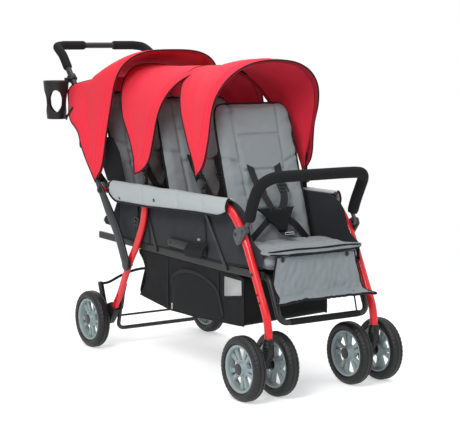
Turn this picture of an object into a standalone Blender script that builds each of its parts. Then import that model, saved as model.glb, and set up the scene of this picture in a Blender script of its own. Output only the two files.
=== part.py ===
"""Folding tandem stroller with three seats in line, as an assembly of separate solids.

Units are metres, +Z is up, +X is the width, the front faces -Y and the handle is at +Y.
The origin lies on the floor under the middle of the object.
"""

import math

import bmesh
import bpy
from mathutils import Matrix, Vector

# Fits between neighbours
GAP = 0.0003
BORE_CLEARANCE = 0.0003

# Wheels
WHEEL_RADIUS = 0.100
WHEEL_WIDTH = 0.042
RIM_RADIUS = 0.074
RIM_WIDTH = 0.034
HUB_RADIUS = 0.015
SPOKE_PAIRS = 5
WEB_THICKNESS = 0.012
AXLE_RADIUS = 0.004
REAR_AXLE_Y = 0.343
REAR_WHEEL_X = 0.245
CASTER_X = 0.204
CASTER_Y = -0.6655
CASTER_TRAIL = 0.043
TWIN_OFFSET = 0.061
WHEEL_STEPS = 20

# Main frame tubes
FRAME_X = 0.204
TUBE_RADIUS = 0.0125
RAIL_Z = 0.575
RAIL_END_Y = 0.290
LEG_FOOT = (-0.6619, 0.1985)
LEG_TILT = math.radians(18.8)
REAR_LEG_DEPTH = 0.028
REAR_LEG_THICKNESS = 0.016
REAR_PIVOT = (0.0435, 0.546)
HANDLE_PIVOT = (0.312, 0.560)
PIN_RADIUS = 0.004
PIN_STEPS = 10
HANDLE_PIN_RADIUS = 0.006
PLATE = 0.003
SEAT_RAIL_X = 0.1835
SEAT_RAIL_THICKNESS = 0.012
SEAT_RAIL_DEPTH = 0.024
STRUT_WIDTH = 0.014
CROSS_TUBE_RADIUS = 0.008

# Handle
ARM_X = 0.222
ARM_DEPTH = 0.030
ARM_THICKNESS = 0.015
HANDLE_X = 0.190
HANDLE_TUBE_RADIUS = 0.011
HANDLE_BEND = (0.5560, 0.9220)
HANDLE_SLOPE = math.radians(50.0)
GRIP_RADIUS = 0.0165
GRIP_INNER_X = 0.061

# Seats
SEAT_PITCH = 0.350
SEATS = ("front", "middle", "rear")
CUSHION_THICKNESS = 0.050
BACK_THICKNESS = 0.024
BACK_HALF = 0.152
BACK_RECLINE = math.radians(17.0)
STRAP_WIDTH = 0.025
STRAP_THICKNESS = 0.002

# Canopies
BOW_X = 0.208
BOW_WIRE = 0.004
KNOB_RADIUS = 0.0135
CANOPY_HALF = 0.2037
CANOPY_CLOTH = 0.0019
FRONT_KNOB = (-0.3065, 0.628)
MIDDLE_KNOB = (0.0435, 0.617)
HOOD_PIVOT = (0.3455, 0.600)


# Helpers for meshes

IDLE_TURN = math.radians(0.8)

def clear_scene():
    """Remove everything that the start-up scene holds."""
    for obj in list(bpy.data.objects):
        bpy.data.objects.remove(obj, do_unlink=True)


def finish(name, colour, roughness, metallic=0.0):
    """Return a material with a Principled shader of this colour."""
    material = bpy.data.materials.new(name)
    material.use_nodes = True
    shader = material.node_tree.nodes["Principled BSDF"]
    shader.inputs["Base Color"].default_value = (*colour, 1.0)
    shader.inputs["Roughness"].default_value = roughness
    shader.inputs["Metallic"].default_value = metallic
    material.diffuse_color = (*colour, 1.0)
    return material


def new_object(name, bm, material, origin=(0.0, 0.0, 0.0), angle=40.0):
    """Turn a mesh in world coordinates into an object whose origin lies at the given point."""
    bmesh.ops.remove_doubles(bm, verts=bm.verts, dist=0.00001)
    bmesh.ops.recalc_face_normals(bm, faces=bm.faces)
    bmesh.ops.translate(bm, verts=bm.verts, vec=-Vector(origin))
    mesh = bpy.data.meshes.new(name)
    bm.to_mesh(mesh)
    bm.free()
    mesh.shade_smooth()
    mesh.set_sharp_from_angle(angle=math.radians(angle))
    mesh.materials.append(material)
    obj = bpy.data.objects.new(name, mesh)
    obj.location = origin
    bpy.context.scene.collection.objects.link(obj)
    return obj


def combine(target, others, operation="UNION"):
    """Join the other solids to the target, or cut them out of it, and remove them."""
    for other in others:
        modifier = target.modifiers.new(operation.title(), "BOOLEAN")
        modifier.operation = operation
        modifier.solver = "EXACT"
        modifier.object = other
    graph = bpy.context.evaluated_depsgraph_get()
    graph.update()
    mesh = bpy.data.meshes.new_from_object(target.evaluated_get(graph))
    target.modifiers.clear()
    old = target.data
    target.data = mesh
    mesh.name = target.name
    bpy.data.meshes.remove(old)
    for other in others:
        bpy.data.objects.remove(other, do_unlink=True)
    return target


def cut(target, cutters):
    """Cut solids out of the target."""
    return combine(target, cutters, "DIFFERENCE")


def copy_of(source, name, location):
    """Return another object with the same mesh."""
    obj = bpy.data.objects.new(name, source.data)
    obj.location = location
    bpy.context.scene.collection.objects.link(obj)
    return obj


def ellipse(width, depth, steps=8):
    """Return an oval section, first axis across and second axis along the depth."""
    turn = 2 * math.pi / steps
    return [
        (width / 2 * math.cos(turn * (i + 0.5)), depth / 2 * math.sin(turn * (i + 0.5)))
        for i in range(steps)
    ]


def flat_radius(radius, steps=8):
    """Return how far a flat of a round section lies from its middle."""
    return radius * math.cos(math.pi / steps)


def circle(radius, steps=8):
    """Return a round section."""
    return ellipse(2 * radius, 2 * radius, steps)


def rectangle(width, depth):
    """Return a rectangular section."""
    u = width / 2
    v = depth / 2
    return [(u, v), (-u, v), (-u, -v), (u, -v)]


def slot_section(width, depth, steps=4):
    """Return a flat-oval section with straight sides and round ends."""
    radius = width / 2
    straight = depth / 2 - radius
    points = []
    for side in (1, -1):
        for i in range(steps + 1):
            angle = math.pi * i / steps
            points.append((side * radius * math.cos(angle), side * (straight + radius * math.sin(angle))))
    return points


def smooth_route(points, steps=3):
    """Return points on a curve that runs smoothly through the given ones."""
    points = [Vector(p) for p in points]
    padded = [2 * points[0] - points[1], *points, 2 * points[-1] - points[-2]]
    route = []
    for i in range(1, len(padded) - 2):
        before, start, end, after = padded[i - 1 : i + 3]
        for step in range(steps):
            t = step / steps
            a = 2 * start
            b = (end - before) * t
            c = (2 * before - 5 * start + 4 * end - after) * t * t
            d = (3 * start - before - 3 * end + after) * t**3
            route.append((a + b + c + d) / 2)
    route.append(points[-1])
    return route


def rounded_route(points, radius, steps=4):
    """Return a polyline whose corners are arcs of the given radius."""
    points = [Vector(p) for p in points]
    route = [points[0]]
    for before, corner, after in zip(points, points[1:], points[2:]):
        into = (corner - before).normalized()
        out = (after - corner).normalized()
        half = into.angle(out) / 2
        if half < 0.01:
            route.append(corner)
            continue
        reach = radius * math.tan(half)
        centre = corner + (out - into).normalized() * (radius / math.cos(half))
        spoke = corner - into * reach - centre
        turn_axis = into.cross(out).normalized()
        for i in range(steps + 1):
            turned = Matrix.Rotation(2 * half * i / steps, 3, turn_axis) @ spoke
            route.append(centre + turned)
    route.append(points[-1])
    return route


def at_x(x, pairs):
    """Place (y, z) pairs in the upright plane at x."""
    return [Vector((x, y, z)) for y, z in pairs]


def without_idle_points(route):
    """Return the route without the points where it hardly turns."""
    kept = [route[0]]
    for point, after in zip(route[1:], route[2:]):
        if (point - kept[-1]).angle(after - point) > IDLE_TURN:
            kept.append(point)
    return [*kept, route[-1]]


def sweep(bm, route, section, across=(1.0, 0.0, 0.0)):
    """Sweep a section along a route, with flat ends. The section's first axis keeps near to across."""
    route = without_idle_points([Vector(p) for p in route])
    across = Vector(across)
    rings = []
    for i, point in enumerate(route):
        into = (point - route[max(i - 1, 0)]).normalized()
        out = (route[min(i + 1, len(route) - 1)] - point).normalized()
        tangent = (into + out).normalized()
        bend = max(into.dot(tangent), 0.5) if 0 < i < len(route) - 1 else 1.0
        side = (across - tangent * across.dot(tangent)).normalized()
        up = tangent.cross(side)
        turn_axis = into.cross(out)
        stretch = 1 / bend if turn_axis.length > 0.001 else 1.0
        inward = (out - into).normalized() if turn_axis.length > 0.001 else up
        across = side
        ring = []
        for u, v in section:
            offset = side * u + up * v
            offset += inward * offset.dot(inward) * (stretch - 1)
            ring.append(bm.verts.new(point + offset))
        rings.append(ring)
    for ring, following in zip(rings, rings[1:]):
        for j in range(len(ring)):
            k = (j + 1) % len(ring)
            bm.faces.new((ring[j], ring[k], following[k], following[j]))
    bm.faces.new(rings[0][::-1])
    bm.faces.new(rings[-1])
    return rings


def swept(name, route, section, material, origin=(0.0, 0.0, 0.0), across=(1.0, 0.0, 0.0)):
    """Return an object swept along a route."""
    bm = bmesh.new()
    sweep(bm, route, section, across)
    return new_object(name, bm, material, origin)


def plate(name, outline, low, high, material, axis="X", origin=(0.0, 0.0, 0.0)):
    """Return a flat solid: an outline of pairs, extruded along an axis from low to high."""
    bm = bmesh.new()
    first = []
    for a, b in outline:
        place = {"X": (low, a, b), "Y": (a, low, b), "Z": (a, b, low)}[axis]
        first.append(bm.verts.new(place))
    face = bm.faces.new(first)
    moved = bmesh.ops.extrude_face_region(bm, geom=[face])["geom"]
    span = high - low
    shift = {"X": (span, 0, 0), "Y": (0, span, 0), "Z": (0, 0, span)}[axis]
    bmesh.ops.translate(bm, verts=[v for v in moved if isinstance(v, bmesh.types.BMVert)], vec=shift)
    return new_object(name, bm, material, origin, angle=30.0)


def block(name, low, high, material):
    """Return a box between two corners."""
    outline = [(low[1], low[2]), (high[1], low[2]), (high[1], high[2]), (low[1], high[2])]
    return plate(name, outline, low[0], high[0], material)


def disc(name, centre, radius, low, high, material, axis="X", steps=12, origin=(0.0, 0.0, 0.0)):
    """Return a short cylinder along an axis; centre is its pair in the other two axes."""
    turn = 2 * math.pi / steps
    outline = []
    for i in range(steps):
        outline.append((centre[0] + radius * math.cos(turn * i), centre[1] + radius * math.sin(turn * i)))
    return plate(name, outline, low, high, material, axis, origin)


def rounded_outline(points, radius, steps=4):
    """Return a closed outline with its corners rounded."""
    flat = [Vector((a, b, 0.0)) for a, b in points]
    route = []
    count = len(flat)
    for i, corner in enumerate(flat):
        before = flat[i - 1]
        after = flat[(i + 1) % count]
        size = radius[i] if isinstance(radius, (list, tuple)) else radius
        if size <= 0.0:
            route.append(corner)
            continue
        route += rounded_route((before, corner, after), size, steps)[1:-1]
    return [(p.x, p.y) for p in route]


def turned(name, profile, material, centre):
    """Return a solid of revolution: profile pairs are (along the axis, radius), as a closed outline."""
    bm = bmesh.new()
    verts = [bm.verts.new((along, 0.0, -radius)) for along, radius in profile]
    edges = [bm.edges.new((a, b)) for a, b in zip(verts, verts[1:] + verts[:1])]
    full = 2 * math.pi
    steps = WHEEL_STEPS
    middle = (0, 0, 0)
    bmesh.ops.spin(
        bm, geom=verts + edges, cent=middle, axis=(1, 0, 0), angle=full, steps=steps, use_merge=True
    )
    bmesh.ops.translate(bm, verts=bm.verts, vec=centre)
    return new_object(name, bm, material, centre)


def signs():
    """Give the side names with their direction along X."""
    return (("left", 1), ("right", -1))


def side_span(sign, inner, outer):
    """Return the low and high x of a layer on one side."""
    return (inner, outer) if sign > 0 else (-outer, -inner)


# Finishes, from the photograph

clear_scene()
RED = finish("red paint", (0.80, 0.03, 0.04), 0.25)
CORAL = finish("coral canopy cloth", (0.90, 0.09, 0.13), 0.80)
GREY = finish("grey seat cloth", (0.45, 0.46, 0.47), 0.90)
PALE = finish("pale grey pad cloth", (0.60, 0.62, 0.62), 0.90)
BLACK_CLOTH = finish("black cloth", (0.030, 0.030, 0.032), 0.90)
CHARCOAL = finish("charcoal cloth", (0.065, 0.068, 0.072), 0.90)
BLACK = finish("black plastic", (0.025, 0.026, 0.028), 0.45)
STEEL = finish("dark coated steel", (0.040, 0.042, 0.045), 0.35, 0.6)
RIM_GREY = finish("blue grey plastic", (0.42, 0.49, 0.50), 0.45)
TYRE = finish("tyre rubber", (0.030, 0.030, 0.030), 0.80)
FOAM = finish("foam grip", (0.020, 0.020, 0.022), 0.95)
BRIGHT = finish("bright steel", (0.60, 0.60, 0.60), 0.30, 1.0)


# Main frame: each side is one tube that rises as the front leg and runs back as the armrest rail


def leg_point(distance):
    """Return (y, z) on the straight foot of the front leg, measured up from its end."""
    y, z = LEG_FOOT
    return (y + distance * math.sin(LEG_TILT), z + distance * math.cos(LEG_TILT))


def leg_route(x):
    """Return the centre line of the front leg and rail."""
    start = [LEG_FOOT, leg_point(0.05), leg_point(0.10)]
    bend = [(-0.5955, 0.369), (-0.5505, 0.461), (-0.5100, 0.520)]
    rail = [(-0.4615, 0.561), (-0.4050, RAIL_Z)]
    curve = smooth_route(at_x(x, start + bend + rail), 2)
    return curve + at_x(x, [(RAIL_END_Y, RAIL_Z)])


def tab_outline(knob):
    """Return the outline of a canopy tab that stands on the rail and ends round at the knob."""
    y, z = knob
    half = 0.010
    arc = [
        (y + half * math.cos(math.pi * i / 6), z + half * math.sin(math.pi * i / 6)) for i in range(7)
    ]
    return [(y - half - 0.004, RAIL_Z + 0.004), (y + half + 0.004, RAIL_Z + 0.004), *arc]


def bracket_outline():
    """Return the outline of the plate that carries the handle pivot and the hood pivot."""
    ay, az = HANDLE_PIVOT
    hy, hz = HOOD_PIVOT
    corners = [
        (RAIL_END_Y - 0.030, RAIL_Z + 0.009),
        (RAIL_END_Y - 0.030, RAIL_Z - 0.009),
        (ay - 0.008, az - 0.013),
        (ay + 0.016, az - 0.010),
        (hy + 0.011, hz - 0.003),
        (hy + 0.004, hz + 0.011),
        (hy - 0.012, hz + 0.008),
    ]
    return rounded_outline(corners, 0.004, 2)


def front_leg(side, sign):
    """Make one front leg and rail with its tabs, rear-leg lug and handle bracket."""
    x = sign * FRAME_X
    leg = swept(f"front_leg_{side}", leg_route(x), circle(TUBE_RADIUS, 10), RED)
    layer = side_span(sign, FRAME_X - 0.0055, FRAME_X - 0.0055 + PLATE)
    tool = side_span(sign, FRAME_X - 0.0040, BOW_X + 0.0032)
    extras = [plate("bracket", bracket_outline(), *layer, RED)]
    for knob in (FRONT_KNOB, MIDDLE_KNOB):
        extras.append(plate("tab", tab_outline(knob), *layer, RED))
    for pivot in (FRONT_KNOB, MIDDLE_KNOB, HOOD_PIVOT):
        extras.append(disc("pin", pivot, PIN_RADIUS, *tool, RED, steps=PIN_STEPS))
    outer = ARM_X + ARM_THICKNESS / 2 + GAP
    boss_end = ARM_X - ARM_THICKNESS / 2 - GAP
    extras.append(disc("boss", HANDLE_PIVOT, 0.010, *side_span(sign, FRAME_X - 0.004, boss_end), RED))
    extras.append(disc("pin", HANDLE_PIVOT, HANDLE_PIN_RADIUS, *side_span(sign, FRAME_X, outer + 0.001), RED))
    extras.append(disc("head", HANDLE_PIVOT, 0.010, *side_span(sign, outer, outer + 0.003), RED))
    by, bz = REAR_PIVOT
    cheek = [(by - 0.016, RAIL_Z), (by - 0.010, bz - 0.009), (by + 0.010, bz - 0.009), (by + 0.016, RAIL_Z)]
    inner_face = FRAME_X - TUBE_RADIUS
    outer_face = FRAME_X + TUBE_RADIUS
    leg_half = REAR_LEG_THICKNESS / 2 + GAP
    for low, high in ((inner_face, FRAME_X - leg_half), (FRAME_X + leg_half, outer_face)):
        extras.append(plate("cheek", cheek, *side_span(sign, low, high), RED))
    pin_span = side_span(sign, inner_face + 0.001, outer_face - 0.001)
    extras.append(disc("pin", REAR_PIVOT, PIN_RADIUS, *pin_span, RED, steps=PIN_STEPS))
    return combine(leg, extras)


def rail_height(y):
    """Return the height of the seat rail's centre line at y: it rises slightly to the rear."""
    return 0.372 + max(0.0, y + 0.4135) * 0.0250


def seat_rail_route(x):
    """Return the centre line of a seat rail."""
    return at_x(x, [(y, rail_height(y)) for y in (-0.6080, -0.4135, 0.3870)])


def strut(sign, foot_y, head_y):
    """Make one flat diagonal strut with the boss that joins it to the seat rail."""
    low, high = side_span(sign, FRAME_X - TUBE_RADIUS, FRAME_X - TUBE_RADIUS + PLATE)
    foot_z = rail_height(foot_y)
    head_z = RAIL_Z - 0.0085
    lean = STRUT_WIDTH / 2 * math.hypot(1.0, (head_y - foot_y) / (head_z - foot_z))
    outline = [(foot_y - lean, foot_z), (foot_y + lean, foot_z)]
    outline += [(head_y + lean, head_z), (head_y - lean, head_z)]
    bar = plate("strut", outline, low, high, STEEL)
    foot = disc("foot", (foot_y, foot_z), STRUT_WIDTH / 2 + 0.001, low, high, STEEL)
    boss_span = side_span(sign, SEAT_RAIL_X, FRAME_X - TUBE_RADIUS + 0.001)
    boss = disc("boss", (foot_y, foot_z), 0.006, *boss_span, STEEL, steps=PIN_STEPS)
    return [bar, foot, boss]


def seat_rail(side, sign):
    """Make one seat rail with its two struts and the boss against the front leg."""
    section = rectangle(SEAT_RAIL_THICKNESS, SEAT_RAIL_DEPTH)
    rail = swept(f"seat_rail_{side}", seat_rail_route(sign * SEAT_RAIL_X), section, STEEL)
    pieces = strut(sign, -0.0080, 0.0790) + strut(sign, -0.4250, -0.2850)
    leg_y = -0.5925
    boss_span = side_span(sign, SEAT_RAIL_X, FRAME_X - TUBE_RADIUS - GAP)
    pieces.append(disc("boss", (leg_y, rail_height(leg_y)), 0.008, *boss_span, STEEL, steps=PIN_STEPS))
    return combine(rail, pieces)


def cross_tube(name, y):
    """Make a round tube between the two seat rails."""
    half = SEAT_RAIL_X - SEAT_RAIL_THICKNESS / 2 - GAP
    return disc(name, (y, rail_height(y)), CROSS_TUBE_RADIUS, -half, half, STEEL, steps=10)


def make_main_frame():
    """Make both front legs and both seat rails."""
    for side, sign in signs():
        front_leg(side, sign)
        seat_rail(side, sign)


# Rear frame: it swings on the rail pivots


def rear_leg(side, sign):
    """Make one flat-oval rear leg with its pivot eye."""
    x = sign * FRAME_X
    low_part = [(0.2585, 0.146), (0.2380, 0.174), (0.2175, 0.202), (0.1475, 0.323), (0.1025, 0.385)]
    high_part = [(0.0660, 0.450), (0.0480, 0.505), REAR_PIVOT]
    route = smooth_route(at_x(x, low_part + high_part), 2)
    section = slot_section(REAR_LEG_THICKNESS, REAR_LEG_DEPTH, 3)
    origin = (x, *REAR_PIVOT)
    leg = swept(f"rear_leg_{side}", route, section, RED, origin)
    eye_span = side_span(sign, FRAME_X - REAR_LEG_THICKNESS / 2, FRAME_X + REAR_LEG_THICKNESS / 2)
    eye = disc("eye", REAR_PIVOT, 0.012, *eye_span, RED)
    combine(leg, [eye])
    span = (sign * 0.1 - 0.2, sign * 0.1 + 0.2)
    hole = disc("hole", REAR_PIVOT, PIN_RADIUS + BORE_CLEARANCE, *span, RED, steps=PIN_STEPS)
    return cut(leg, [hole])


def axle_housing(side, sign):
    """Make the moulded block that joins a rear leg to the axle."""
    low, high = side_span(sign, FRAME_X - 0.011, FRAME_X + 0.014)
    y = REAR_AXLE_Y
    z = WHEEL_RADIUS
    corners = [
        (0.2352, 0.1439),
        (0.2500, 0.1200),
        (0.2760, 0.0900),
        (y - 0.012, z - 0.024),
        (y + 0.018, z - 0.016),
        (y + 0.016, z + 0.018),
        (0.2980, 0.1560),
        (0.2676, 0.1675),
    ]
    housing = plate(f"axle_housing_{side}", rounded_outline(corners, 0.006, 2), low, high, BLACK)
    hub_span = side_span(sign, FRAME_X - 0.013, REAR_WHEEL_X - WHEEL_WIDTH / 2 - GAP)
    hub = disc("hub", (y, z), 0.016, *hub_span, BLACK)
    combine(housing, [hub])
    span = (sign * 0.2 - 0.1, sign * 0.2 + 0.1)
    bore = disc("bore", (y, z), AXLE_RADIUS + BORE_CLEARANCE, *span, BLACK, steps=PIN_STEPS)
    leg_seat = swept(
        "seat",
        at_x(sign * FRAME_X, [(0.2585, 0.1457), (0.2175, 0.2020)]),
        slot_section(REAR_LEG_THICKNESS + 2 * GAP, REAR_LEG_DEPTH + 2 * GAP, 3),
        BLACK,
    )
    return cut(housing, [bore, leg_seat])


def rear_axle():
    """Make the thin rod that carries both rear wheels."""
    half = REAR_WHEEL_X + WHEEL_WIDTH / 2 - 0.001
    return disc("rear_axle", (REAR_AXLE_Y, WHEEL_RADIUS), AXLE_RADIUS, -half, half, BRIGHT, steps=PIN_STEPS)


def u_bar():
    """Make the round bar that links the rear legs below the axle."""
    radius = 0.007
    x = FRAME_X - REAR_LEG_THICKNESS / 2 - GAP - flat_radius(radius)
    side = [(x, 0.2130, 0.2240), (x, 0.2280, 0.1950), (x - 0.0207, 0.2950, 0.0650)]
    corners = side + [(-a, b, c) for a, b, c in side[::-1]]
    return swept("rear_u_bar", rounded_route(corners, 0.030, 4), circle(radius, 8), STEEL)


def brake_bar():
    """Make the foot brake: two levers on the axle with a bowed bar between them."""
    y = REAR_AXLE_Y
    z = WHEEL_RADIUS
    outer = FRAME_X - 0.013 - GAP
    inner = outer - 0.012
    lever_corners = [(y - 0.012, z - 0.012), (y + 0.012, z - 0.012), (0.402, 0.222), (0.378, 0.222)]
    lever = rounded_outline(lever_corners, 0.006, 2)
    middle = 0.5 * (inner + outer)
    top = (0.390, 0.214)
    arch = [
        (middle, *top),
        (0.150, 0.390, 0.216),
        (0.100, 0.388, 0.236),
        (0.050, 0.386, 0.250),
        (0.0, 0.385, 0.254),
    ]
    route = smooth_route(arch + [(-x, a, b) for x, a, b in arch[-2::-1]], 2)
    origin = (0.0, y, z)
    bar = swept("brake_bar", route, circle(0.005, 8), BLACK, origin, across=(0.0, 1.0, 0.0))
    levers = [plate("lever", lever, *side_span(sign, inner, outer), BLACK) for _, sign in signs()]
    combine(bar, levers)
    bore = disc("bore", (y, z), AXLE_RADIUS + BORE_CLEARANCE, -FRAME_X, FRAME_X, BLACK, steps=PIN_STEPS)
    return cut(bar, [bore])


def make_rear_frame():
    """Make the rear legs, axle housings, axle, U bar and brake."""
    for side, sign in signs():
        rear_leg(side, sign)
        axle_housing(side, sign)
    rear_axle()
    u_bar()
    brake_bar()


# Wheels: six alike, each a spoked rim inside a solid tyre


def spoke_gap(angle, inner, outer, inner_width, outer_width):
    """Return the outline of one gap between spokes, in the wheel's plane."""
    corners = []
    ends = ((inner, -inner_width), (outer, -outer_width), (outer, outer_width), (inner, inner_width))
    for radius, width in ends:
        turn = angle + math.atan2(width / 2, radius)
        corners.append((radius * math.cos(turn), radius * math.sin(turn)))
    return corners


def make_rim(name, centre):
    """Make a rim: turned channel, web and hub, with windows between five pairs of spokes."""
    half = RIM_WIDTH / 2
    web = WEB_THICKNESS / 2
    hub_half = WHEEL_WIDTH / 2 - 0.0015
    ring = RIM_RADIUS - 0.009
    bore = AXLE_RADIUS + BORE_CLEARANCE
    side = [(half, RIM_RADIUS - GAP), (half, ring + 0.003), (web, ring)]
    side += [(web, HUB_RADIUS), (hub_half, HUB_RADIUS - 0.002)]
    side.append((hub_half, bore))
    profile = side + [(-along, radius) for along, radius in side[::-1]]
    rim = turned(name, profile, RIM_GREY, centre)
    cutters = []
    for i in range(SPOKE_PAIRS):
        angle = 2 * math.pi * (i + 0.25) / SPOKE_PAIRS
        window = spoke_gap(angle, HUB_RADIUS + 0.005, ring - 0.003, 0.007, 0.040)
        slot = spoke_gap(angle + math.pi / SPOKE_PAIRS, HUB_RADIUS + 0.014, ring - 0.005, 0.004, 0.009)
        for outline in (window, slot):
            shape = [(centre[1] + a, centre[2] + b) for a, b in outline]
            cutters.append(plate("gap", shape, centre[0] - half, centre[0] + half, RIM_GREY))
    return cut(rim, cutters)


def make_tyre(name, centre):
    """Make a tyre with rounded shoulders."""
    half = WHEEL_WIDTH / 2
    inner = RIM_RADIUS
    outer = WHEEL_RADIUS
    side = [(0.014, inner), (half, inner + 0.006), (half, outer - 0.011), (half - 0.006, outer - 0.003)]
    side.append((half - 0.015, outer))
    profile = side + [(-along, radius) for along, radius in side[::-1]]
    return turned(name, profile, TYRE, centre)


def wheel_places():
    """Give every wheel's name and centre."""
    places = []
    for side, sign in signs():
        places.append((f"rear_{side}", (sign * REAR_WHEEL_X, REAR_AXLE_Y, WHEEL_RADIUS)))
        for post, step in (("outer", 1), ("inner", -1)):
            x = sign * (CASTER_X + step * TWIN_OFFSET)
            places.append((f"front_{side}_{post}", (x, CASTER_Y + CASTER_TRAIL, WHEEL_RADIUS)))
    return places


def make_wheels():
    """Make one rim and one tyre, and place six of each."""
    places = wheel_places()
    name, centre = places[0]
    rim = make_rim(f"rim_{name}", centre)
    tyre = make_tyre(f"tyre_{name}", centre)
    for name, centre in places[1:]:
        copy_of(rim, f"rim_{name}", centre)
        copy_of(tyre, f"tyre_{name}", centre)


# Casters: a fork with its cross axle turns in a collar on the front leg's foot

COLLAR_BOTTOM = 0.1643
SPINDLE_RADIUS = 0.006
SPINDLE_TOP = 0.1860


def caster_collar(side, sign):
    """Make the collar: an upright drum for the spindle and a tilted sleeve for the leg."""
    x = sign * CASTER_X
    drum = disc(f"caster_collar_{side}", (x, CASTER_Y), 0.0175, COLLAR_BOTTOM, 0.199, BLACK, "Z", 16)
    sleeve_route = at_x(x, [leg_point(-0.012), leg_point(0.038)])
    sleeve = swept("sleeve", sleeve_route, circle(TUBE_RADIUS + 0.004, 14), BLACK)
    combine(drum, [sleeve])
    socket_route = at_x(x, [leg_point(-GAP), leg_point(0.080)])
    socket = swept("socket", socket_route, circle(TUBE_RADIUS + GAP / math.cos(math.pi / 10), 10), BLACK)
    bore_radius = SPINDLE_RADIUS + BORE_CLEARANCE
    bore = disc("bore", (x, CASTER_Y), bore_radius, COLLAR_BOTTOM - 0.01, SPINDLE_TOP + GAP, BLACK, "Z", 12)
    return cut(drum, [socket, bore])


def caster_fork(side, sign):
    """Make the fork: cap and spindle above, a leg that trails back, and the cross axle."""
    x = sign * CASTER_X
    origin = (x, CASTER_Y, WHEEL_RADIUS)
    top = COLLAR_BOTTOM - GAP
    axle_y = CASTER_Y + CASTER_TRAIL
    corners = [
        (CASTER_Y - 0.016, top - 0.0002),
        (CASTER_Y - 0.016, top - 0.024),
        (axle_y - 0.017, WHEEL_RADIUS - 0.012),
        (axle_y + 0.012, WHEEL_RADIUS - 0.016),
        (axle_y + 0.015, WHEEL_RADIUS + 0.012),
        (CASTER_Y + 0.018, top - 0.012),
        (CASTER_Y + 0.016, top - 0.0002),
    ]
    outline = rounded_outline(corners, [0.0, 0.008, 0.008, 0.010, 0.010, 0.008, 0.0], 2)
    fork = plate(f"caster_fork_{side}", outline, x - 0.013, x + 0.013, BLACK, origin=origin)
    cap = disc("cap", (x, CASTER_Y), 0.0175, top - 0.010, top, BLACK, "Z", 16)
    spindle = disc("spindle", (x, CASTER_Y), SPINDLE_RADIUS, top - 0.005, SPINDLE_TOP, BLACK, "Z", 12)
    inner = TWIN_OFFSET - WHEEL_WIDTH / 2 - GAP
    boss = disc("boss", (axle_y, WHEEL_RADIUS), 0.012, x - inner, x + inner, BLACK)
    reach = TWIN_OFFSET + WHEEL_WIDTH / 2 - 0.001
    axle = disc("axle", (axle_y, WHEEL_RADIUS), AXLE_RADIUS, x - reach, x + reach, BLACK, steps=PIN_STEPS)
    return combine(fork, [cap, spindle, boss, axle])


def make_casters():
    """Make both collars and both forks."""
    for side, sign in signs():
        caster_collar(side, sign)
        caster_fork(side, sign)


# Handle: two flat arms, a bent tube and the crossbar welded into one piece


def arm_end(distance):
    """Return (y, z) on the straight upper part of the handle arm, from the handle pivot."""
    y, z = HANDLE_PIVOT
    return (y + 0.642 * distance, z + 0.767 * distance)


def along_slope(distance):
    """Return (y, z) on the straight upper run of the handle tube, from its bend."""
    y, z = HANDLE_BEND
    return (y + distance * math.cos(HANDLE_SLOPE), z + distance * math.sin(HANDLE_SLOPE))


def tube_corners(sign):
    """Return the handle tube's corners on one side, from the arm up to the middle of the crossbar."""
    y, z = arm_end(0.186)
    return [
        (sign * ARM_X, y, z),
        (sign * ARM_X, *arm_end(0.206)),
        (sign * HANDLE_X, 0.4820, 0.7760),
        (sign * HANDLE_X, 0.5350, 0.8820),
        (sign * HANDLE_X, *HANDLE_BEND),
        (sign * HANDLE_X, *along_slope(0.050)),
        (sign * HANDLE_X, *along_slope(0.140)),
        (sign * (HANDLE_X - 0.006), 0.6900, 1.0580),
    ]


def handle_bar():
    """Make the handle with its arms, bored at the pivots."""
    ends = tube_corners(1)
    middle = (0.0, 0.7135, 1.0600)
    corner = (0.166, 0.7135, 1.0600)
    side = smooth_route(ends + [corner, (0.130, 0.7135, 1.0600)], 2)
    route = side + [Vector(middle)] + [Vector((-p.x, p.y, p.z)) for p in side[::-1]]
    origin = (0.0, *HANDLE_PIVOT)
    bar = swept("handle_bar", route, circle(HANDLE_TUBE_RADIUS, 8), STEEL, origin)
    arms = []
    for _, sign in signs():
        low_part = [(0.1500, 0.3310), (0.2100, 0.4220), (0.2640, 0.4890)]
        arm_points = low_part + [HANDLE_PIVOT, arm_end(0.10), arm_end(0.198)]
        arm_route = smooth_route(at_x(sign * ARM_X, arm_points), 2)
        arms.append(swept("arm", arm_route, slot_section(ARM_THICKNESS, ARM_DEPTH, 2), BLACK))
    combine(bar, arms)
    reach = ARM_X + 0.02
    hole = disc("hole", HANDLE_PIVOT, HANDLE_PIN_RADIUS + BORE_CLEARANCE, -reach, reach, RED)
    return cut(bar, [hole])


def grip(side, sign):
    """Make one foam grip: it covers the crossbar from its inner end and wraps the corner down the side."""
    low = Vector((HANDLE_X, *along_slope(0.072)))
    upper = [Vector(p) for p in tube_corners(1)[6:]]
    around = smooth_route([low, *upper, (0.166, 0.7135, 1.0600), (0.130, 0.7135, 1.0600)], 2)
    route = around + [Vector((GRIP_INNER_X, 0.7135, 1.0600))]
    route = [Vector((sign * p.x, p.y, p.z)) for p in route]
    body = swept(f"grip_{side}", route, circle(GRIP_RADIUS, 10), FOAM, across=(0.0, 1.0, -0.8))
    start = route[0] + (route[0] - route[1]).normalized() * 0.01
    end = route[-1] + (route[-1] - route[-2]).normalized() * 0.01
    bore_radius = (HANDLE_TUBE_RADIUS + 2 * GAP) / math.cos(math.pi / 8)
    bore = swept("bore", [start, *route[1:-1], end], circle(bore_radius, 8), FOAM, across=(0.0, 1.0, -0.8))
    return cut(body, [bore])


# Cup holder on the right-hand handle tube

CUP_AXIS = (-0.2500, 0.5910)
CUP_TOP = 0.934
CUP_BOTTOM = 0.796
CUP_TOP_RADIUS = 0.0455
CUP_BOTTOM_RADIUS = 0.033
CUP_WALL = 0.0025
CLAMP_START = 0.016
CLAMP_LENGTH = 0.022


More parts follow.
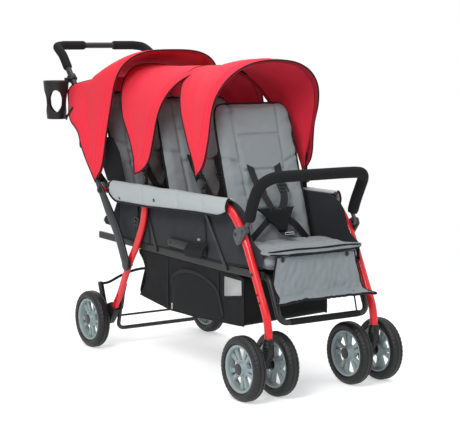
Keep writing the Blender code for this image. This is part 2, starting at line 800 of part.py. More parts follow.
def cup_holder():
    """Make the tapered cup with its side windows and the clamp round the handle tube."""
    x, y = CUP_AXIS
    height = CUP_TOP - CUP_BOTTOM
    bm = bmesh.new()
    profile = [(0.0, CUP_BOTTOM_RADIUS), (height, CUP_TOP_RADIUS), (height, CUP_TOP_RADIUS - CUP_WALL)]
    profile += [(CUP_WALL, CUP_BOTTOM_RADIUS - CUP_WALL)]
    steps = 24
    rings = []
    for z, radius in profile:
        turn = 2 * math.pi / steps
        ring = []
        for i in range(steps):
            angle = turn * i
            ring.append((x + radius * math.cos(angle), y + radius * math.sin(angle), CUP_BOTTOM + z))
        rings.append([bm.verts.new(p) for p in ring])
    for ring, following in zip(rings, rings[1:]):
        for i in range(steps):
            k = (i + 1) % steps
            bm.faces.new((ring[i], ring[k], following[k], following[i]))
    bm.faces.new(rings[0][::-1])
    bm.faces.new(rings[-1])
    cup = new_object("cup_holder", bm, BLACK)
    windows = []
    for angle in (-0.5, 0.5 + math.pi / 2, math.pi + 0.6):
        out = Vector((math.cos(angle), math.sin(angle), 0.0))
        centre = Vector((x, y, CUP_BOTTOM + 0.55 * height))
        route = [centre + out * 0.020, centre + out * 0.060]
        windows.append(swept("window", route, ellipse(0.026, 0.066, 12), BLACK, across=(-out.y, out.x, 0.0)))
    cut(cup, windows)
    low = Vector((-HANDLE_X, *along_slope(CLAMP_START)))
    high = Vector((-HANDLE_X, *along_slope(CLAMP_START + CLAMP_LENGTH)))
    ring = swept("ring", [low, high], circle(HANDLE_TUBE_RADIUS + 0.0055, 14), BLACK)
    mid = 0.5 * (low + high)
    arm_low = (x + 0.030, y - 0.024, mid.z - 0.011)
    arm_high = (mid.x - 0.008, y - 0.008, mid.z + 0.002)
    arm = block("arm", arm_low, arm_high, BLACK)
    cavity_radius = CUP_TOP_RADIUS - CUP_WALL - 0.001
    cavity = disc("cavity", CUP_AXIS, cavity_radius, mid.z - 0.03, CUP_TOP + 0.01, BLACK, "Z", 24)
    cut(arm, [cavity])
    combine(cup, [ring, arm])
    along = (high - low).normalized() * 0.012
    bore_radius = (HANDLE_TUBE_RADIUS + 2 * GAP) / math.cos(math.pi / 8)
    bore = swept("bore", [low - along, high + along], circle(bore_radius, 8), BLACK)
    return cut(cup, [bore])


def make_handle():
    """Make the handle, its grips and the cup holder."""
    handle_bar()
    for side, sign in signs():
        grip(side, sign)
    cup_holder()


# Seats: cushions and backrests are stuffed forms with a crown, drawn-in edges and sewn channels

ACROSS_STOPS = (0.0, 0.45, 0.52, 0.62, 0.90, 1.0)
ALONG_STOPS = (0.0, 0.45, 0.82, 0.95, 1.0)


def stuffed_height(u, v, edge, channel):
    """Return how thick the form is at (u, v), as a share of its full height."""
    away = 1.0 - max(abs(u), abs(v))
    lift = math.sqrt(max(0.0, 1.0 - (1.0 - min(away / edge, 1.0)) ** 2))
    crown = 1.0 - 0.12 * (u * u + v * v) / 2
    groove = channel * math.exp(-(((abs(u) - 0.52) / 0.05) ** 2))
    return lift * (crown - groove)


def stuffed(name, place, half_width, half_length, up, down, material, origin, edge=0.12, channel=0.12):
    """Make a stuffed form; place turns (across, along, above) into world coordinates."""
    bm = bmesh.new()
    across = [-s for s in ACROSS_STOPS[:0:-1]] + list(ACROSS_STOPS)
    along = [-s for s in ALONG_STOPS[:0:-1]] + list(ALONG_STOPS)
    grids = []
    for height, groove in ((up, channel), (-down, 0.0)):
        grid = []
        for v in along:
            row = []
            for u in across:
                size = max(abs(u), abs(v), 0.001)
                pull = size / (abs(u) ** 9 + abs(v) ** 9) ** (1 / 9) if size > 0.5 else 1.0
                above = height * stuffed_height(u, v, edge, groove)
                row.append(bm.verts.new(place(half_width * u * pull, half_length * v * pull, above)))
            grid.append(row)
        grids.append(grid)
    for grid in grids:
        for a, b in zip(grid, grid[1:]):
            for j in range(len(across) - 1):
                bm.faces.new((a[j], a[j + 1], b[j + 1], b[j]))
    return new_object(name, bm, material, origin, angle=50.0)


PANEL_INNER_X = 0.1855
CUSHION_HALF = PANEL_INNER_X - GAP
CUSHION_FRONT = -0.6265
CUSHION_BACK = -0.4370
CUSHION_RISE = 0.15
BACK_LENGTH = 0.5205
CROTCH_Z = 0.4760
BACK_PIVOT_Y = -0.4276


def cushion(name, shift):
    """Make one seat cushion, resting on the seat rails."""
    half_length = (CUSHION_BACK - CUSHION_FRONT) / 2
    middle_y = (CUSHION_BACK + CUSHION_FRONT) / 2 + shift

    def place(across, along, above):
        y = middle_y + along
        floor = rail_height(y) + SEAT_RAIL_DEPTH / 2 + GAP
        waist = floor + 0.024 + 0.3 * CUSHION_RISE * (along + half_length)
        return Vector((across, y, max(waist + above, floor)))

    node = f"seat_cushion_{name}"
    origin = (0.0, middle_y, 0.41)
    sizes = (CUSHION_HALF, half_length, CUSHION_THICKNESS, 0.030)
    return stuffed(node, place, *sizes, GREY, origin, edge=0.20)


def back_frame(shift):
    """Return the pivot of a backrest and its directions up and forward."""
    pivot = Vector((0.0, BACK_PIVOT_Y + shift, rail_height(BACK_PIVOT_Y + shift)))
    up = Vector((0.0, math.sin(BACK_RECLINE), math.cos(BACK_RECLINE)))
    forward = Vector((0.0, -math.cos(BACK_RECLINE), math.sin(BACK_RECLINE)))
    return pivot, up, forward


def backrest(name, shift):
    """Make one backrest, hinged on the cross tube below it."""
    pivot, up, forward = back_frame(shift)
    start = CROSS_TUBE_RADIUS + GAP
    centre = pivot + up * (start + BACK_LENGTH / 2)

    def place(across, along, above):
        return centre + Vector((across, 0.0, 0.0)) + up * along + forward * above

    half = BACK_THICKNESS / 2
    sizes = (BACK_HALF, BACK_LENGTH / 2, half, half)
    return stuffed(f"seat_back_{name}", place, *sizes, GREY, pivot, edge=0.10, channel=0.2)


def harness(name, shift):
    """Make one harness: two shoulder straps, the buckle and the crotch strap."""
    pivot, up, forward = back_frame(shift)
    ribbon = rectangle(STRAP_THICKNESS, STRAP_WIDTH)

    def at(across, high, ahead):
        return pivot + Vector((across, 0.0, 0.0)) + up * high + forward * ahead

    face = BACK_THICKNESS / 2 + GAP + STRAP_THICKNESS / 2
    buckle = at(0.0, 0.150, 0.052)
    pieces = []
    for _, sign in signs():
        points = [at(sign * 0.055, 0.375, face), at(sign * 0.050, 0.310, face + 0.014)]
        points += [at(sign * 0.032, 0.210, 0.060), buckle + Vector((sign * 0.012, 0.0, 0.004))]
        pieces.append(swept("strap", smooth_route(points, 2), ribbon, BLACK_CLOTH, across=forward))
    low = buckle - Vector((0.022, 0.008, 0.016))
    high = buckle + Vector((0.022, 0.008, 0.018))
    pieces.append(block("buckle", low, high, BLACK_CLOTH))
    seat_y = buckle.y - 0.012
    crotch = [buckle, Vector((0.0, seat_y, buckle.z - 0.030))]
    crotch.append(Vector((0.0, seat_y - 0.004, CROTCH_Z + 0.025 * shift)))
    strap = swept(f"harness_{name}", crotch, ribbon, BLACK_CLOTH, pivot, across=(0.0, 1.0, 0.0))
    return combine(strap, pieces)




def make_seats():
    """Make cushion, backrest and harness of each seat, one pitch apart."""
    for i, name in enumerate(SEATS):
        shift = i * SEAT_PITCH
        cushion(name, shift)
        backrest(name, shift)
        harness(name, shift)
        cross_tube(f"cross_tube_{name}", BACK_PIVOT_Y + shift)


# Side cloth: a dark panel inside each rail and a pale pad folded over it

PANEL_OUTER_X = 0.1912
PAD_OUTER_X = 0.2280
PAD_TOP_Z = 0.6000
PAD_WALL = 0.0112
PAD_FRONT_Y = -0.4700
PAD_REAR_Y = 0.2560


def panel_outline():
    """Return the outline of the dark side panel, from its lower front corner round to the wing."""
    lower = [(-0.560, 0.410), (-0.430, 0.412), (-0.271, 0.419)]
    lower += [(-0.096, 0.416), (0.103, 0.398), (0.224, 0.402)]
    rear = [(0.232, 0.470), (0.236, 0.606)]
    wing = [(-0.300, 0.606), (-0.417, 0.612), (-0.480, 0.602), (-0.530, 0.545), (-0.557, 0.470)]
    return lower + rear + wing


def side_panel(side, sign):
    """Make one dark side panel."""
    span = side_span(sign, PANEL_INNER_X, PANEL_OUTER_X)
    return plate(f"side_panel_{side}", panel_outline(), *span, CHARCOAL)


def pad_low_edge(y):
    """Return the height of the pad's piped lower edge: it rises in an arc at both ends."""
    rear = max(0.0, (y - 0.189) / (PAD_REAR_Y - 0.189))
    front = max(0.0, (-0.410 - y) / (-0.410 - PAD_FRONT_Y))
    return 0.527 + 0.010 * min(1.0, max(0.0, -y / 0.30)) + 0.030 * rear**2 + 0.016 * front**2


def side_pad(side, sign):
    """Make one pale pad: its top lies on the rail and its flap hangs outside it."""
    inner_x = FRAME_X - TUBE_RADIUS
    wall_x = PAD_OUTER_X - PAD_WALL
    under = RAIL_Z + TUBE_RADIUS + GAP
    top = PAD_TOP_Z
    stations = [PAD_FRONT_Y, PAD_FRONT_Y + 0.012, -0.410, -0.278, -0.050]
    stations += [0.100, 0.189, 0.230, PAD_REAR_Y - 0.008]
    stations.append(PAD_REAR_Y)
    bm = bmesh.new()
    rings = []
    for i, y in enumerate(stations):
        low = pad_low_edge(y)
        shrink = 0.003 if i in (0, len(stations) - 1) else 0.0
        outline = [
            (inner_x, under),
            (inner_x, top - 0.004 - shrink),
            (inner_x + 0.005, top - shrink),
            (PAD_OUTER_X - 0.010, top - shrink),
            (PAD_OUTER_X - 0.003 - shrink, top - 0.004 - shrink),
            (PAD_OUTER_X - shrink, top - 0.014),
            (PAD_OUTER_X - shrink, low + 0.005 + shrink),
            (PAD_OUTER_X - 0.004, low + shrink),
            (wall_x + 0.003, low + shrink),
            (wall_x, low + 0.005 + shrink),
            (wall_x, under),
        ]
        rings.append([bm.verts.new((sign * x, y, z)) for x, z in outline])
    for ring, following in zip(rings, rings[1:]):
        for j in range(len(ring)):
            k = (j + 1) % len(ring)
            bm.faces.new((ring[j], ring[k], following[k], following[j]))
    bm.faces.new(rings[0][::-1])
    bm.faces.new(rings[-1])
    pad = new_object(f"side_pad_{side}", bm, PALE)
    slots = []
    low_x, high_x = side_span(sign, inner_x - 0.01, FRAME_X - 0.0055 + PLATE + GAP)
    for y, _ in (FRONT_KNOB, MIDDLE_KNOB):
        slots.append(block("slot", (low_x, y - 0.0145, under - 0.01), (high_x, y + 0.0145, top + 0.01), PALE))
    return cut(pad, slots)


def make_side_cloth():
    """Make the dark panels and the pale pads."""
    for side, sign in signs():
        side_panel(side, sign)
        side_pad(side, sign)


# Belly bar: a foam roll on a bent tube, hinged on brackets outside the front legs

BAR_PIVOT = (-0.5540, 0.5050)
BRACKET_MOUNT = (-0.5180, 0.4920)
BAR_X = 0.1840
TONGUE_X = 0.2105
FOAM_RADIUS = 0.018
BRACKET_X = 0.2168
BRACKET_THICKNESS = 0.007


def bar_bracket(side, sign):
    """Make one bracket that carries the belly bar's hinge pin."""
    outline = [(-0.5060, 0.4860), (-0.5250, 0.4580), (-0.5420, 0.4640), (-0.5700, 0.5000), (-0.5620, 0.5200)]
    outline += [(-0.5350, 0.5180), (-0.5120, 0.5060)]
    outer_x = BRACKET_X + BRACKET_THICKNESS
    body = plate(
        f"bar_bracket_{side}", rounded_outline(outline, 0.005, 2), *side_span(sign, BRACKET_X, outer_x), BLACK
    )
    pin_span = side_span(sign, TONGUE_X - 0.007, BRACKET_X + 0.002)
    pin = disc("pin", BAR_PIVOT, PIN_RADIUS, *pin_span, BLACK, steps=PIN_STEPS)
    rivet_span = side_span(sign, outer_x - 0.002, outer_x + 0.0025)
    rivet = disc("rivet", BRACKET_MOUNT, 0.007, *rivet_span, BLACK, steps=PIN_STEPS)
    screw_span = side_span(sign, outer_x - 0.002, outer_x + 0.0020)
    screw = disc("screw", BAR_PIVOT, 0.006, *screw_span, BLACK, steps=PIN_STEPS)
    return combine(body, [pin, rivet, screw])


def belly_bar():
    """Make the belly bar, bored at both hinges."""
    half = [
        (BAR_X, -0.5700, 0.5350),
        (BAR_X, -0.5805, 0.5600),
        (BAR_X, -0.6035, 0.6020),
        (BAR_X - 0.001, -0.6210, 0.6320),
        (BAR_X - 0.012, -0.6340, 0.6530),
        (BAR_X - 0.034, -0.6410, 0.6610),
        (0.0950, -0.6450, 0.6620),
    ]
    middle = (0.0, -0.6450, 0.6620)
    side = smooth_route(half + [middle], 2)
    route = side + [Vector((-p.x, p.y, p.z)) for p in side[-2::-1]]
    origin = (0.0, *BAR_PIVOT)
    bar = swept("belly_bar", route, circle(FOAM_RADIUS, 8), FOAM, origin)
    pieces = []
    for _, sign in signs():
        core = [(TONGUE_X, -0.5540, 0.5050), (TONGUE_X, -0.5600, 0.5180), (BAR_X, -0.5680, 0.5320)]
        core.append((BAR_X, -0.5780, 0.5540))
        route = [Vector((sign * x, y, z)) for x, y, z in core]
        pieces.append(swept("core", rounded_route(route, 0.008, 2), circle(0.006, 6), BLACK))
        span = side_span(sign, TONGUE_X - 0.006, TONGUE_X + 0.006)
        pieces.append(disc("tongue", BAR_PIVOT, 0.011, *span, BLACK, steps=14))
    combine(bar, pieces)
    reach = TONGUE_X + 0.02
    hole = disc("hole", BAR_PIVOT, PIN_RADIUS + BORE_CLEARANCE, -reach, reach, BLACK, steps=PIN_STEPS)
    return cut(bar, [hole])


def make_belly_bar():
    """Make the belly bar and its brackets."""
    belly_bar()
    for side, sign in signs():
        bar_bracket(side, sign)


# Footrest frame with the calf flap that hangs in front of it

FOOTREST_RADIUS = 0.0095
FOOTREST_X = SEAT_RAIL_X - SEAT_RAIL_THICKNESS / 2 - GAP - flat_radius(FOOTREST_RADIUS)
FOOTREST_KNEE = (-0.6200, 0.3640)
FOOTREST_FOOT = (-0.6760, 0.2360)
FLAP_HALF = 0.188
FLAP_FLARE = 0.010
FLAP_TAPER = 0.006
FLAP_THICKNESS = 0.004


def footrest_frame():
    """Make the bent tube that hangs from the front ends of the seat rails."""
    x = FOOTREST_X
    half = [(x, -0.5600, 0.3690), (x, *FOOTREST_KNEE), (x, *FOOTREST_FOOT)]
    route = rounded_route([*half, *[(-a, b, c) for a, b, c in half[::-1]]], 0.028, 4)
    return swept("footrest_frame", route, circle(FOOTREST_RADIUS, 8), STEEL)


def calf_flap():
    """Make the cloth flap that covers the upper half of the footrest frame."""
    run = Vector(FOOTREST_FOOT) - Vector(FOOTREST_KNEE)
    ahead = (flat_radius(FOOTREST_RADIUS) + GAP + FLAP_THICKNESS / 2) * run.length / -run.y

    def before_frame(z):
        return (FOOTREST_KNEE[0] + run.x * (z - FOOTREST_KNEE[1]) / run.y - ahead, z)

    line = [(-0.6315, 0.4280), (-0.6340, 0.3720), before_frame(0.3320), before_frame(0.3000)]
    line += [(-0.6800, 0.2880), (-0.6980, 0.2870)]
    bm = bmesh.new()
    columns = (-1.0, -0.94, -0.6, 0.0, 0.6, 0.94, 1.0)
    grid = []
    for share in columns:
        tip = abs(share) ** 4
        column = []
        for i, (y, z) in enumerate(line):
            down = i / (len(line) - 1)
            flare = FLAP_FLARE * tip if i >= 4 else 0.0
            x = share * (FLAP_HALF - FLAP_TAPER * (1 - down))
            column.append(bm.verts.new((x, y - flare, z - 0.5 * flare)))
        grid.append(column)
    for a, b in zip(grid, grid[1:]):
        for j in range(len(line) - 1):
            bm.faces.new((a[j], b[j], b[j + 1], a[j + 1]))
    flap = new_object("calf_flap", bm, GREY)
    thicken = flap.modifiers.new("Cloth", "SOLIDIFY")
    thicken.thickness = FLAP_THICKNESS
    thicken.offset = 0.0
    thicken.use_even_offset = True
    return flap


def make_footrest():
    """Make the footrest frame and the calf flap."""
    footrest_frame()
    calf_flap()


# Basket under the seats: an open tub that hangs from the seat rails

BASKET_HALF = 0.1812
BASKET_WALL = 0.003
BASKET_FLOOR = 0.1890


def basket():
    """Make the basket with its long open top."""
    top = rail_height(-0.4135) - SEAT_RAIL_DEPTH / 2 - GAP
    rear_top = rail_height(0.0) - SEAT_RAIL_DEPTH / 2 - GAP
    lower = [(-0.6060, 0.2200), (-0.2030, 0.1860), (-0.0800, 0.1860), (0.1200, 0.2110), (0.0920, 0.3420)]
    outer = [*lower, (0.0000, rear_top), (-0.4135, top), (-0.5500, top), (-0.5980, 0.3400)]
    wall = BASKET_WALL
    inner = [(-0.6020, 0.2235), (-0.2030, BASKET_FLOOR), (-0.0800, BASKET_FLOOR)]
    inner += [(0.1160, 0.2140), (0.0880, 0.45), (-0.5940, 0.45)]
    shell = plate("basket", outer, -BASKET_HALF, BASKET_HALF, BLACK_CLOTH)
    cavity = plate("cavity", inner, -BASKET_HALF + wall, BASKET_HALF - wall, BLACK_CLOTH)
    return cut(shell, [cavity])


# Canopies: each front bow turns on its knobs, and the cloth hangs from the bow

ARCH_STEPS = 8


def arch(half_width, straight, height, power):
    """Return half an arch as (across, up) pairs from its foot to its crown."""
    pairs = [(half_width, straight * i / 3) for i in range(3)] if straight > 0 else []
    rise = height - straight
    for i in range(ARCH_STEPS + 1):
        angle = math.pi / 2 * i / ARCH_STEPS
        across = half_width * math.cos(angle) ** (2 / power) if i < ARCH_STEPS else 0.0
        pairs.append((across, straight + rise * math.sin(angle) ** (2 / power)))
    return pairs


def in_plane(pairs, foot, lean):
    """Place (across, up) pairs in a plane through the foot line that leans back by an angle."""
    y, z = foot
    return [Vector((a, y + b * math.sin(lean), z + b * math.cos(lean))) for a, b in pairs]


def canopy_bow(name, knob, foot, lean, straight, height, power):
    """Make one bow: a bent wire with a round hub and knob at each end."""
    half = in_plane(arch(BOW_X, straight, height - BOW_WIRE, power), foot, lean)
    half = [p for p in half if (p - half[0]).length > 0.055]
    low = Vector((BOW_X, knob[0], knob[1]))
    step = low + (half[0] - low) * 0.35
    side = [low, step, *half]
    route = side + [Vector((-p.x, p.y, p.z)) for p in side[-2::-1]]
    origin = (0.0, *knob)
    bow = swept(f"canopy_bow_{name}", route, circle(BOW_WIRE, 6), BLACK, origin)
    hubs = []
    inner = FRAME_X - 0.0055 + PLATE + GAP
    outer = ARM_X - ARM_THICKNESS / 2 - GAP
    for _, sign in signs():
        hubs.append(disc("hub", knob, KNOB_RADIUS, *side_span(sign, inner, outer), BLACK))
    combine(bow, hubs)
    blind = BOW_X + 0.0032 + GAP
    bores = []
    for _, sign in signs():
        span = side_span(sign, inner - 0.01, blind)
        bores.append(disc("bore", knob, PIN_RADIUS + BORE_CLEARANCE, *span, BLACK, steps=PIN_STEPS))
    return cut(bow, bores)


def cloth_between(name, first, second, origin, rows=3):
    """Make a cloth shell between two half arches, mirrored and given its thickness inwards."""
    bm = bmesh.new()
    grid = []
    for i in range(rows + 1):
        share = i / rows
        half = [a.lerp(b, share) for a, b in zip(first, second)]
        line = half + [Vector((-p.x, p.y, p.z)) for p in half[-2::-1]]
        grid.append([bm.verts.new(p) for p in line])
    for a, b in zip(grid, grid[1:]):
        for j in range(len(a) - 1):
            bm.faces.new((a[j], a[j + 1], b[j + 1], b[j]))
    cloth = new_object(name, bm, CORAL, origin)
    if cloth.data.polygons[len(a) // 2].normal.z < 0:
        cloth.data.flip_normals()
    thicken = cloth.modifiers.new("Cloth", "SOLIDIFY")
    thicken.thickness = CANOPY_CLOTH
    thicken.offset = -1.0
    thicken.use_even_offset = False
    return cloth


def resample(points, count, skip=0.0):
    """Return points evenly spaced along a route, leaving out its first stretch."""
    lengths = [0.0]
    for a, b in zip(points, points[1:]):
        lengths.append(lengths[-1] + (b - a).length)
    spaced = []
    for i in range(count):
        target = skip + (lengths[-1] - skip) * i / (count - 1)
        k = max(j for j in range(len(points) - 1) if lengths[j] <= target + 1e-9)
        span = lengths[k + 1] - lengths[k]
        spaced.append(points[k].lerp(points[k + 1], min(1.0, (target - lengths[k]) / span)))
    return spaced


CLOTH_POINTS = 13


def canopy(name, knob, foot, lean, straight, height, power, back_foot, back_lean, back_height):
    """Make one seat's canopy: the bow, and the cloth from the bow back to its rear hem."""
    canopy_bow(name, knob, foot, lean, straight, height, power)
    top = height - 2 * BOW_WIRE - GAP
    front = in_plane(arch(CANOPY_HALF, straight, top, power), foot, lean)
    rear = in_plane(arch(CANOPY_HALF - 0.004, 0.0, back_height, 2.6), back_foot, back_lean)
    first = resample(front, CLOTH_POINTS, 0.045)
    second = resample(rear, CLOTH_POINTS, 0.045)
    return cloth_between(f"canopy_{name}", first, second, (0.0, *knob))


def hood():
    """Make the rear seat's hood: from its bow back over the handle tubes."""
    lean = math.radians(-18)
    canopy_bow("rear", HOOD_PIVOT, HOOD_PIVOT, lean, 0.300, 0.468, 3.0)
    top = 0.468 - 2 * BOW_WIRE - GAP
    front = in_plane(arch(CANOPY_HALF, 0.300, top, 3.0), HOOD_PIVOT, lean)
    x = CANOPY_HALF
    rear = [(x, 0.3620, 0.6440), (x, 0.4100, 0.7150), (x, 0.4520, 0.7780)]
    rear += [(x, 0.4950, 0.8250), (x, 0.5400, 0.8550)]
    rear += [(x, 0.5300, 0.8850), (x, 0.5180, 0.9030), (0.1850, 0.5140, 0.9200), (0.1500, 0.5160, 0.9350)]
    rear += [(0.0900, 0.5200, 0.9440), (0.0, 0.5200, 0.9470)]
    first = resample(front, CLOTH_POINTS, 0.045)
    second = resample([Vector(p) for p in rear], CLOTH_POINTS)
    return cloth_between("canopy_rear", first, second, (0.0, *HOOD_PIVOT))


def make_canopies():
    """Make the three canopies with their bows."""
    lean = math.radians(-18)
    back = math.radians(35)
    foot = (FRONT_KNOB[0] + 0.024, FRONT_KNOB[1])
    canopy("front", FRONT_KNOB, foot, lean, 0.200, 0.408, 2.45, FRONT_KNOB, back, 0.458)
    foot = (MIDDLE_KNOB[0] - 0.008, MIDDLE_KNOB[1])
    back_foot = (MIDDLE_KNOB[0] + 0.024, MIDDLE_KNOB[1])
    canopy("middle", MIDDLE_KNOB, foot, math.radians(-19.5), 0.190, 0.372, 2.45, back_foot, back, 0.440)
    hood()


def make_stroller():
    """Make every part of the stroller."""
    make_main_frame()
    make_rear_frame()
    make_wheels()
    make_casters()
    make_handle()
    make_seats()
    make_side_cloth()
    make_belly_bar()
    make_footrest()
    basket()
    make_canopies()


make_stroller()
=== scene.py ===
"""Looks of a three-seat tandem stroller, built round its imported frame.

Everything is in metres: +Z up, -Y to the front, +X to the rider's left. The photographed side is -X.
"""

from __future__ import annotations

import logging
import math
from dataclasses import dataclass
from enum import Enum
from typing import Callable, Iterable, Sequence

import bmesh
import bpy
from bmesh.types import BMEdge, BMesh, BMVert
from bpy.types import Material, Node, NodeSocket, NodeTree, Object
from mathutils import Matrix, Vector, noise


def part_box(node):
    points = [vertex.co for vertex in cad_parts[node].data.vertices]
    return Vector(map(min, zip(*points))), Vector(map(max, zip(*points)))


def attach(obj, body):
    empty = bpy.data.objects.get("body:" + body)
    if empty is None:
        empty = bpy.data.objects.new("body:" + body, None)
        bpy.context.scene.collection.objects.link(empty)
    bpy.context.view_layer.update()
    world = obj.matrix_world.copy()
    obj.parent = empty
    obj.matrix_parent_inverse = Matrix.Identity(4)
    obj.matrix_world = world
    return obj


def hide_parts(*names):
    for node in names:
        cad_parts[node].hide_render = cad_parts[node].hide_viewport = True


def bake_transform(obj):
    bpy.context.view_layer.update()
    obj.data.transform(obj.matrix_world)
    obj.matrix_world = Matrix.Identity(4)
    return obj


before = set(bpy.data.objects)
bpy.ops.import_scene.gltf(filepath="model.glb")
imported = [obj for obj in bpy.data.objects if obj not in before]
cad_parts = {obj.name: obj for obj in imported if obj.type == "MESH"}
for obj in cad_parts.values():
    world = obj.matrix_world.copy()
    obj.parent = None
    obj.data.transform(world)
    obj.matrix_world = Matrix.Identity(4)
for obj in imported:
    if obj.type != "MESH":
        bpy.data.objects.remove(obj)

LOG = logging.getLogger("stroller")
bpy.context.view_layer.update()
SIDES: tuple[tuple[str, int], ...] = (("left", 1), ("right", -1))
SEATS: tuple[str, ...] = ("front", "middle", "rear")
Pair = tuple[float, float]
Triple = tuple[float, float, float]
Section = Sequence[Pair]
Route = Sequence[Vector]
Surface = Callable[[float, float], Vector]


class Pattern(Enum):
    """The surface pattern that a finish carries."""

    PAINT = "paint"
    MOULDED = "moulded"
    CLOTH = "cloth"
    WEBBING = "webbing"
    RUBBER = "rubber"
    FOAM = "foam"
    METAL = "metal"
    NET = "net"


# Places that several pieces share, as (y, z) where there are two numbers
FRAME_X = 0.204
TUBE_RADIUS = 0.0125
RAIL_Z = 0.575
ARM_X = 0.222
CASTER_Y = -0.6655
FRONT_AXLE_Y = -0.6225
REAR_AXLE_Y = 0.343
AXLE_Z = 0.1
REAR_PIVOT: Pair = (0.0435, 0.546)
HANDLE_PIVOT: Pair = (0.312, 0.56)
HANDLE_BEND: Pair = (0.556, 0.922)
ARM_RUN: Pair = (0.642, 0.767)
FRONT_KNOB: Pair = (-0.3065, 0.628)
MIDDLE_KNOB: Pair = (0.0435, 0.617)
HOOD_PIVOT: Pair = (0.3455, 0.6)
GAP = 0.0003


# Routes and sections


def place_at(x: float, pairs: Iterable[Pair]) -> list[Vector]:
    """Place (y, z) pairs in the upright plane at x.

    Args:
        x: where the plane stands.
        pairs: the (y, z) pairs.

    Returns:
        The points in order.
    """
    return [Vector((x, y, z)) for y, z in pairs]


def mirrored(points: Route) -> list[Vector]:
    """Return a route that runs along the points and back along their mirror images across X."""
    return list(points) + [Vector((-p.x, p.y, p.z)) for p in points[::-1] if abs(p.x) > 1e-6]


def smooth_route(points: Sequence[Sequence[float]], steps: int = 6) -> list[Vector]:
    """Run a smooth curve through points.

    Args:
        points: what the curve passes through.
        steps: how many short runs lie between two points.

    Returns:
        The curve's points.
    """
    points = [Vector(p) for p in points]
    ends = [2 * points[0] - points[1], *points, 2 * points[-1] - points[-2]]
    route: list[Vector] = []
    for before, start, end, after in zip(ends, ends[1:], ends[2:], ends[3:]):
        for step in range(steps):
            t = step / steps
            a = 2 * start
            b = (end - before) * t
            c = (2 * before - 5 * start + 4 * end - after) * t * t
            d = (3 * start - before - 3 * end + after) * t**3
            route.append((a + b + c + d) / 2)
    route.append(points[-1])
    return route


def rounded_route(points: Sequence[Sequence[float]], radius: float, steps: int = 10) -> list[Vector]:
    """Return a line whose corners are arcs.

    Args:
        points: the line's corners.
        radius: of each arc.
        steps: runs in each arc.

    Returns:
        The line's points.
    """
    points = [Vector(p) for p in points]
    route = [points[0]]
    for before, corner, after in zip(points, points[1:], points[2:]):
        into = (corner - before).normalized()
        out = (after - corner).normalized()
        half = into.angle(out) / 2
        if half < 0.01:
            route.append(corner)
            continue
        reach = radius * math.tan(half)
        centre = corner + (out - into).normalized() * (radius / math.cos(half))
        spoke = corner - into * reach - centre
        turn_axis = into.cross(out).normalized()
        for i in range(steps + 1):
            route.append(centre + Matrix.Rotation(2 * half * i / steps, 3, turn_axis) @ spoke)
    route.append(points[-1])
    return route


def smooth_pairs(pairs: Sequence[Pair], steps: int) -> list[Pair]:
    """Run a smooth curve through pairs."""
    return [(p.x, p.y) for p in smooth_route([(a, b, 0.0) for a, b in pairs], steps)]


def smooth_turns(pairs: Sequence[Pair], radius: float) -> list[Pair]:
    """Round the corners of a line of pairs."""
    return [(p.x, p.y) for p in rounded_route([(a, b, 0.0) for a, b in pairs], radius, 6)]


def resample(points: Route, count: int) -> list[Vector]:
    """Space points evenly along a route.

    Args:
        points: the route.
        count: how many points come back.

    Returns:
        The evenly spaced points.
    """
    lengths = [0.0]
    for a, b in zip(points, points[1:]):
        lengths.append(lengths[-1] + (b - a).length)
    spaced = []
    for i in range(count):
        target = lengths[-1] * i / (count - 1)
        k = max(j for j in range(len(points) - 1) if lengths[j] <= target + 1e-9)
        span = max(lengths[k + 1] - lengths[k], 1e-9)
        spaced.append(points[k].lerp(points[k + 1], min(1.0, (target - lengths[k]) / span)))
    return spaced


def round_section(width: float, depth: float | None = None, steps: int = 20) -> list[Pair]:
    """Return an oval section, or a round one where no depth is given.

    Args:
        width: the full width.
        depth: the full depth.
        steps: sides.

    Returns:
        An oval section, or a round one where no depth is given.
    """
    depth = width if depth is None else depth
    turn = 2 * math.pi / steps
    return [(width / 2 * math.cos(turn * i), depth / 2 * math.sin(turn * i)) for i in range(steps)]


def soft_section(width: float, depth: float, power: float = 3.0, steps: int = 24) -> list[Pair]:
    """Return a section between an oval and a box, as flat-oval tubes and straps have.

    Args:
        width: the full width.
        depth: the full depth.
        power: 2 is an oval, more is boxier.
        steps: sides.

    Returns:
        A section between an oval and a box, as flat-oval tubes and straps have.
    """
    pairs = []
    for i in range(steps):
        angle = 2 * math.pi * (i + 0.5) / steps
        c = math.cos(angle)
        s = math.sin(angle)
        u = math.copysign(abs(c) ** (2 / power), c)
        v = math.copysign(abs(s) ** (2 / power), s)
        pairs.append((width / 2 * u, depth / 2 * v))
    return pairs


def frames_along(route: Route, across: Sequence[float]) -> list[Matrix]:
    """Return a frame at each point of a route: X near across, Z along the route.

    Args:
        route: the points in order.
        across: the way that X keeps near to.

    Returns:
        A frame at each point of a route.
    """
    side = Vector(across)
    frames = []
    for i, point in enumerate(route):
        into = (point - route[max(i - 1, 0)]).normalized()
        out = (route[min(i + 1, len(route) - 1)] - point).normalized()
        tangent = (into + out).normalized()
        side = (side - tangent * side.dot(tangent)).normalized()
        up = tangent.cross(side)
        turn = Matrix((side, up, tangent)).transposed().to_4x4()
        frames.append(Matrix.Translation(point) @ turn)
    return frames


# Meshes


def round_edges(bm: BMesh, edges: Iterable[BMEdge], width: float, segments: int = 2) -> None:
    """Bevel edges.

    Args:
        bm: the mesh that grows.
        edges: the edges.
        width: the full width.
        segments: steps in the bevel.
    """
    bmesh.ops.bevel(
        bm, geom=list(edges), offset=width, affect="EDGES", segments=segments, profile=0.5, material=-1
    )


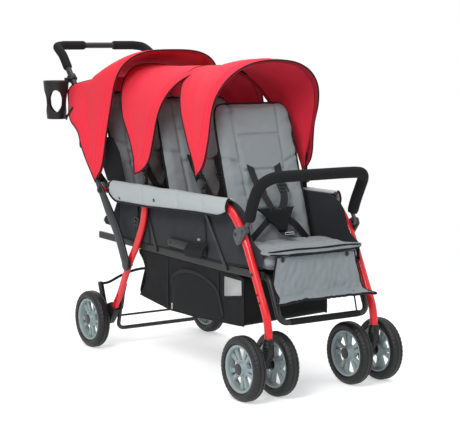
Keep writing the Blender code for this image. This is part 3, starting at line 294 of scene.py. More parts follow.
def block_into(bm: BMesh, place: Matrix, sizes: Triple, rim: float = 0.0, segments: int = 2) -> None:
    """Make a block with rounded edges.

    Args:
        bm: the mesh that grows.
        place: the block's frame.
        sizes: its three lengths.
        rim: the bevel's width.
        segments: steps in the bevel.
    """
    stretched = place @ Matrix.Diagonal((*sizes, 1.0))
    cube = bmesh.ops.create_cube(bm, size=1.0, matrix=stretched)["verts"]
    if rim > 0.0:
        round_edges(bm, {e for v in cube for e in v.link_edges}, rim, segments)


def ripple(a: float, b: float, c: float) -> float:
    """Return a smooth wave between -1 and 1 that is the same each time."""
    return noise.noise(Vector((a, b, c)))


def height_on(edge: Section, y: float) -> float:
    """Return the height of an edge at y, for pairs that run to the rear.

    Args:
        edge: (y, z) pairs.
        y: the place along the stroller.

    Returns:
        The height there, or at the nearer end.
    """
    for (y0, z0), (y1, z1) in zip(edge, edge[1:]):
        if y0 <= y <= y1 and y1 > y0:
            return z0 + (z1 - z0) * (y - y0) / (y1 - y0)
    return edge[0][1] if y < edge[0][0] else edge[-1][1]


def sweep_into(
    bm: BMesh,
    route: Route,
    section: Section,
    across: Sequence[float] = (1.0, 0.0, 0.0),
    sizes: Sequence[float] | None = None,
    closed: bool = False,
) -> None:
    """Extrude a section along a route.

    Args:
        bm: the mesh that grows.
        route: the centre line.
        section: (across, up) pairs of the section.
        across: the way the section's first axis keeps near to.
        sizes: a factor on the section at each point of the route.
        closed: whether the end meets the start.
    """
    route = [Vector(p) for p in route]
    frames = frames_along(route, across)
    if sizes is not None:
        frames = [f @ Matrix.Diagonal((s, s, 1.0, 1.0)) for f, s in zip(frames, sizes)]
    ring = [bm.verts.new((u, v, 0.0)) for u, v in section]
    edges = [bm.edges.new((a, b)) for a, b in zip(ring, ring[1:] + ring[:1])]
    first_edges = edges
    bmesh.ops.transform(bm, matrix=frames[0], verts=ring)
    made = set(ring)
    for before, after in zip(frames, frames[1:]):
        grown = bmesh.ops.extrude_edge_only(bm, edges=edges)["geom"]
        ring = [g for g in grown if isinstance(g, BMVert)]
        edges = [g for g in grown if isinstance(g, BMEdge)]
        bmesh.ops.transform(bm, matrix=after @ before.inverted(), verts=ring)
        made.update(ring)
    if closed:
        bmesh.ops.bridge_loops(bm, edges=list(first_edges) + edges)
    else:
        for loop in (list(first_edges), edges):
            bmesh.ops.contextual_create(bm, geom=loop)
    faces = {f for v in made for f in v.link_faces}
    bmesh.ops.recalc_face_normals(bm, faces=list(faces))


def plate_into(
    bm: BMesh, outline: Section, low: float, high: float, rim: float = 0.0, axis: str = "X"
) -> None:
    """Extrude an outline between two planes and round its rim.

    Args:
        bm: the mesh that grows.
        outline: pairs in the plane across the axis.
        low: where the plate starts on the axis.
        high: where it ends.
        rim: the bevel's width.
        axis: X or Z.
    """
    along = (1, 0, 0) if axis == "X" else (0, 0, 1)
    corners = [(low, a, b) if axis == "X" else (a, b, low) for a, b in outline]
    face = bm.faces.new([bm.verts.new(corner) for corner in corners])
    grown = bmesh.ops.extrude_face_region(bm, geom=[face], use_keep_orig=True)["geom"]
    moved = [g for g in grown if isinstance(g, BMVert)]
    bmesh.ops.translate(bm, verts=moved, vec=Vector(along) * (high - low))
    made = {f for v in moved for f in v.link_faces} | {face}
    bmesh.ops.recalc_face_normals(bm, faces=list(made))
    if rim > 0.0:
        caps = [f for f in made if abs(f.normal.dot(Vector(along))) > 0.9 and len(f.verts) >= 3]
        round_edges(bm, {e for f in caps for e in f.edges}, rim)


def disc_into(
    bm: BMesh,
    centre: Sequence[float],
    radius: float,
    depth: float,
    axis: Sequence[float] = (1.0, 0.0, 0.0),
    rim: float = 0.0,
    top: float | None = None,
    steps: int = 32,
) -> None:
    """Make a short round solid about an axis.

    Args:
        bm: the mesh that grows.
        centre: the solid's middle.
        radius: at the low end of the axis.
        depth: its length along the axis.
        axis: the way it points.
        rim: the bevel's width.
        top: the radius at the far end, where it differs.
        steps: sides.
    """
    turn = Vector(axis).normalized().to_track_quat("Z", "Y").to_matrix().to_4x4()
    made = bmesh.ops.create_cone(
        bm,
        cap_ends=True,
        segments=steps,
        radius1=radius,
        radius2=radius if top is None else top,
        depth=depth,
        matrix=Matrix.Translation(Vector(centre)) @ turn,
    )["verts"]
    if rim > 0.0:
        caps = {f for v in made for f in v.link_faces if len(f.verts) > 4}
        round_edges(bm, {e for f in caps for e in f.edges}, rim, 3)


def dome_into(
    bm: BMesh, centre: Sequence[float], radius: float, height: float, axis: Sequence[float]
) -> None:
    """Make a low dome on a short collar, as rivets and snaps have.

    Args:
        bm: the mesh that grows.
        centre: the middle of its foot.
        radius: its radius.
        height: its height.
        axis: the way it points.
    """
    direction = Vector(axis).normalized()
    turn = direction.to_track_quat("Z", "Y").to_matrix().to_4x4()
    squeeze = Matrix.Diagonal((1.0, 1.0, height / radius, 1.0))
    bmesh.ops.create_uvsphere(
        bm, u_segments=20, v_segments=10, radius=radius,
        matrix=Matrix.Translation(Vector(centre)) @ turn @ squeeze
    )


def turned_into(
    bm: BMesh, profile: Section, centre: Sequence[float], axis: Sequence[float], steps: int = 64
) -> None:
    """Spin a closed profile of (along, radius) pairs about an axis.

    Args:
        bm: the mesh that grows.
        profile: the closed profile.
        centre: where its origin goes.
        axis: the way it points.
        steps: sides.
    """
    verts = [bm.verts.new((radius, 0.0, along)) for along, radius in profile]
    edges = [bm.edges.new((a, b)) for a, b in zip(verts, verts[1:] + verts[:1])]
    before = set(bm.verts)
    bmesh.ops.spin(
        bm,
        geom=verts + edges,
        cent=(0, 0, 0),
        axis=(0, 0, 1),
        angle=2 * math.pi,
        steps=steps,
        use_merge=True,
    )
    made = [v for v in bm.verts if v not in before or v in verts]
    bmesh.ops.recalc_face_normals(bm, faces=list({f for v in made for f in v.link_faces}))
    turn = Vector(axis).normalized().to_track_quat("Z", "Y").to_matrix().to_4x4()
    bmesh.ops.transform(bm, matrix=Matrix.Translation(Vector(centre)) @ turn, verts=made)


def grid_into(
    bm: BMesh, columns: int, rows: int, place: Surface
) -> list[BMVert]:
    """Lay a grid on a surface.

    Args:
        bm: the mesh that grows.
        columns: cells across.
        rows: cells along.
        place: turns (u, v) from -1 to 1 into a point.

    Returns:
        The grid's vertices.
    """
    verts = bmesh.ops.create_grid(bm, x_segments=columns, y_segments=rows, size=1.0)["verts"]
    for vert in verts:
        vert.co = place(vert.co.x, vert.co.y)
    return verts


def piece(
    name: str,
    bm: BMesh,
    material: Material,
    body: str,
    replaces: Sequence[str] = (),
    slot: str = "",
    smooth: float = 40.0,
    more: Sequence[Material] = (),
) -> Object:
    """Turn a mesh into a piece that rides on a body.

    Args:
        name: the piece's name.
        bm: its mesh, freed here.
        material: its first finish.
        body: the body that it rides on, empty for a piece that rides on no body.
        replaces: the nodes that it stands for.
        slot: not used.
        smooth: the angle in degrees under which edges are smooth.
        more: further finishes.

    Returns:
        The new object.
    """
    mesh = bpy.data.meshes.new(name)
    bm.to_mesh(mesh)
    bm.free()
    made = bpy.data.objects.new(name, mesh)
    bpy.context.scene.collection.objects.link(made)
    for finish in (material, *more):
        mesh.materials.append(finish)
    mesh.shade_smooth()
    mesh.set_sharp_from_angle(angle=math.radians(smooth))
    if body:
        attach(made, body)
    if replaces:
        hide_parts(*replaces)
    LOG.info("%s rides on %s with %d faces", name, body or "two bodies", len(mesh.polygons))
    return made


def thicken(made: Object, thickness: float, offset: float = 0.0, inner_slot: int = 0) -> None:
    """Give a sheet its thickness.

    Args:
        made: the piece.
        thickness: the wall's thickness.
        offset: -1, 0 or 1: on which side of the sheet it grows.
        inner_slot: how many material slots on the inner side lies.
    """
    solid = made.modifiers.new("Thickness", "SOLIDIFY")
    solid.thickness = thickness
    solid.offset = offset
    solid.use_even_offset = False
    solid.material_offset = inner_slot


def subdivide(made: Object, levels: int) -> None:
    """Smooth a piece with subdivision.

    Args:
        made: the piece.
        levels: how many times.
    """
    soften = made.modifiers.new("Soften", "SUBSURF")
    soften.levels = levels
    soften.render_levels = levels


# Finishes


class Wiring:
    """Builds shader nodes in one tree with few words."""

    def __init__(self, tree: NodeTree) -> None:
        """Keep the tree."""
        self.tree = tree

    def node(self, kind: str, **values: object) -> Node:
        """Add a node and set its properties, or its inputs where the name is one.

        Args:
            kind: the node's type without the leading words.
            values: property or input names with their values; spaces are written as _.

        Returns:
            The node.
        """
        made = self.tree.nodes.new("ShaderNode" + kind)
        for key, value in values.items():
            if hasattr(made, key):
                setattr(made, key, value)
            else:
                made.inputs[key.replace("_", " ")].default_value = value
        return made

    def link(self, source: NodeSocket, target: NodeSocket) -> None:
        """Join an output to an input."""
        self.tree.links.new(source, target)

    def sum(self, kind: str, a: object, b: object, clamp: bool = False) -> NodeSocket:
        """Join two values with a Math node.

        Args:
            kind: the node's operation.
            a: a socket or number.
            b: a socket or number.
            clamp: whether the result stays between 0 and 1.

        Returns:
            The result's socket.
        """
        made = self.node("Math", operation=kind, use_clamp=clamp)
        for index, value in enumerate((a, b)):
            if isinstance(value, (int, float)):
                made.inputs[index].default_value = value
            else:
                self.link(value, made.inputs[index])
        return made.outputs[0]

    def ramp(self, value: NodeSocket, low: float, high: float, first: float, last: float) -> object:
        """Map a value from one span onto another and clamp it.

        Args:
            value: the socket that is mapped.
            low: start of the first span.
            high: end of the first span.
            first: what the low end becomes.
            last: what the high end becomes.

        Returns:
            The result's socket.
        """
        made = self.node("MapRange", clamp=True)
        self.link(value, made.inputs["Value"])
        for key, number in zip(("From Min", "From Max", "To Min", "To Max"), (low, high, first, last)):
            made.inputs[key].default_value = number
        return made.outputs[0]


def new_group(name: str, inputs: dict[str, float], outputs: Sequence[str]) -> tuple[Wiring, dict, dict]:
    """Start a shader group.

    Args:
        name: the group's name.
        inputs: its value inputs and their starting values.
        outputs: its value outputs.

    Returns:
        The wiring, the input sockets and the output sockets, by name.
    """
    tree = bpy.data.node_groups.new(name, "ShaderNodeTree")
    tree.interface.new_socket("Place", in_out="INPUT", socket_type="NodeSocketVector")
    for key, value in inputs.items():
        made = tree.interface.new_socket(key, in_out="INPUT", socket_type="NodeSocketFloat")
        made.default_value = value
    for key in outputs:
        tree.interface.new_socket(key, in_out="OUTPUT", socket_type="NodeSocketFloat")
    wiring = Wiring(tree)
    into = tree.nodes.new("NodeGroupInput")
    out = tree.nodes.new("NodeGroupOutput")
    return wiring, {s.name: s for s in into.outputs}, {s.name: s for s in out.inputs}


def noise_at(
    wiring: Wiring, place: NodeSocket, scale: object, detail: float = 2.0
) -> NodeSocket:
    """Return the value of a noise at a place, with its scale a number or a socket.

    Args:
        wiring: the tree's wiring.
        place: where it is read.
        scale: a number or a socket.
        detail: how fine it is.

    Returns:
        The value of a noise at a place, with its scale a number or a socket.
    """
    made = wiring.node("TexNoise", Detail=detail, Roughness=0.55)
    wiring.link(place, made.inputs["Vector"])
    if isinstance(scale, (int, float)):
        made.inputs["Scale"].default_value = scale
    else:
        wiring.link(scale, made.inputs["Scale"])
    return made.outputs[0]


def weave_group() -> NodeTree:
    """Build the crossed threads of woven cloth: Threads is the relief, Shade the mottling plus painted shade,
    darker in the thread grooves and lighter on the crowns.

    Returns:
        The group.
    """
    wiring, into, out = new_group("woven threads", {"Thread count": 700.0, "Slub": 0.3}, ("Threads", "Shade"))
    split = wiring.node("SeparateXYZ")
    wiring.link(into["Place"], split.inputs[0])
    drift = noise_at(wiring, into["Place"], 55.0, 3.0)
    lanes = []
    for axis in range(3):
        turn = wiring.sum("MULTIPLY", split.outputs[axis], into["Thread count"])
        bent = wiring.sum("ADD", turn, wiring.sum("MULTIPLY", drift, 1.5))
        lanes.append(wiring.sum("SINE", wiring.sum("MULTIPLY", bent, 6.2832), 0.0))
    crossed = wiring.sum("MULTIPLY", lanes[0], lanes[2])
    crossed = wiring.sum("ADD", crossed, wiring.sum("MULTIPLY", lanes[1], lanes[2]))
    relief = wiring.ramp(crossed, -1.6, 1.6, 0.0, 1.0)
    fibre = noise_at(wiring, into["Place"], 1500.0, 1.0)
    relief = wiring.sum("ADD", wiring.sum("MULTIPLY", relief, 0.7), wiring.sum("MULTIPLY", fibre, 0.3))
    wiring.link(relief, out["Threads"])
    slub = noise_at(wiring, into["Place"], 14.0, 4.0)
    shade = wiring.sum("MULTIPLY", wiring.sum("SUBTRACT", slub, 0.5), into["Slub"])
    # Painted shade: the thread relief darkens the colour in the grooves and lightens the crowns.
    fine = wiring.sum("MULTIPLY", wiring.sum("SUBTRACT", relief, 0.5), 0.5)
    wiring.link(wiring.sum("ADD", shade, fine), out["Shade"])
    return wiring.tree


def grain_group() -> NodeTree:
    """Build the fine grain of moulded plastic and rubber: Relief is its height, Shade its mottling.

    Returns:
        The group.
    """
    wiring, into, out = new_group("moulded grain", {"Grain count": 900.0, "Mottle": 0.2}, ("Relief", "Shade"))
    cells = wiring.node("TexVoronoi", feature="SMOOTH_F1")
    wiring.link(into["Place"], cells.inputs["Vector"])
    wiring.link(into["Grain count"], cells.inputs["Scale"])
    wiring.link(cells.outputs["Distance"], out["Relief"])
    cloud = noise_at(wiring, into["Place"], 22.0, 5.0)
    wiring.link(wiring.sum("MULTIPLY", wiring.sum("SUBTRACT", cloud, 0.5), into["Mottle"]), out["Shade"])
    return wiring.tree


def wear_group() -> NodeTree:
    """Build use marks: Scuffs are thin scratches, Dust gathers near the ground.

    Returns:
        The group.
    """
    wiring, into, out = new_group("use marks", {"Amount": 0.5, "Dust height": 0.12}, ("Scuffs", "Dust"))
    stretch = wiring.node("Mapping", vector_type="POINT", Scale=(60.0, 420.0, 95.0))
    wiring.link(into["Place"], stretch.inputs["Vector"])
    streaks = noise_at(wiring, stretch.outputs[0], 1.0, 6.0)
    patches = noise_at(wiring, into["Place"], 9.0, 2.0)
    scuffs = wiring.sum(
        "MULTIPLY", wiring.ramp(streaks, 0.62, 0.72, 0.0, 1.0), wiring.ramp(patches, 0.45, 0.65, 0.0, 1.0)
    )
    wiring.link(wiring.sum("MULTIPLY", scuffs, into["Amount"]), out["Scuffs"])
    split = wiring.node("SeparateXYZ")
    wiring.link(into["Place"], split.inputs[0])
    low = wiring.sum("DIVIDE", split.outputs[2], into["Dust height"])
    near = wiring.ramp(low, 0.0, 1.0, 1.0, 0.0)
    specks = wiring.ramp(noise_at(wiring, into["Place"], 130.0, 5.0), 0.42, 0.75, 0.0, 1.0)
    dust = wiring.sum("MULTIPLY", wiring.sum("MULTIPLY", near, specks), into["Amount"])
    wiring.link(dust, out["Dust"])
    return wiring.tree


@dataclass(frozen=True)
class Finish:
    """One finish: its colour, how it shines and the pattern on it."""

    name: str
    colour: Triple
    pattern: Pattern
    roughness: float = 0.5
    metallic: float = 0.0
    coat: float = 0.0
    sheen: float = 0.0
    specular: float = 0.5
    count: float = 700.0
    relief: float = 0.0002
    mottle: float = 0.25
    marks: float = 0.3
    dust: float = 0.12

    def build(self) -> Material:
        """Build the material from the shared groups.

        Returns:
            The material.
        """
        made = bpy.data.materials.new(self.name)
        made.use_nodes = True
        made.diffuse_color = (*self.colour, 1.0)
        tree = made.node_tree
        tree.nodes.clear()
        wiring = Wiring(tree)
        place = wiring.node("TexCoord").outputs["Object"]
        shader = wiring.node(
            "BsdfPrincipled",
            Metallic=self.metallic,
            Coat_Weight=self.coat,
            Coat_Roughness=0.12,
            Specular_IOR_Level=self.specular,
            Sheen_Weight=self.sheen,
            Sheen_Roughness=0.6,
        )
        woven = self.pattern in (Pattern.CLOTH, Pattern.WEBBING, Pattern.NET)
        surface = wiring.node(
            "Group", node_tree=bpy.data.node_groups["woven threads" if woven else "moulded grain"]
        )
        wiring.link(place, surface.inputs["Place"])
        surface.inputs[1].default_value = self.count
        surface.inputs[2].default_value = self.mottle
        use = wiring.node("Group", node_tree=bpy.data.node_groups["use marks"])
        wiring.link(place, use.inputs["Place"])
        use.inputs["Amount"].default_value = self.marks
        use.inputs["Dust height"].default_value = self.dust
        # The colour follows Shade, which on woven finishes carries painted shade in the thread grooves, and
        # the lighter scuffs.
        shade = wiring.sum(
            "ADD", surface.outputs["Shade"], wiring.sum("MULTIPLY", use.outputs["Scuffs"], 0.35)
        )
        factor = wiring.sum("ADD", shade, 0.5, clamp=True)
        colours = wiring.node("ValToRGB")
        colours.color_ramp.elements[0].color = (*[c * 0.72 for c in self.colour], 1.0)
        colours.color_ramp.elements[1].color = (*[min(1.0, c * 1.28 + 0.003) for c in self.colour], 1.0)
        middle = colours.color_ramp.elements.new(0.5)
        middle.color = (*self.colour, 1.0)
        wiring.link(factor, colours.inputs[0])
        dusty = wiring.node("Mix", data_type="RGBA")
        wiring.link(use.outputs["Dust"], dusty.inputs["Factor"])
        wiring.link(colours.outputs[0], dusty.inputs["A"])
        dusty.inputs["B"].default_value = (0.36, 0.34, 0.31, 1.0)
        wiring.link(dusty.outputs["Result"], shader.inputs["Base Color"])
        rough = wiring.sum("MULTIPLY", surface.outputs["Shade"], 0.4)
        rough = wiring.sum("ADD", rough, wiring.sum("MULTIPLY", use.outputs["Scuffs"], 0.3))
        rough = wiring.sum("ADD", rough, wiring.sum("MULTIPLY", use.outputs["Dust"], 0.4))
        wiring.link(wiring.sum("ADD", rough, self.roughness, clamp=True), shader.inputs["Roughness"])
        bump = wiring.node("Bump", Strength=1.0, Distance=self.relief)
        wiring.link(surface.outputs[0], bump.inputs["Height"])
        wiring.link(bump.outputs[0], shader.inputs["Normal"])
        wiring.link(shader.outputs[0], wiring.node("OutputMaterial").inputs["Surface"])
        return made


def cloth(
    name: str, colour: Triple, count: float = 620.0, mottle: float = 0.16, marks: float = 0.12
) -> Material:
    """Build a matt woven cloth.

    Args:
        name: the finish's name.
        colour: the thread's colour.
        count: threads in a metre.
        mottle: how much the colour wanders.
        marks: how strongly use shows.

    Returns:
        The material.
    """
    made = Finish(
        name, colour, Pattern.CLOTH, 0.88, sheen=0.04, specular=0.14, count=count, mottle=mottle, marks=marks
    )
    return made.build()


def moulded(
    name: str,
    colour: Triple,
    roughness: float = 0.42,
    specular: float = 0.35,
    mottle: float = 0.2,
    marks: float = 0.3,
) -> Material:
    """Build a moulded plastic with a fine grain.

    Args:
        name: the finish's name.
        colour: its colour.
        roughness: of its surface.
        specular: how strongly it reflects.
        mottle: how much the colour wanders.
        marks: how strongly use shows.

    Returns:
        The material.
    """
    made = Finish(
        name, colour, Pattern.MOULDED, roughness, specular=specular, relief=0.00007, mottle=mottle,
        marks=marks
    )
    return made.build()


class Finishes:
    """Every finish of the stroller, built once."""

    def __init__(self) -> None:
        """Build the shared groups and the finishes."""
        weave_group()
        grain_group()
        wear_group()
        paint = Pattern.PAINT
        self.red = Finish(
            "red powder coat", (0.66, 0.012, 0.018), paint, 0.3, coat=0.22, specular=0.35, relief=0.00004,
            mottle=0.08, marks=0.25
        ).build()
        self.steel = Finish(
            "dark coated steel", (0.012, 0.0125, 0.013), paint, 0.4, specular=0.35, relief=0.00005, mottle=0.2
        ).build()
        self.rail = Finish(
            "brown coated rail", (0.016, 0.016, 0.0155), paint, 0.44, specular=0.3, relief=0.00005,
            mottle=0.25
        ).build()
        self.bright = Finish(
            "bright steel", (0.55, 0.55, 0.56), Pattern.METAL, 0.28, metallic=1.0, relief=0.00003, mottle=0.2
        ).build()
        self.black = moulded("black moulded plastic", (0.009, 0.0095, 0.01), 0.42, 0.3)
        self.arm = moulded("charcoal handle arm", (0.016, 0.018, 0.02), 0.4, 0.35)
        self.cap = moulded("black hub cap", (0.009, 0.009, 0.01), 0.32, 0.4)
        self.rim = moulded("blue grey moulded rim", (0.24, 0.3, 0.305), 0.4, 0.45, 0.1, 0.5)
        self.bracket = moulded("grey bar bracket", (0.06, 0.066, 0.07), 0.42)
        self.tyre = Finish(
            "tyre rubber",
            (0.0085, 0.0088, 0.0092),
            Pattern.RUBBER,
            0.5,
            specular=0.35,
            count=500.0,
            relief=0.00015,
            marks=0.3,
            dust=0.018,
        ).build()
        self.foam = Finish(
            "foam sleeve",
            (0.014, 0.014, 0.015),
            Pattern.FOAM,
            0.9,
            specular=0.12,
            count=1300.0,
            relief=0.00035,
            mottle=0.5,
        ).build()
        self.seat = cloth("grey seat cloth", (0.255, 0.28, 0.292))
        self.flap = cloth("grey flap cloth", (0.25, 0.28, 0.295))
        self.pad = cloth("pale pad cloth", (0.4, 0.43, 0.435), mottle=0.12)
        self.charcoal = cloth("charcoal side cloth", (0.026, 0.029, 0.033), 560.0, 0.3)
        self.dark = cloth("black woven cloth", (0.0062, 0.0066, 0.0074), 560.0, 0.35)
        self.piping = cloth("black piping", (0.009, 0.009, 0.01), 900.0, 0.2)
        self.coral = cloth("coral canopy cloth", (0.8, 0.03, 0.056), 680.0, 0.08, 0.1)
        self.lining = cloth("deep red canopy lining", (0.72, 0.026, 0.055), 680.0, 0.12)
        self.band = cloth("dark red seam band", (0.33, 0.006, 0.02), 680.0, 0.12)
        self.webbing = Finish(
            "black harness webbing",
            (0.012, 0.012, 0.013),
            Pattern.WEBBING,
            0.66,
            specular=0.25,
            count=340.0,
            relief=0.00035,
        ).build()
        self.net = Finish(
            "pale window net", (0.42, 0.43, 0.42), Pattern.NET, 0.9, specular=0.1, count=260.0,
            relief=0.0005, mottle=0.6
        ).build()
        self.zip = Finish(
            "zip tape and teeth", (0.008, 0.008, 0.009), Pattern.WEBBING, 0.6, specular=0.25, count=420.0,
            relief=0.0005
        ).build()
        self.tag = Finish(
            "pale zip tag", (0.6, 0.57, 0.44), Pattern.WEBBING, 0.6, count=500.0, relief=0.0001
        ).build()


@dataclass
class Assembly:
    """A sub-assembly of the stroller, dressed from the one set of finishes."""

    finishes: Finishes


# Wheels and casters


def polar(radius: float, angle: float) -> Pair:
    """Return the pair at a radius and an angle."""
    return (radius * math.cos(angle), radius * math.sin(angle))


def soft_corners(pairs: Sequence[Pair], radii: Sequence[float], steps: int = 5) -> list[Pair]:
    """Round an outline's corners.

    Args:
        pairs: the outline's corners.
        radii: each corner's radius, 0 to keep it sharp.
        steps: runs in each corner.

    Returns:
        The rounded outline.
    """
    flat = [Vector((a, b, 0.0)) for a, b in pairs]
    out: list[Pair] = []
    for i, corner in enumerate(flat):
        if radii[i] <= 0.0:
            out.append((corner.x, corner.y))
            continue
        arc = rounded_route((flat[i - 1], corner, flat[(i + 1) % len(flat)]), radii[i], steps)[1:-1]
        out += [(p.x, p.y) for p in arc]
    return out


@dataclass
class Wheels(Assembly):
    """Six equal wheels: a spoked rim with its caps inside a solid tyre."""

    radius: float = 0.1
    width: float = 0.042
    rim_radius: float = 0.0738
    rim_width: float = 0.034
    band: float = 0.0095
    web: float = 0.0105
    hub_radius: float = 0.0225
    cap_radius: float = 0.0185
    pairs: int = 5
    notches: int = 44

    def places(self) -> list[tuple[str, Vector, float]]:
        """Return every wheel's name, centre and the turn of its spokes.

        Returns:
            Every wheel's name, centre and the turn of its spokes.
        """
        found = []
        for side, sign in SIDES:
            found.append((f"rear_{side}", Vector((sign * 0.245, REAR_AXLE_Y, self.radius)), 0.3))
            for post, step in (("outer", 1), ("inner", -1)):
                centre = Vector((sign * (FRAME_X + step * 0.061), FRONT_AXLE_Y, self.radius))
                found.append((f"front_{side}_{post}", centre, 0.16 if post == "outer" else 0.75))
        return found

    def spoke_pair(self, angle: float) -> list[Pair]:
        """Return the outline of two spokes with the slot between them.

        Args:
            angle: in radians.

        Returns:
            The outline of two spokes with the slot between them.
        """
        ring = self.rim_radius - self.band + 0.001
        root = self.hub_radius - 0.003
        sector = math.pi / self.pairs
        half_root = sector - 0.0045 / (self.hub_radius + 0.005)
        half_ring = sector - 0.0195 / ring
        slot_low = 0.0021 / 0.031
        slot_high = 0.0046 / ring
        corners = [
            polar(root, angle - half_root),
            polar(self.hub_radius + 0.006, angle - half_root * 0.82),
            polar(ring - 0.006, angle - half_ring),
            polar(ring + 0.003, angle - half_ring - 0.11),
            polar(ring + 0.003, angle - slot_high - 0.02),
            polar(ring - 0.004, angle - slot_high),
            polar(0.033, angle - slot_low),
            polar(0.0305, angle),
            polar(0.033, angle + slot_low),
            polar(ring - 0.004, angle + slot_high),
            polar(ring + 0.003, angle + slot_high + 0.02),
            polar(ring + 0.003, angle + half_ring + 0.11),
            polar(ring - 0.006, angle + half_ring),
            polar(self.hub_radius + 0.006, angle + half_root * 0.82),
            polar(root, angle + half_root),
        ]
        radii = [0.0, 0.01, 0.009, 0.0, 0.0, 0.002, 0.002, 0.001, 0.002, 0.002, 0.0, 0.0, 0.009, 0.01, 0.0]
        return soft_corners(corners, radii)

    def rim(self) -> BMesh:
        """Build the rim about the origin: a lipped band, the spokes and the hub.

        Returns:
            The mesh.
        """
        bm = bmesh.new()
        half = self.rim_width / 2
        outer = self.rim_radius
        inner = outer - self.band
        side = [(half - 0.004, outer), (half - 0.0008, outer - 0.0004), (half, outer - 0.0016)]
        side += [(half, inner + 0.0042), (half - 0.0012, inner + 0.0022), (half - 0.005, inner + 0.0006)]
        side.append((half - 0.01, inner))
        profile = side + [(-along, radius) for along, radius in side[::-1]]
        turned_into(bm, profile, (0, 0, 0), (1, 0, 0), 72)
        for i in range(self.pairs):
            angle = 2 * math.pi * (i + 0.5) / self.pairs
            plate_into(bm, self.spoke_pair(angle), -self.web / 2, self.web / 2, 0.0012)
        reach = self.width / 2 - 0.002
        hub = [(reach - 0.0015, 0.0045), (reach, 0.006), (reach, self.hub_radius - 0.0042)]
        hub += [(reach - 0.0012, self.hub_radius - 0.0028), (self.web / 2 + 0.003, self.hub_radius - 0.0008)]
        hub += [
            (self.web / 2 + 0.0005, self.hub_radius + 0.0012),
            (self.web / 2 - 0.0005, self.hub_radius + 0.005)
        ]
        profile = hub + [(-along, radius) for along, radius in hub[::-1]]
        turned_into(bm, profile, (0, 0, 0), (1, 0, 0), 48)
        return bm

    def tyre(self) -> BMesh:
        """Build the tyre about the origin, with rounded shoulders, two grooves and shoulder notches.

        Returns:
            The mesh.
        """
        bm = bmesh.new()
        half = self.width / 2
        outer = self.radius
        inner = self.rim_radius + 0.0002
        side = [(0.012, inner), (half - 0.0035, inner + 0.001), (half - 0.0008, inner + 0.003)]
        side += [(half, inner + 0.007), (half - 0.0002, outer - 0.012), (half - 0.0016, outer - 0.0078)]
        side += [
            (half - 0.0042, outer - 0.004), (half - 0.0072, outer - 0.0018), (half - 0.0105, outer - 0.0006)
        ]
        side += [
            (0.0088, outer), (0.008, outer), (0.0074, outer - 0.0016), (0.006, outer - 0.0016),
            (0.0054, outer)
        ]
        side.append((0.001, outer))
        profile = side + [(-along, radius) for along, radius in side[::-1]]
        steps = 4 * self.notches
        turned_into(bm, profile, (0, 0, 0), (1, 0, 0), steps)
        for vert in bm.verts:
            radius = math.hypot(vert.co.y, vert.co.z)
            step = round(math.atan2(vert.co.z, vert.co.y) / (2 * math.pi) * steps) % 4
            if abs(vert.co.x) > 0.01 and radius > outer - 0.0085 and step == 0:
                scale = (radius - 0.0017) / radius
                vert.co.y *= scale
                vert.co.z *= scale
        return bm

    def build(self) -> None:
        """Build all six wheels from one rim, one tyre and one cap."""
        rim = self.rim()
        tyre = self.tyre()
        for name, centre, turn in self.places():
            body = "rear_wheel" + name[4:] if name.startswith("rear") else "front_wheel" + name[5:]
            spin = Matrix.Translation(centre) @ Matrix.Rotation(turn, 4, "X")
            for source, kind, finish, slot in (
                (rim, "rim", self.finishes.rim, "grey_plastic"),
                (tyre, "tyre", self.finishes.tyre, "tyre"),
            ):
                bm = source.copy()
                bmesh.ops.transform(bm, matrix=spin, verts=bm.verts)
                piece(f"{kind}_look_{name}", bm, finish, body, [f"{kind}_{name}"], slot)
            bm = bmesh.new()
            for way in (-1, 1):
                face = centre + Vector((way * (self.width / 2 - 0.0032), 0, 0))
                disc_into(bm, face, self.cap_radius, 0.006, (way, 0, 0), 0.0018, self.cap_radius - 0.0012, 36)
                disc_into(
                    bm, face + Vector((way * 0.0028, 0, 0)), 0.0048, 0.0014, (way, 0, 0), 0.0005, steps=24
                )
            piece(f"hub_cap_{name}", bm, self.finishes.cap, body, (), "black_plastic")
        rim.free()
        tyre.free()


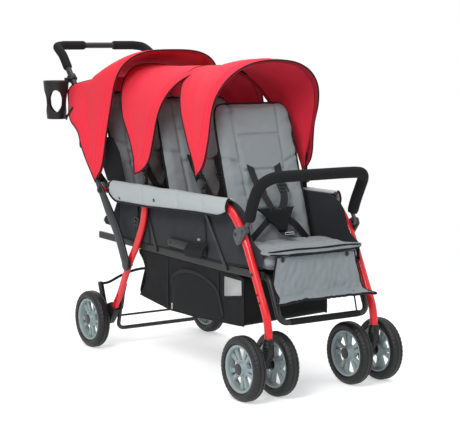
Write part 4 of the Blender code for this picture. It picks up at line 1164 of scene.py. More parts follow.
@dataclass
class Casters(Assembly):
    """The collars on the front legs and the forks that trail below them."""

    x: float = FRAME_X
    y: float = CASTER_Y
    axle_y: float = FRONT_AXLE_Y
    axle_z: float = AXLE_Z
    top: float = 0.164
    collar_top: float = 0.19

    def collar(self, side: str, sign: int) -> None:
        """Build one collar: an upright drum with a flared lip, and the sleeve of the leg.

        Args:
            side: left or right.
            sign: 1 on the left, -1 on the right.
        """
        bm = bmesh.new()
        height = self.collar_top - self.top - GAP
        profile = [(0.0, 0.0), (0.0, 0.0172), (0.0015, 0.0185), (0.0045, 0.0188), (0.006, 0.0175)]
        profile += [
            (0.0075, 0.017), (height - 0.004, 0.016), (height - 0.001, 0.014), (height, 0.011),
            (height, 0.0)
        ]
        rings = [(a, max(r, 0.0005)) for a, r in profile]
        turned_into(bm, rings, (sign * self.x, self.y, self.top + GAP), (0, 0, 1), 48)
        route = [
            Vector((sign * self.x, -0.6672 + 0.05 * rise, 0.184 + rise))
            for rise in (0.0, 0.002, 0.005, 0.0062, 0.007)
        ]
        sweep_into(bm, route, round_section(0.033, steps=36), sizes=(0.93, 1.0, 1.0, 0.985, 0.93))
        web = [(-0.6855, 0.17), (-0.683, 0.182), (-0.668, 0.188), (-0.65, 0.182), (-0.649, 0.17)]
        radii = [0.003, 0.006, 0.008, 0.006, 0.003]
        plate_into(bm, soft_corners(web, radii), sign * self.x - 0.0085, sign * self.x + 0.0085, 0.0018)
        piece(
            f"collar_{side}", bm, self.finishes.black, "chassis", [f"caster_collar_{side}"], "black_plastic"
        )

    def fork(self, side: str, sign: int) -> None:
        """Build one fork: round cap, trailing arm, axle boss and axle.

        Args:
            side: left or right.
            sign: 1 on the left, -1 on the right.
        """
        bm = bmesh.new()
        x = sign * self.x
        profile = [
            (0.0, 0.0005), (0.0, 0.0135), (0.002, 0.0165), (0.01, 0.0182), (0.012, 0.0175), (0.0124, 0.0005)
        ]
        turned_into(bm, profile, (x, self.y, self.top - 0.0124), (0, 0, 1), 48)
        y = self.y
        corners = [
            (y - 0.0155, self.top - 0.003),
            (y - 0.0175, self.top - 0.024),
            (self.axle_y - 0.0185, self.axle_z - 0.01),
            (self.axle_y - 0.004, self.axle_z - 0.0185),
            (self.axle_y + 0.015, self.axle_z - 0.01),
            (self.axle_y + 0.0155, self.axle_z + 0.012),
            (y + 0.023, self.top - 0.014),
            (y + 0.016, self.top - 0.003),
        ]
        outline = soft_corners(corners, [0.002, 0.012, 0.01, 0.008, 0.008, 0.01, 0.01, 0.002], 6)
        plate_into(bm, outline, x - 0.0128, x + 0.0128, 0.0035)
        rib = soft_corners(
            [(y - 0.008, self.top - 0.016), (self.axle_y - 0.01, self.axle_z + 0.006),
             (self.axle_y + 0.006, self.axle_z + 0.01), (y + 0.01, self.top - 0.016)],
            [0.003, 0.004, 0.004, 0.003],
        )
        plate_into(bm, rib, x - 0.014, x + 0.014, 0.001)
        centre = (x, self.axle_y, self.axle_z)
        disc_into(bm, centre, 0.0125, 0.0785, (1, 0, 0), 0.001, steps=40)
        disc_into(bm, centre, 0.004, 0.162, (1, 0, 0), steps=20)
        disc_into(bm, (x, self.y, 0.172), 0.0058, 0.024, (0, 0, 1), steps=20)
        piece(
            f"fork_{side}", bm, self.finishes.black, f"caster_{side}", [f"caster_fork_{side}"],
            "black_plastic"
        )

    def build(self) -> None:
        """Build both collars and both forks."""
        for side, sign in SIDES:
            self.collar(side, sign)
            self.fork(side, sign)


# Frame


def rail_height(y: float) -> float:
    """Return the height of the seat rails' middle at a place along the stroller."""
    return 0.372 + max(0.0, y + 0.4135) * 0.025


@dataclass
class MainFrame(Assembly):
    """Front legs that run back as armrest rails, seat rails, struts and cross tubes."""

    x: float = FRAME_X
    tube: float = TUBE_RADIUS
    rail_z: float = RAIL_Z
    rail_end: float = 0.29
    seat_x: float = 0.1835
    tab: float = 0.003
    knobs: tuple[Pair, ...] = (FRONT_KNOB, MIDDLE_KNOB)

    def leg_route(self, x: float) -> list[Vector]:
        """Return the centre line of a front leg and its rail.

        Args:
            x: where it stands across.

        Returns:
            The centre line of a front leg and its rail.
        """
        start = [(-0.6672, 0.185), (-0.665, 0.215), (-0.658, 0.248), (-0.644, 0.28), (-0.6232, 0.321)]
        bend = [(-0.5995, 0.369), (-0.551, 0.463), (-0.51, 0.52)]
        rail = [(-0.4615, 0.561), (-0.405, self.rail_z)]
        return smooth_route(place_at(x, start + bend + rail), 6) + place_at(x, [(self.rail_end, self.rail_z)])

    def front_leg(self, side: str, sign: int) -> None:
        """Build one front leg with its canopy tabs, handle bracket and pivot pins.

        Args:
            side: left or right.
            sign: 1 on the left, -1 on the right.
        """
        bm = bmesh.new()
        x = sign * self.x
        sweep_into(bm, self.leg_route(x), round_section(2 * self.tube, steps=28))
        low = sign * (self.x - 0.0055)
        high = low + sign * self.tab
        tabs = bmesh.new()
        for y, z in self.knobs:
            arc = [polar(0.01, math.pi * i / 10) for i in range(11)]
            outline = [(y - 0.016, self.rail_z + 0.006), (y + 0.016, self.rail_z + 0.006)]
            outline += [(y + a, z + b) for a, b in arc]
            plate_into(tabs, outline, min(low, high), max(low, high), 0.0005)
        corners = [
            (0.258, 0.585), (0.258, 0.566), (0.304, 0.547), (0.322, 0.549), (0.328, 0.562), (0.357, 0.594)
        ]
        corners += [(0.357, 0.607), (0.346, 0.611), (0.334, 0.606), (0.3, 0.586)]
        radii = [0.002, 0.003, 0.006, 0.008, 0.006, 0.006, 0.008, 0.008, 0.006, 0.01]
        plate_into(tabs, soft_corners(corners, radii), min(low, high), max(low, high), 0.0005)
        end = place_at(x, [(y, self.rail_z) for y in (0.248, 0.25, self.rail_end, self.rail_end + 0.0012)])
        sweep_into(tabs, end, round_section(2 * self.tube + 0.0012, steps=28), sizes=(0.97, 1.0, 1.0, 0.95))
        piece(f"frame_tabs_{side}", tabs, self.finishes.black, "chassis", (), "black_plastic")
        for y, z in (*self.knobs, HOOD_PIVOT):
            disc_into(bm, (sign * 0.2055, y, z), 0.004, 0.011, (1, 0, 0), steps=18)
        disc_into(bm, (sign * 0.209, *HANDLE_PIVOT), 0.01, 0.01, (1, 0, 0), 0.0006)
        disc_into(bm, (sign * 0.217, *HANDLE_PIVOT), 0.0059, 0.028, (1, 0, 0), steps=20)
        cheek = [
            (0.0275, 0.578), (0.032, 0.54), (0.038, 0.5355), (0.049, 0.5355), (0.055, 0.54), (0.0595, 0.578)
        ]
        for inner in (0.1917, 0.2127):
            plate_into(bm, cheek, sign * (inner + 0.0017) - 0.0017, sign * (inner + 0.0017) + 0.0017, 0.0006)
        disc_into(bm, (x, *REAR_PIVOT), 0.0039, 0.0235, (1, 0, 0), steps=18)
        piece(f"front_leg_tube_{side}", bm, self.finishes.red, "chassis", [f"front_leg_{side}"], "red_paint")

    def rivets(self, side: str, sign: int) -> None:
        """Build the rivets on one side of the frame and the plug in the rail's end.

        Args:
            side: left or right.
            sign: 1 on the left, -1 on the right.
        """
        bm = bmesh.new()
        out = (sign, 0, 0)
        skin = sign * (self.x + self.tube)
        for y, z, size in ((-0.5955, 0.3765, 0.0062), (-0.6245, 0.319, 0.0042), (-0.636, 0.296, 0.0042)):
            dome_into(bm, (skin - sign * 0.0004, y, z), size, 0.0022, out)
        for y, z in (REAR_PIVOT, (0.245, RAIL_Z)):
            dome_into(bm, (skin - sign * 0.0004, y, z), 0.005, 0.0022, out)
        for y, z in ((-0.285, 0.566), (0.079, 0.566)):
            dome_into(bm, (sign * (self.x - self.tube - 0.0006), y, z - 0.004), 0.0042, 0.0018, (-sign, 0, 0))
        disc_into(bm, (sign * 0.231, *HANDLE_PIVOT), 0.0105, 0.0036, (sign, 0, 0), 0.0012)
        disc_into(bm, (sign * 0.233, *HANDLE_PIVOT), 0.005, 0.0022, (sign, 0, 0), 0.0007)
        disc_into(bm, (sign * self.x, self.rail_end + 0.001, self.rail_z), 0.0123, 0.004, (0, 1, 0), 0.0012)
        piece(f"frame_rivets_{side}", bm, self.finishes.black, "chassis", (), "black_plastic")

    def seat_rail(self, side: str, sign: int) -> None:
        """Build one seat rail with its two diagonal struts and bosses.

        Args:
            side: left or right.
            sign: 1 on the left, -1 on the right.
        """
        bm = bmesh.new()
        x = sign * self.seat_x
        route = place_at(x, [(y, rail_height(y)) for y in (-0.608, -0.4135, 0.387)])
        sweep_into(bm, route, soft_section(0.0119, 0.0238, 7.0, 24))
        inner = self.x - self.tube
        for foot_y, head_y in ((-0.008, 0.079), (-0.425, -0.285)):
            foot_z = rail_height(foot_y)
            head_z = self.rail_z - 0.0085
            run = Vector((head_y - foot_y, head_z - foot_z)).normalized()
            wide = Vector((run.y, -run.x)) * 0.0068
            foot = Vector((foot_y, foot_z)) - run * 0.006
            head = Vector((head_y, head_z)) + run * 0.003
            corners = [foot - wide, foot + wide, head + wide, head - wide]
            outline = soft_corners([(p.x, p.y) for p in corners], [0.0066] * 4)
            low = sign * (inner + 0.0015)
            plate_into(bm, outline, low - 0.0015, low + 0.0015, 0.0006)
            middle = sign * (self.seat_x + inner + 0.002) / 2
            disc_into(bm, (middle, foot_y, foot_z), 0.006, 0.0105, (1, 0, 0), steps=24)
            dome_into(bm, (sign * (inner + 0.0028), foot_y, foot_z), 0.0052, 0.002, (sign, 0, 0))
        boss = sign * (self.seat_x + inner) / 2
        disc_into(bm, (boss, -0.5925, rail_height(-0.5925)), 0.008, 0.0076, (1, 0, 0), 0.0004)
        piece(
            f"seat_rail_tube_{side}", bm, self.finishes.rail, "chassis", [f"seat_rail_{side}"], "dark_steel"
        )

    def cross_tube(self, name: str, y: float) -> None:
        """Build one round tube between the seat rails with its end flanges.

        Args:
            name: front, middle or rear.
            y: where it lies along the stroller.
        """
        bm = bmesh.new()
        z = rail_height(y)
        disc_into(bm, (0, y, z), 0.0079, 2 * 0.177, (1, 0, 0), steps=28)
        for sign in (-1, 1):
            disc_into(bm, (sign * 0.1745, y, z), 0.01, 0.004, (1, 0, 0), 0.001, steps=28)
        piece(
            f"cross_tube_look_{name}", bm, self.finishes.steel, "chassis", [f"cross_tube_{name}"],
            "dark_steel"
        )

    def build(self) -> None:
        """Build both sides and the cross tubes."""
        for side, sign in SIDES:
            self.front_leg(side, sign)
            self.rivets(side, sign)
            self.seat_rail(side, sign)
        for name in SEATS:
            low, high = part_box(f"cross_tube_{name}")
            self.cross_tube(name, (low[1] + high[1]) / 2)


@dataclass
class RearFrame(Assembly):
    """Rear legs, axle housings, axle, U bar and foot brake."""

    x: float = FRAME_X
    axle_y: float = REAR_AXLE_Y
    axle_z: float = AXLE_Z

    def leg(self, side: str, sign: int) -> None:
        """Build one flat-oval rear leg with its pivot eye and low rivets.

        Args:
            side: left or right.
            sign: 1 on the left, -1 on the right.
        """
        bm = bmesh.new()
        x = sign * self.x
        points = [(0.2585, 0.146), (0.238, 0.174), (0.2175, 0.202), (0.1475, 0.323), (0.1025, 0.385)]
        points += [(0.066, 0.45), (0.048, 0.505), REAR_PIVOT]
        sweep_into(bm, smooth_route(place_at(x, points), 6), soft_section(0.016, 0.028, 2.6, 32))
        disc_into(bm, (x, *REAR_PIVOT), 0.0118, 0.0156, (1, 0, 0), 0.0012)
        piece(f"rear_leg_tube_{side}", bm, self.finishes.red, "rear_frame", [f"rear_leg_{side}"], "red_paint")
        studs = bmesh.new()
        for y, z in ((0.2335, 0.179), (0.2215, 0.1985)):
            dome_into(studs, (sign * (self.x + 0.0078), y, z), 0.0046, 0.0022, (sign, 0, 0))
        catch = soft_corners([(0.156, 0.333), (0.138, 0.313), (0.15, 0.305), (0.17, 0.327)], [0.004] * 4)
        plate_into(studs, catch, x - 0.0085, x + 0.0085, 0.0015)
        piece(f"rear_leg_rivets_{side}", studs, self.finishes.black, "rear_frame", (), "black_plastic")

    def housing(self, side: str, sign: int) -> None:
        """Build one moulded axle housing: a shell with a raised rim and a hub.

        Args:
            side: left or right.
            sign: 1 on the left, -1 on the right.
        """
        bm = bmesh.new()
        y = self.axle_y
        z = self.axle_z
        corners = [(0.2352, 0.1439), (0.25, 0.12), (0.276, 0.09), (y - 0.012, z - 0.024)]
        corners += [(y + 0.018, z - 0.016), (y + 0.016, z + 0.018), (0.298, 0.156), (0.2676, 0.1675)]
        radii = [0.004, 0.012, 0.02, 0.014, 0.012, 0.012, 0.016, 0.004]
        low = min(sign * (self.x - 0.0108), sign * (self.x + 0.0138))
        plate_into(bm, soft_corners(corners, radii), low, low + 0.0246, 0.0028)
        inset = [
            (0.252, 0.136), (0.279, 0.101), (y - 0.016, z - 0.012), (y - 0.008, z + 0.012), (0.288, 0.145)
        ]
        skin = sign * (self.x + 0.0138)
        plate_into(bm, soft_corners(inset, [0.006] * 5), skin - 0.0012, skin + 0.0012, 0.0009)
        disc_into(bm, (sign * 0.2075, y, z), 0.016, 0.0325, (1, 0, 0), 0.0012)
        piece(
            f"axle_housing_look_{side}", bm, self.finishes.black, "rear_frame", [f"axle_housing_{side}"],
            "black_plastic"
        )

    def bars(self) -> None:
        """Build the axle, the U bar and the brake with its bowed bar."""
        axle = bmesh.new()
        disc_into(axle, (0, self.axle_y, self.axle_z), 0.0039, 0.528, (1, 0, 0), 0.0004, steps=24)
        piece("rear_axle_rod", axle, self.finishes.steel, "rear_frame", ["rear_axle"], "bright_steel")
        bm = bmesh.new()
        x = self.x - 0.008 - GAP - 0.0065
        side = [Vector((x, 0.213, 0.224)), Vector((x, 0.228, 0.195)), Vector((x - 0.0207, 0.295, 0.065))]
        route = rounded_route(mirrored(side), 0.03, 8)
        sweep_into(bm, route, round_section(0.0138, steps=20))
        for sign in (-1, 1):
            ends = soft_corners(
                [(0.205, 0.236), (0.226, 0.193), (0.235, 0.1975), (0.2165, 0.24)], [0.004] * 4
            )
            plate_into(bm, ends, sign * (self.x - 0.0116) - 0.003, sign * (self.x - 0.0116) + 0.003, 0.001)
            sleeve = [
                Vector((sign * (x - a), b, c)) for a, b,
                c in ((0.0, 0.209, 0.24), (0.0, 0.224, 0.206), (0.0035, 0.236, 0.178), (0.008, 0.252, 0.148))
            ]
            sweep_into(bm, smooth_route(sleeve, 6), soft_section(0.0135, 0.0215, 3.0, 20))
        piece("u_bar_tube", bm, self.finishes.steel, "rear_frame", ["rear_u_bar"], "dark_steel")
        brake = bmesh.new()
        arch = [(0.1842, 0.39, 0.214), (0.15, 0.39, 0.216), (0.1, 0.388, 0.236), (0.05, 0.386, 0.25)]
        arch.append((0.0, 0.385, 0.254))
        route = smooth_route(mirrored([Vector(p) for p in arch]), 5)
        sweep_into(brake, route, round_section(0.01, steps=16), (0.0, 1.0, 0.0))
        lever = soft_corners(
            [(0.331, 0.088), (0.355, 0.088), (0.402, 0.222), (0.378, 0.222)], [0.01, 0.01, 0.008, 0.008]
        )
        for sign in (-1, 1):
            middle = sign * (self.x - 0.0193)
            plate_into(brake, lever, middle - 0.0058, middle + 0.0058, 0.0016)
            rib = soft_corners([(0.34, 0.11), (0.352, 0.11), (0.392, 0.206), (0.384, 0.206)], [0.003] * 4)
            plate_into(brake, rib, middle - 0.0066, middle + 0.0066, 0.0006)
        piece("brake_lever", brake, self.finishes.black, "foot_brake", ["brake_bar"], "black_plastic")

    def build(self) -> None:
        """Build both sides and the bars between them."""
        for side, sign in SIDES:
            self.leg(side, sign)
            self.housing(side, sign)
        self.bars()


# Handle


def arm_end(distance: float) -> Pair:
    """Return (y, z) on the straight upper part of the handle arm, from the handle pivot."""
    return (HANDLE_PIVOT[0] + ARM_RUN[0] * distance, HANDLE_PIVOT[1] + ARM_RUN[1] * distance)


def along_slope(distance: float) -> Pair:
    """Return (y, z) on the straight upper run of the handle tube, from its bend."""
    slope = math.radians(50.0)
    return (HANDLE_BEND[0] + distance * math.cos(slope), HANDLE_BEND[1] + distance * math.sin(slope))


@dataclass
class Handle(Assembly):
    """The handle: two flat arms, a bent tube with a crossbar, foam grips and a cup holder."""

    arm_x: float = ARM_X
    tube_x: float = 0.19
    tube: float = 0.022
    grip: float = 0.033
    cup_x: float = -0.246
    cup_y: float = 0.591
    cup_low: float = 0.796
    cup_high: float = 0.934

    def tube_corners(self) -> list[Vector]:
        """Return the tube's corners on the left, from the arm to the middle of the crossbar.

        Returns:
            The tube's corners on the left, from the arm to the middle of the crossbar.
        """
        pairs = [arm_end(0.186), arm_end(0.206)]
        corners = [Vector((self.arm_x, *p)) for p in pairs]
        corners += [Vector((self.tube_x, 0.482, 0.776)), Vector((self.tube_x, 0.535, 0.882))]
        corners += [Vector((self.tube_x, *along_slope(d))) for d in (0.0, 0.05, 0.13)]
        corners += [Vector((self.tube_x - 0.002, 0.672, 1.042)), Vector((0.18, 0.7, 1.055))]
        corners.append(Vector((0.148, 0.713, 1.06)))
        return corners

    def tube_piece(self) -> None:
        """Build the bent tube."""
        bm = bmesh.new()
        side = smooth_route(self.tube_corners(), 6)
        middle = [Vector((0.065, 0.7135, 1.06)), Vector((0.0, 0.7135, 1.06))]
        sweep_into(bm, mirrored(side + middle), round_section(self.tube * 0.99, steps=28))
        piece("handle_tube", bm, self.finishes.steel, "handle", ["handle_bar"], "dark_steel")

    def arms(self) -> None:
        """Build the two flat arms with their round lower ends and rivets."""
        for side, sign in SIDES:
            bm = bmesh.new()
            low_part = [(0.14, 0.315), (0.195, 0.415), (0.254, 0.488), HANDLE_PIVOT]
            points = place_at(sign * self.arm_x, low_part + [arm_end(0.1), arm_end(0.193)])
            section = soft_section(0.0146, 0.041, 3.2, 32)
            route = smooth_route(points, 6)
            sizes = [1.0 - 0.34 * min(1.0, max(0.0, i / len(route) - 0.4) / 0.25) for i in range(len(route))]
            sweep_into(bm, route, section, sizes=sizes)
            x = sign * self.arm_x
            disc_into(bm, (x, 0.1405, 0.316), 0.0204, 0.0144, (1, 0, 0), 0.003, steps=36)
            end = Vector((x, *arm_end(0.196)))
            up = Vector((0, *ARM_RUN)).normalized()
            disc_into(bm, end, 0.0146, 0.013, up, 0.003, 0.0128, steps=36)
            piece(f"handle_arm_{side}", bm, self.finishes.arm, "handle", (), "black_plastic")
            studs = bmesh.new()
            skin = x + sign * 0.0072
            dome_into(studs, (skin, 0.1545, 0.3375), 0.0052, 0.0022, (sign, 0, 0))
            disc_into(studs, (skin, *arm_end(0.15)), 0.005, 0.003, (sign, 0, 0), 0.001)
            disc_into(studs, (skin, *HANDLE_PIVOT), 0.012, 0.003, (sign, 0, 0), 0.001)
            piece(f"handle_studs_{side}", studs, self.finishes.cap, "handle", (), "black_plastic")

    def grips(self) -> None:
        """Build the foam grips that wrap the corners of the handle."""
        for side, sign in SIDES:
            bm = bmesh.new()
            low = Vector((self.tube_x, *along_slope(0.0725)))
            upper = self.tube_corners()[6:]
            around = smooth_route([low, *upper], 8) + [Vector((0.0615, 0.7135, 1.06))]
            route = resample([Vector((sign * p.x, p.y, p.z)) for p in around], 64)
            sizes = [
                1.0 - 0.12 * max(0.0, 1 - i / 1.2) - 0.12 * max(0.0, 1 - (63 - i) / 1.2)
                for i in range(64)
            ]
            sweep_into(bm, route, round_section(self.grip * 0.99, steps=36), (0.0, 1.0, -0.8), sizes)
            made = piece(f"grip_foam_{side}", bm, self.finishes.foam, "handle", [f"grip_{side}"], "foam")

    def cup(self) -> None:
        """Build the cup holder: a tapered cup with four oval windows, a lip and the clamp."""
        bm = bmesh.new()
        height = self.cup_high - self.cup_low
        columns = 96
        rows = 40
        windows = (-2.155, 2.8, 0.986, -0.34)

        def radius_at(z: float) -> float:
            """Return the cup's outer radius at a height above its floor."""
            return 0.033 + (0.0455 - 0.033) * z / height

        grid = bmesh.ops.create_grid(bm, x_segments=columns, y_segments=rows, size=1.0)["verts"]
        for vert in grid:
            angle = math.pi * vert.co.x
            z = 0.002 + (vert.co.y + 1) / 2 * (height - 0.004)
            radius = radius_at(z) - 0.001
            vert.co = Vector((radius * math.cos(angle), radius * math.sin(angle), z))
        bmesh.ops.remove_doubles(bm, verts=bm.verts, dist=0.0001)
        holes = []
        for face in bm.faces:
            middle = face.calc_center_median()
            angle = math.atan2(middle.y, middle.x)
            for window in windows:
                off = (angle - window + math.pi) % (2 * math.pi) - math.pi
                across = off * 0.039 / 0.0235
                along = (middle.z - 0.47 * height) / 0.039
                if abs(across) ** 1.9 + abs(along) ** 1.9 < 1.0:
                    holes.append(face)
        bmesh.ops.delete(bm, geom=holes, context="FACES")
        rim = [e for e in bm.edges if e.is_boundary and 0.01 < e.verts[0].co.z < height - 0.01]
        around = list({v for e in rim for v in e.verts})
        for _ in range(4):
            bmesh.ops.smooth_vert(
                bm, verts=around, factor=0.5, use_axis_x=True, use_axis_y=True, use_axis_z=True
            )
        for vert in around:
            flat = math.hypot(vert.co.x, vert.co.y)
            wanted = radius_at(vert.co.z) - 0.001
            vert.co.x *= wanted / flat
            vert.co.y *= wanted / flat
        bmesh.ops.recalc_face_normals(bm, faces=bm.faces)
        bmesh.ops.solidify(bm, geom=bm.faces[:], thickness=-0.0021)
        bmesh.ops.recalc_face_normals(bm, faces=bm.faces)
        disc_into(bm, (0, 0, 0.002), radius_at(0) - 0.0004, 0.004, (0, 0, 1), 0.0012, steps=64)
        brim = radius_at(height) - 0.0018
        turns = [2 * math.pi * i / 72 for i in range(72)]
        lip = [Vector((brim * math.cos(a), brim * math.sin(a), height - 0.0022)) for a in turns]
        sweep_into(bm, lip, round_section(0.0056, steps=12), (0, 0, 1), closed=True)
        bmesh.ops.translate(bm, verts=bm.verts, vec=(self.cup_x, self.cup_y, self.cup_low))
        low = Vector((-self.tube_x, *along_slope(0.016)))
        high = Vector((-self.tube_x, *along_slope(0.038)))
        axis = (high - low).normalized()
        ring = [
            (0.0, 0.0118), (0.0, 0.0152), (0.0012, 0.0164), (0.0208, 0.0164), (0.022, 0.0152),
            (0.022, 0.0118)
        ]
        turned_into(bm, ring, low, axis, 48)
        middle = (low + high) / 2
        arm = soft_corners([(-0.219, 0.566), (-0.199, 0.568), (-0.197, 0.584), (-0.216, 0.587)], [0.003] * 4)
        plate_into(bm, arm, middle.z - 0.012, middle.z + 0.002, 0.0012, "Z")
        screw = Vector((-0.173, middle.y, middle.z))
        disc_into(bm, screw, 0.0048, 0.004, (1, 0, 0), 0.0008, steps=20)
        made = piece(
            "cup_holder_look", bm, self.finishes.black, "handle", ["cup_holder"], "black_plastic", 50.0
        )
        LOG.info("%s has %d windows", made.name, len(windows))

    def build(self) -> None:
        """Build the whole handle."""
        self.tube_piece()
        self.arms()
        self.grips()
        self.cup()


# Canopies


def arch(half_width: float, straight: float, height: float, power: float, steps: int = 26) -> list[Pair]:
    """Return half an arch as (across, up) pairs from its foot to its crown.

    Args:
        half_width: at the foot.
        straight: the length of the upright part.
        height: of the crown.
        power: how square the shoulder is; 2 is an ellipse.
        steps: runs in the curved part.

    Returns:
        The pairs.
    """
    pairs = [(half_width, straight * i / 8) for i in range(8)] if straight > 0 else []
    rise = height - straight
    for i in range(steps + 1):
        angle = math.pi / 2 * i / steps
        across = half_width * math.cos(angle) ** (2 / power) if i < steps else 0.0
        pairs.append((across, straight + rise * math.sin(angle) ** (2 / power)))
    return pairs


def in_plane(pairs: Iterable[Pair], foot: Pair, lean: float) -> list[Vector]:
    """Place (across, up) pairs in a plane through the foot line that leans back by an angle in degrees."""
    turn = math.radians(lean)
    return [Vector((a, foot[0] + b * math.sin(turn), foot[1] + b * math.cos(turn))) for a, b in pairs]


@dataclass(frozen=True)
class CanopySizes:
    """What sets one canopy: its knob, its front bow and its rear hem."""

    name: str
    knob: Pair
    foot: Pair
    lean: float
    straight: float
    height: float
    power: float
    tip: tuple[Pair, ...]
    back_foot: Pair = (0.0, 0.0)
    back_lean: float = 35.0
    back_height: float = 0.0
    back_tip: tuple[Pair, ...] = ()
    flare: float = 0.0
    swell: float = 0.01


@dataclass
class Canopies(Assembly):
    """Three canopies, each a curved sheet between its bow and its rear hem."""

    bow_x: float = 0.208
    wire: float = 0.004
    cloth_x: float = 0.214
    cloth: float = 0.0015
    piping: float = 0.0023
    ahead: float = 0.01
    join: float = 0.1
    heart_z: float = 0.62
    handle_out: float = 0.2335
    handle_rear_out: float = 0.2345
    tube_out: float = 0.205
    columns: int = 128
    rows: int = 44

    def sizes(self) -> list[CanopySizes]:
        """Return what sets each canopy, front to rear.

        Returns:
            What sets each canopy, front to rear.
        """
        return [
            CanopySizes(
                name="front",
                knob=FRONT_KNOB,
                foot=(-0.2825, 0.628),
                lean=-18.0,
                straight=0.2,
                height=0.408,
                power=2.45,
                tip=((-0.2814, 0.6486), (-0.308, 0.67), (-0.333, 0.703)),
                back_foot=FRONT_KNOB,
                back_height=0.448,
                back_tip=((-0.2814, 0.6486), (-0.256, 0.705), (-0.226, 0.762)),
                flare=0.017,
            ),
            CanopySizes(
                name="middle",
                knob=MIDDLE_KNOB,
                foot=(0.0355, 0.617),
                lean=-19.5,
                straight=0.19,
                height=0.386,
                power=2.45,
                tip=((0.0962, 0.6301), (0.048, 0.647), (0.002, 0.684)),
                back_foot=(0.0675, 0.617),
                back_height=0.462,
                back_tip=((0.0962, 0.6301), (0.11, 0.688), (0.133, 0.745)),
                flare=0.003,
            ),
            CanopySizes(
                name="rear",
                knob=HOOD_PIVOT,
                foot=HOOD_PIVOT,
                lean=-18.0,
                straight=0.3,
                height=0.468,
                power=3.0,
                tip=((0.3301, 0.5861), (0.296, 0.645), (0.286, 0.709)),
                swell=0.015,
            ),
        ]

    def front_line(self, size: CanopySizes) -> list[Vector]:
        """Return the left half of the cloth's front edge, from its tip to the crown.

        Args:
            size: what sets this canopy.

        Returns:
            The left half of the cloth's front edge, from its tip to the crown.
        """
        half = in_plane(
            arch(self.cloth_x, size.straight, size.height + 0.0012, size.power), size.foot, size.lean
        )
        low = size.foot[1]
        kept = []
        for point in half:
            rise = point.z - low
            if rise < self.join + 0.02:
                continue
            point.y -= self.ahead + size.flare * max(0.0, min(1.0, (0.27 - rise) / 0.12))
            kept.append(point)
        out = self.handle_out if size.name == "rear" else self.cloth_x
        steps = len(size.tip)
        tip = [Vector((out + (self.cloth_x - out) * i / steps, y, z)) for i, (y, z) in enumerate(size.tip)]
        return resample(smooth_route([*tip, *kept], 3), self.columns // 2 + 1)

    def rear_line(self, size: CanopySizes) -> list[Vector]:
        """Return the left half of the cloth's rear edge, from its tip to the crown.

        Args:
            size: what sets this canopy.

        Returns:
            The left half of the cloth's rear edge, from its tip to the crown.
        """
        count = self.columns // 2 + 1
        if size.name != "rear":
            half = in_plane(
                arch(self.cloth_x - 0.006, 0.0, size.back_height, 2.6), size.back_foot, size.back_lean
            )
            kept = [p for p in half if p.z > size.back_foot[1] + 0.185]
            tip = place_at(self.cloth_x - 0.004, size.back_tip)
            tip[0].x = self.cloth_x
            return resample(smooth_route([*tip, *kept], 3), count)
        points = [(self.handle_rear_out, y, z) for y, z in ((0.3301, 0.5861), (0.39, 0.654), (0.43, 0.708))]
        points += [(0.233, 0.453, 0.7549), (0.226, 0.496, 0.785), (0.215, 0.545, 0.8146)]
        points += [(0.2095, 0.564, 0.85), (0.2075, 0.5727, 0.888), (0.2055, 0.556, 0.913)]
        points += [(0.197, 0.53, 0.923), (0.15, 0.518, 0.935), (0.09, 0.52, 0.944), (0.0, 0.52, 0.947)]
        return resample(smooth_route(points, 4), count)

    def sheet_points(self, size: CanopySizes) -> Surface:
        """Return the cloth's surface as a function of (u, v): u across, v from the front edge to the rear.

        Args:
            size: what sets this canopy.

        Returns:
            The cloth's surface as a function of (u, v).
        """
        front = self.front_line(size)
        rear = self.rear_line(size)
        half = self.columns // 2
        seed = 3.7 * SEATS.index(size.name)

        def edge(line: Route, u: float) -> Vector:
            """Return the point of an edge at u.

            Args:
                line: the edge's points.
                u: from -1 to 1 across.

            Returns:
                The point of an edge at u.
            """
            place = (1 - abs(u)) * half
            k = min(int(place), half - 1)
            point = line[k].lerp(line[k + 1], place - k)
            return Vector((math.copysign(point.x, u) if u else 0.0, point.y, point.z))

        def surface(u: float, v: float) -> Vector:
            """Return the point of the cloth at (u, v).

            Args:
                u: from -1 to 1 across.
                v: from -1 at the front edge to 1 at the rear.

            Returns:
                The point of the cloth at (u, v).
            """
            t = (v + 1) / 2
            a = edge(front, u)
            b = edge(rear, u)
            point = a.lerp(b, t)
            inward = Vector((-point.x, 0.0, self.heart_z - point.z)).normalized()
            belly = 4 * t * (1 - t)
            width = (b - a).length
            crown = 1.0 - 0.65 * abs(u) ** 3
            front_swell = math.sin(math.pi * min(1.0, t / 0.62) ** 0.75)
            point -= inward * (size.swell * front_swell * crown * min(1.0, width / 0.12))
            if size.name == "rear" and t > 0.55:
                point += inward * (0.01 * math.sin(math.pi * (t - 0.55) / 0.45) * (1.0 - u * u))
            if size.name == "front" and u > 0 and t < 0.6:
                rise = (point.z - 0.8) / 0.08
                point.y += 0.024 * math.exp(-rise * rise) * (1 - t / 0.6)
            fold = ripple(u * 2.3 + seed, t * 2.2, seed) * 0.006
            fold += ripple(u * 8.0 - seed, t * 3.0, 2 * seed) * 0.003
            fold += ripple(u * 21.0 + seed, t * 9.0, seed) * 0.0012
            point += inward * (abs(fold) * min(1.0, 2.2 * belly))
            if size.name == "rear":
                reach = self.clear_of_handle(point.y, point.z)
                point.x = math.copysign(max(abs(point.x), reach), u) if abs(u) > 0.3 else point.x
            return point

        return surface

